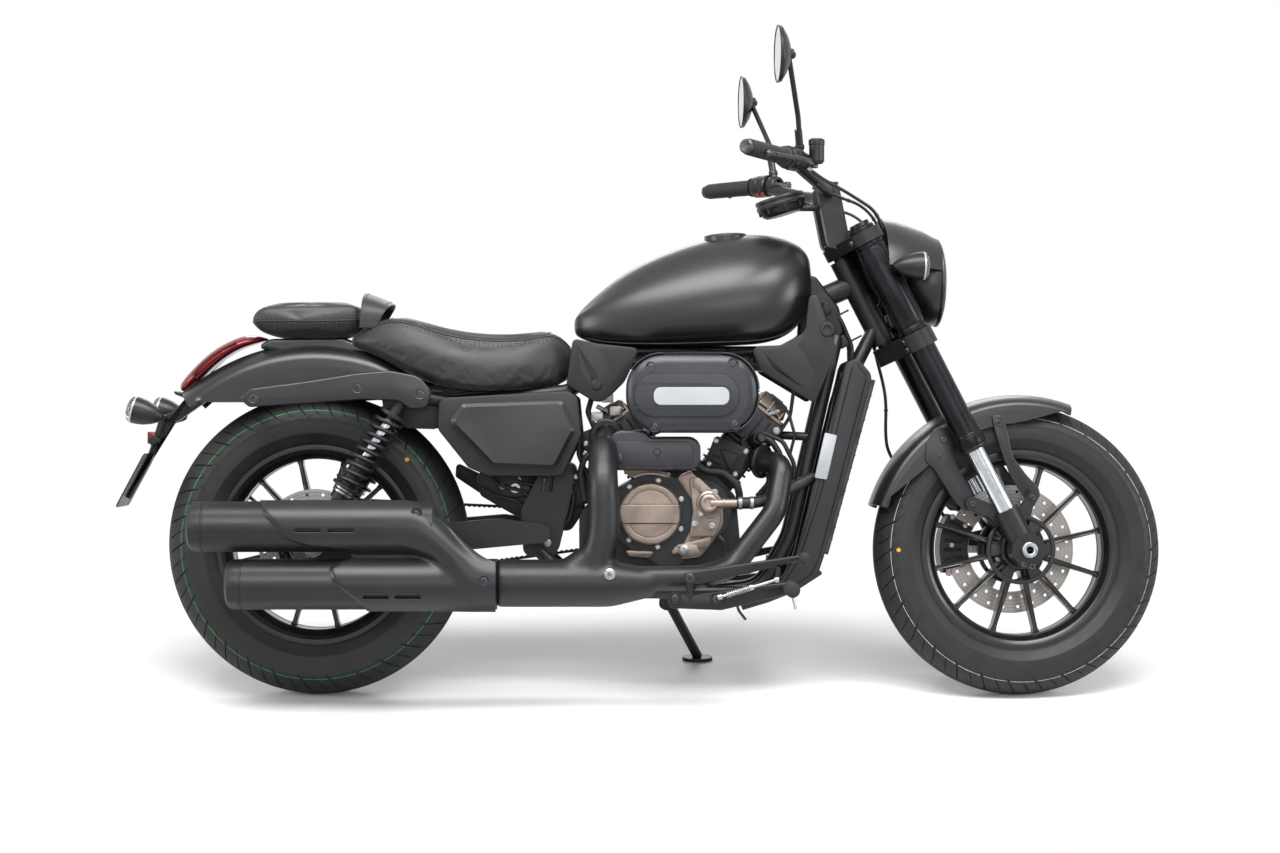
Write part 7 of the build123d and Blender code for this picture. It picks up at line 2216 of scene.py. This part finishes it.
def foot_controls():
    """Forward foot controls: brackets with sunk bolts, blade pedals, pegs, links, springs and toe pads."""
    bm = bmesh.new()
    for out, inner in ((-1, 240.0), (1, 190.0)):
        bracket = [(56, 226), (60, 202), (170, 198), (330, 236), (330, 258), (120, 232)]
        plate(bm, bracket, [16, 14, 14, 14, 12, 30], out * inner, out * (inner + 12), soft=3)
        plate(bm, [(62, 220), (64, 206), (166, 204), (172, 216), (160, 226), (72, 232)],
            [8, 8, 8, 6, 8, 10], out * (inner + 11), out * (inner + 15), soft=2)
        for x, z in ((110, 216), (160, 214)):
            tube(bm, [(x, out * 80, z), (x, out * (inner + 2), z)], 11, 0, 24)
        # peg: a steel core in ribbed rubber, with a feeler under its end
        tube(bm, [(312, out * (inner + 6), 246), (312, out * (inner + 30), 246)], 11, 0, 24)
        rows = [(30, 11), (31, 15)]
        for k in range(8):
            rows += [(34 + k * 10, 15.5), (36 + k * 10, 13.4), (40 + k * 10, 13.4), (42 + k * 10, 15.5)]
        rows += [(117, 15), (119, 12), (119, 0.1)]
        lathe(bm, axes((312, out * inner, 246), (0, out, 0), (0, 0, 1)), rows, 32, finish=2, closed=False)
        tube(bm, [(312, out * (inner + 112), 234), (318, out * (inner + 114), 208)], 3.4, 0, 12, 1)
        # pedal blade, its pivot, toe peg and pad
        pedal = [(89, 258), (120, 252), (345, 304), (351, 316), (120, 282), (92, 276)]
        plate(bm, pedal, [6, 30, 8, 8, 40, 6], out * (inner + 14), out * (inner + 24), soft=4, soft_steps=3)
        tube(bm, [(104, out * (inner + 6), 218), (104, out * (inner + 16), 266)], 9, 0, 24)
        tube(bm, [(340, out * (inner + 18), 308), (340, out * (inner + 30), 308)], 8, 0, 20)
        toe = [(28, 8), (29, 11)]
        for k in range(5):
            toe += [(32 + k * 8, 11.5), (33.5 + k * 8, 9.8), (37 + k * 8, 9.8), (38.5 + k * 8, 11.5)]
        toe += [(72, 11), (74, 8), (74, 0.1)]
        lathe(bm, axes((340, out * inner, 308), (0, out, 0), (0, 0, 1)), toe, 28, finish=2, closed=False)
        # link to the pedal with its spring, ball ends and lock nuts
        start, end = Vector((166, out * (inner + 18), 226)), Vector((284, out * (inner + 18), 262))
        tube(bm, [start, end], 3.2, 0, 12, 1)
        coil_spring(bm, start.lerp(end, 0.12), start.lerp(end, 0.5), 6.2, 1.2, 11, 1)
        for p in (start, end, start.lerp(end, 0.55)):
            turned(bm, axes(p, end - start, (0, 0, 1)), [(-5, 0.1), (-5, 6.5), (5, 6.5), (5, 0.1)],
                [0, 1.5, 1.5, 0], 18, finish=1)
        tube(bm, [end, end + Vector((4, 0, 26))], 5, 0, 14)
        tube(bm, [start, start - Vector((0, 0, 14))], 5, 0, 14)
        # folding feeler seen below the bracket
        tube(bm, [(199, out * (inner + 6), 216), (206, out * (inner + 8), 196),
            (220, out * (inner + 8), 178)], 3, 8, 12)
    piece("foot_controls", bm, "frame", [powder_coat, plated_steel, grip_rubber], ("foot_controls",))
    bm = bmesh.new()
    for out, inner in ((-1, 255.0), (1, 205.0)):
        for x, z in ((73, 224), (159, 222)):
            spot = axes((x, out * inner, z), (0, out, 0), (1, 0, 0))
            turned(bm, spot, [(-1, 9), (1.4, 9), (2.4, 10.2), (2.4, 12), (-1, 13)], 0.3, 36, finish=1)
            bolts(bm, [spot], 8, 3.4)
        bolts(bm, [(104, out * (inner + 12), 266)], 9, 5, direction=(0, out, 0))
    piece("foot_bolts", bm, "frame", [black_screw, powder_coat])


def stand_nut():
    """The nut on the side stand's pivot, square to the tilted hinge."""
    bm = bmesh.new()
    bolts(bm, [(60, 142, 206)], 9, 6, hexagon=False, direction=(0, 0.8357, 0.5492))
    piece("stand_nut", bm, "frame", [plated_steel])


shock_details()
chassis_bolts()
belt_teeth()
foot_controls()
stand_nut()


# ---------------------------------------------------------------- hoses and cables at the bars
BRAKE_HOSE = [(330, -212, 1116), (366, -186, 1094), (412, -152, 1077), (456, -116, 1058)] + [
    on_fork(up, ahead, left) for ahead, left, up in [
        (48, -92, 790), (46, -74, 742), (38, -52, 690), (4, -22, 646), (-10, 22, 612), (-34, 56, 584),
        (-56, 66, 552), (-70, 64, 504), (-82, 58, 452), (-96, 62, 408), (-127, 72, 350), (-140, 83, 308),
        (-127, 94, 228)]] + [(656, 92, 436), (666, 90, 394), (692, 88, 360)]
SWITCH_CABLE = [(352, -150, 1097), (384, -134, 1072), (424, -106, 1061), (464, -80, 1052), (496, -62, 1028),
    (516, -50, 992), (530, -40, 956), (546, -28, 924)]
routes = []


def hose(name, route, radius, replaces=()):
    """One smooth hose; its ends go into the switch housing, the lamp and the caliper."""
    points = [STEERED @ Vector(point) for point in route]
    curve = bpy.data.curves.new(name, "CURVE")
    curve.dimensions = "3D"
    spline = curve.splines.new("NURBS")
    spline.points.add(len(points) - 1)
    for point, place in zip(spline.points, points):
        point.co = (*place, 1)
    spline.order_u = 3
    spline.use_endpoint_u = True
    spline.resolution_u = 8
    made = linked(name, curve)
    line = bpy.data.meshes.new_from_object(made)
    routes.append([vert.co.copy() for vert in line.vertices])
    curve.bevel_depth = radius * MM
    curve.bevel_resolution = 4
    curve.use_fill_caps = True
    curve.materials.append(hose_rubber)
    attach(made, "steering")
    if replaces:
        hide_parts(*replaces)


hose("brake_hose", BRAKE_HOSE, 3.6, ["front_hoses"])
for side, name in ((1, "switch_cable_right"), (-1, "switch_cable_left")):
    hose(name, [(x, side * y, z) for x, y, z in SWITCH_CABLE], 3.2)


def ties(bm, line, radius, at):
    """Cable ties and crimped ends round a hose, at their distances along it."""
    gone = 0.0
    for a, b in zip(line, line[1:]):
        step = (b - a).length / MM
        for distance, half, proud, finish in at:
            if gone <= distance < gone + step:
                place = axes(a.lerp(b, (distance - gone) / step) / MM, b - a)
                rows = [(-half, radius), (-half * 0.8, radius + proud), (half * 0.8, radius + proud),
                    (half, radius)]
                lathe(bm, place, rows, 20, finish=finish, closed=False)
        gone += step


fittings = bmesh.new()
ties(fittings, routes[0], 3.4, [(9, 9, 1.4, 1), (230, 3, 1.0, 0), (420, 3, 1.0, 0), (560, 3, 1.0, 0),
    (700, 3, 1.0, 0), (840, 3, 1.0, 0), (880, 3, 1.0, 0), (966, 9, 1.6, 1)])
for line in routes[1:]:
    ties(fittings, line, 3.0, [(8, 8, 1.6, 0), (110, 3, 1.0, 0), (190, 3, 1.0, 0), (268, 3, 1.0, 0)])
piece("hose_fittings", fittings, "steering", [black_plastic, plated_steel],
      place=Matrix.Scale(MM, 4))
# ---------------------------------------------------------------- frame tubes, wiring and small engine parts
def down_tubes():
    """The frame's front tubes behind the radiator, the spine box under the tank and what hangs on them."""
    bm = bmesh.new()
    for out in (-1, 1):
        tube(bm, [(424, out * 30, 770), (406, out * 60, 700), (322, out * 64, 340), (262, out * 64, 232),
            (130, out * 64, 214)], 14.5, [60, 120, 70], 20)
        tube(bm, [(372, out * 62, 556), (300, out * 40, 560)], 9, around=14)
    plate(bm, [(-110, 700), (-96, 752), (318, 752), (344, 716), (300, 694), (200, 704), (40, 704)],
        [10, 14, 14, 16, 30, 20, 20], -36, 36, soft=6, soft_steps=3)
    for x in (10, 70, 130, 190, 250):
        tube(bm, [(x, -36, 712), (x, -42, 716), (x, -42, 744), (x, -36, 748)], 4, 3, 10)
    piece("spine_and_down_tubes", bm, "frame", [powder_coat])
    bm = bmesh.new()
    # a plug connector, clips and two wire looms along the spine
    for x in (-40, 96, 210):
        plate(bm, [(x, 708), (x + 26, 708), (x + 26, 730), (x, 730)], 3, -44, -62, soft=2)
        plate(bm, [(x + 26, 712), (x + 34, 712), (x + 34, 726), (x + 26, 726)], 2, -46, -60, soft=1)
    tube(bm, [(-120, -58, 726), (-60, -62, 738), (60, -60, 742), (180, -64, 736), (268, -70, 742),
        (330, -70, 720)], 6, 40, 12)
    tube(bm, [(-100, -50, 702), (-20, -60, 716), (90, -58, 726), (200, -60, 722), (300, -72, 700)], 4.5, 40,
        12)
    tube(bm, [(300, -72, 700), (330, -70, 660), (322, -66, 600), (296, -60, 560)], 4, 30, 10)
    tube(bm, [(286, -66, 640), (318, -74, 610), (332, -70, 560), (322, -64, 520)], 3.4, 26, 10)
    tube(bm, [(262, -64, 566), (306, -70, 548), (330, -68, 500), (330, -62, 452)], 5, 30, 12)
    tube(bm, [(236, -70, 520), (268, -78, 500), (276, -74, 460), (250, -66, 430)], 4, 22, 10)
    tube(bm, [(-150, -70, 640), (-128, -76, 590), (-132, -70, 520), (-112, -66, 470)], 5, 30, 12)
    tube(bm, [(-168, -60, 470), (-140, -66, 430), (-150, -62, 380), (-178, -60, 350)], 4, 26, 10)
    piece("wire_looms", bm, "frame", [hose_rubber], sharp=50)


def head_details():
    """Relief panels, sensors and screws on the cylinders' right sides."""
    bm = bmesh.new()
    panel = [(161, 560), (238, 530), (206, 466), (136, 497)]
    plate(bm, panel, 8, -78, -92, soft=2.5)
    plate(bm, [(166, 536), (212, 518), (192, 480)], 5, -90, -97, soft=3)
    for a, b in (((150, 506), (176, 496)), ((156, 518), (172, 512))):
        tube(bm, [(a[0], -92, a[1]), (b[0], -92, b[1])], 2.2, around=10)
    # thermostat and a knock sensor
    turned(bm, axes((250, -86, 552), (0.5, -0.8, 0.2)), [(-20, 0.1), (-20, 13), (6, 13), (8, 10), (20, 10),
        (20, 0.1)], [0, 2, 2, 1, 2, 0], 28)
    plate(bm, [(232, 486), (262, 474), (272, 500), (242, 512)], 5, -66, -88, soft=3)
    plate(bm, [(-126, 566), (-74, 586), (-66, 520), (-128, 500)], 10, 56, -60, soft=4)
    plate(bm, [(-120, 548), (-84, 562), (-80, 528), (-122, 514)], 6, -58, -68, soft=3)
    plate(bm, [(-150, 480), (-96, 492), (-92, 420), (-150, 400)], 12, 50, -54, soft=5)
    piece("head_panels", bm, "frame", [cast_grey])
    bm = bmesh.new()
    places = [(162, -91, 549), (226, -91, 526), (203, -91, 477), (147, -91, 499), (250, -86, 492),
        (-116, -67, 542), (-88, -67, 552), (-118, -67, 520), (-138, -54, 470), (-106, -54, 432)]
    for place in places:
        bolts(bm, [place], 4.6, 3.6, 0, hexagon=False)
    for at, to in (((276, -70, 604), (300, -76, 612)), ((-70, -64, 610), (-92, -70, 622))):
        tube(bm, [at, to], 5, around=12)
    piece("head_screws", bm, "frame", [plated_steel])


def rear_frame_parts():
    """Battery tray, brackets and wiring between the swingarm's pivot and the covers; the inner guard."""
    bm = bmesh.new()
    plate(bm, [(-352, 470), (-330, 500), (-140, 500), (-118, 400), (-150, 352), (-232, 366), (-300, 404),
        (-344, 430)], [10, 16, 16, 30, 20, 20, 20, 14], -46, 46, soft=5)
    plate(bm, [(-322, 470), (-300, 488), (-240, 486), (-232, 430), (-290, 424)], 8, -46, -58, soft=3)
    plate(bm, [(-214, 486), (-150, 486), (-142, 420), (-206, 404)], 8, -46, -56, soft=3)
    for x in (-200, -184, -168):
        tube(bm, [(x, -57, 478), (x + 4, -57, 420)], 3, around=10)
    plate(bm, [(-402, 500), (-340, 470), (-330, 440), (-344, 428), (-404, 468)], 8, 52, 58, soft=2)
    for out in (-1, 1):
        plate(bm, [(-556, 668), (-418, 660), (-420, 590), (-436, 573), (-500, 575), (-546, 604)],
            [12, 10, 16, 12, 30, 30], out * 90, out * 96, soft=2)
        plate(bm, [(-500, 664), (-418, 658), (-420, 632), (-500, 640)], 5, out * 96, out * 101, soft=2)
    piece("rear_frame_parts", bm, "frame", [black_plastic])
    bm = bmesh.new()
    tube(bm, [(-330, -62, 480), (-300, -66, 452), (-250, -64, 440), (-210, -62, 400), (-170, -60, 388)], 4,
        24, 10)
    tube(bm, [(-350, -60, 452), (-310, -64, 430), (-262, -62, 420), (-240, -62, 380)], 3.2, 20, 10)
    tube(bm, [(-280, -62, 498), (-262, -66, 460), (-222, -64, 452), (-160, -62, 470), (-130, -62, 452)],
        3.6, 20, 10)
    tube(bm, [(-440, -98, 650), (-400, -104, 646), (-350, -100, 652), (-300, -96, 650)], 3.6, 20, 10)
    piece("rear_wiring", bm, "frame", [hose_rubber], sharp=50)
    bm = bmesh.new()
    bolts(bm, [(-262, -59, 466), (-296, -59, 450), (-176, -57, 474), (-156, -57, 440), (-230, -47, 388)],
        5.2, 4, hexagon=False)
    turned(bm, axes((-268, -58, 446), (0, -1, 0), (1, 0, 0)), [(0, 4), (0, 11), (5, 11), (5, 4)], 1, 24)
    piece("rear_frame_screws", bm, "frame", [plated_steel])


def neck():
    """The cast neck behind the head tube, the looms that pass it, the seat's pan and the rear reflector."""
    def by_stem(height, back, y):
        return on_fork(height, -FORK_OFFSET - back, y)

    bm = bmesh.new()
    plate(bm, [(340, 760), (352, 908), (380, 902), (430, 836), (440, 782), (420, 746)],
        [0, 10, 16, 30, 16, 16], -30, 30, soft=6, soft_steps=3)
    for height in (560, 640):
        plate(bm, [(p.x, p.z) for p in (by_stem(height, 92, 0), by_stem(height, 70, 0),
            by_stem(height + 26, 70, 0), by_stem(height + 26, 92, 0))], 5, -30, -38, soft=2)
    piece("frame_neck", bm, "frame", [powder_coat])
    bm = bmesh.new()
    for k, y in enumerate((-26, -15, -4, 8, 20)):
        back = 62 + 4 * (k % 2)
        tube(bm, [by_stem(716, back + 12, y), by_stem(672, back + 3, y + 3), by_stem(610, back, y - 2),
            by_stem(556, back + 4, y + 2), by_stem(520, back + 22, y)], 4.6, 40, 12)
    for height in (690, 628, 566):
        slab(bm, axes(by_stem(height, 66, -3), LEG, (0, 1, 0)), -2, 2, 62, 15, 5, soft=0.8)
    piece("neck_looms", bm, "frame", [hose_rubber], sharp=50)
    bm = bmesh.new()
    plate(bm, [(-452, 668), (-150, 668), (-160, 634), (-392, 632), (-446, 650)], [8, 8, 10, 20, 10], -86,
        86, soft=5)
    piece("seat_pan", bm, "frame", [black_plastic])
    bm = bmesh.new()
    plate(bm, [(-16, 541), (16, 541), (16, 567), (-16, 567)], 4, -1048, -1066, "X", soft=2)
    piece("rear_reflector", bm, "frame", [red_lens])


down_tubes()
head_details()
rear_frame_parts()
neck()


# ---------------------------------------------------------------- camera, lights and floor
def aimed(made, at):
    made.rotation_euler = (Vector(at) - made.location).to_track_quat("-Z", "Y").to_euler()


def camera():
    """Square to the leaning motorcycle, six metres off its right side."""
    lens_data = bpy.data.cameras.new("side view")
    lens_data.lens, lens_data.sensor_width, lens_data.sensor_fit = 77.8, 36.0, "HORIZONTAL"
    lens_data.shift_y = -17.5 / 1280
    made = linked("side view", lens_data)
    eye = PARK @ Vector((0, -6000, 616.3))
    made.matrix_world = Matrix.Translation(eye) @ LEANING @ Matrix.Rotation(pi / 2, 4, "X")
    bpy.context.scene.camera = made


def soft_light(name, at, target, size, power, size_y=None):
    data = bpy.data.lights.new(name, "AREA")
    data.shape, data.size, data.size_y = "RECTANGLE", size, size_y or size
    data.energy = power
    made = linked(name, data)
    made.location = at
    aimed(made, target)


def directly_seen(tree):
    """1 for rays of the camera, of gloss and through glass, 0 for those that light matt surfaces."""
    rays = add(tree, "ShaderNodeLightPath").outputs
    seen = add(tree, "ShaderNodeMath", {0: rays["Is Camera Ray"], 1: rays["Is Glossy Ray"]},
        operation="MAXIMUM")
    return add(tree, "ShaderNodeMath", {0: seen.outputs[0], 1: rays["Is Transmission Ray"]},
        operation="MAXIMUM")


def world_light():
    """A white room for the eye, glass and gloss, and a dimmer one for the light on matt surfaces."""
    world = bpy.data.worlds.new("white studio")
    bpy.context.scene.world = world
    world.use_nodes = True
    tree = world.node_tree
    tree.nodes.clear()
    seen = directly_seen(tree)
    white = add(tree, "ShaderNodeBackground", values={"Color": (1, 1, 1, 1), "Strength": 1.0})
    fill = add(tree, "ShaderNodeBackground", values={"Color": (1, 1, 1, 1), "Strength": 0.25})
    both = add(tree, "ShaderNodeMixShader", {0: seen.outputs[0], 1: fill.outputs[0], 2: white.outputs[0]})
    add(tree, "ShaderNodeOutputWorld", {"Surface": both.outputs[0]})


def floor():
    """White studio floor: it keeps the soft shadow near the wheels and runs out to plain white."""
    bm = bmesh.new()
    ring = [bm.verts.new((x, y, 0)) for x, y in ((-30, -30), (30, -30), (30, 30), (-30, 30))]
    bm.faces.new(ring)
    mesh = bpy.data.meshes.new("floor")
    bm.to_mesh(mesh)
    bm.free()
    made = linked("floor", mesh)
    paint, tree, shader = surface("white studio floor", "f2f2f2", 0.6)
    vary(tree, shader, grain(tree, 900), "f5f5f5", "efefef", (0.55, 0.65))
    squashed = add(tree, "ShaderNodeMapping", {"Vector": place_of(tree)}, {"Scale": (0.42, 0.75, 1)})
    far = add(tree, "ShaderNodeVectorMath", {0: squashed.outputs[0]}, operation="LENGTH")
    fade = add(tree, "ShaderNodeMapRange", {"Value": far.outputs["Value"]},
        {"From Min": 0.30, "From Max": 0.95}, interpolation_type="SMOOTHSTEP")
    seen = directly_seen(tree)
    both = add(tree, "ShaderNodeMath", {0: fade.outputs["Result"], 1: seen.outputs[0]}, operation="MULTIPLY")
    glow = add(tree, "ShaderNodeEmission", values={"Color": (1, 1, 1, 1), "Strength": 1.0})
    mixed = add(tree, "ShaderNodeMixShader", {0: both.outputs[0], 1: shader.outputs[0], 2: glow.outputs[0]})
    tree.links.new(mixed.outputs[0], tree.nodes["Material Output"].inputs["Surface"])
    mesh.materials.append(paint)


camera()
world_light()
floor()
soft_light("overhead bank", (0.0, -1.5, 3.4), (0, 0, 0.5), 4.2, 260, 1.5)
soft_light("camera side bank", (0.6, -5.5, 2.6), (0, 0, 0.6), 4.0, 60, 1.4)
soft_light("front bank", (4.2, -1.6, 1.6), (0.4, 0, 0.6), 1.4, 60)
soft_light("rear bank", (-4.2, -1.6, 1.6), (-0.4, 0, 0.6), 1.4, 60)
soft_light("far side bank", (0, 4.8, 2.6), (0, 0, 0.6), 3.6, 70, 1.6)
bpy.context.scene.view_settings.view_transform = "Standard"
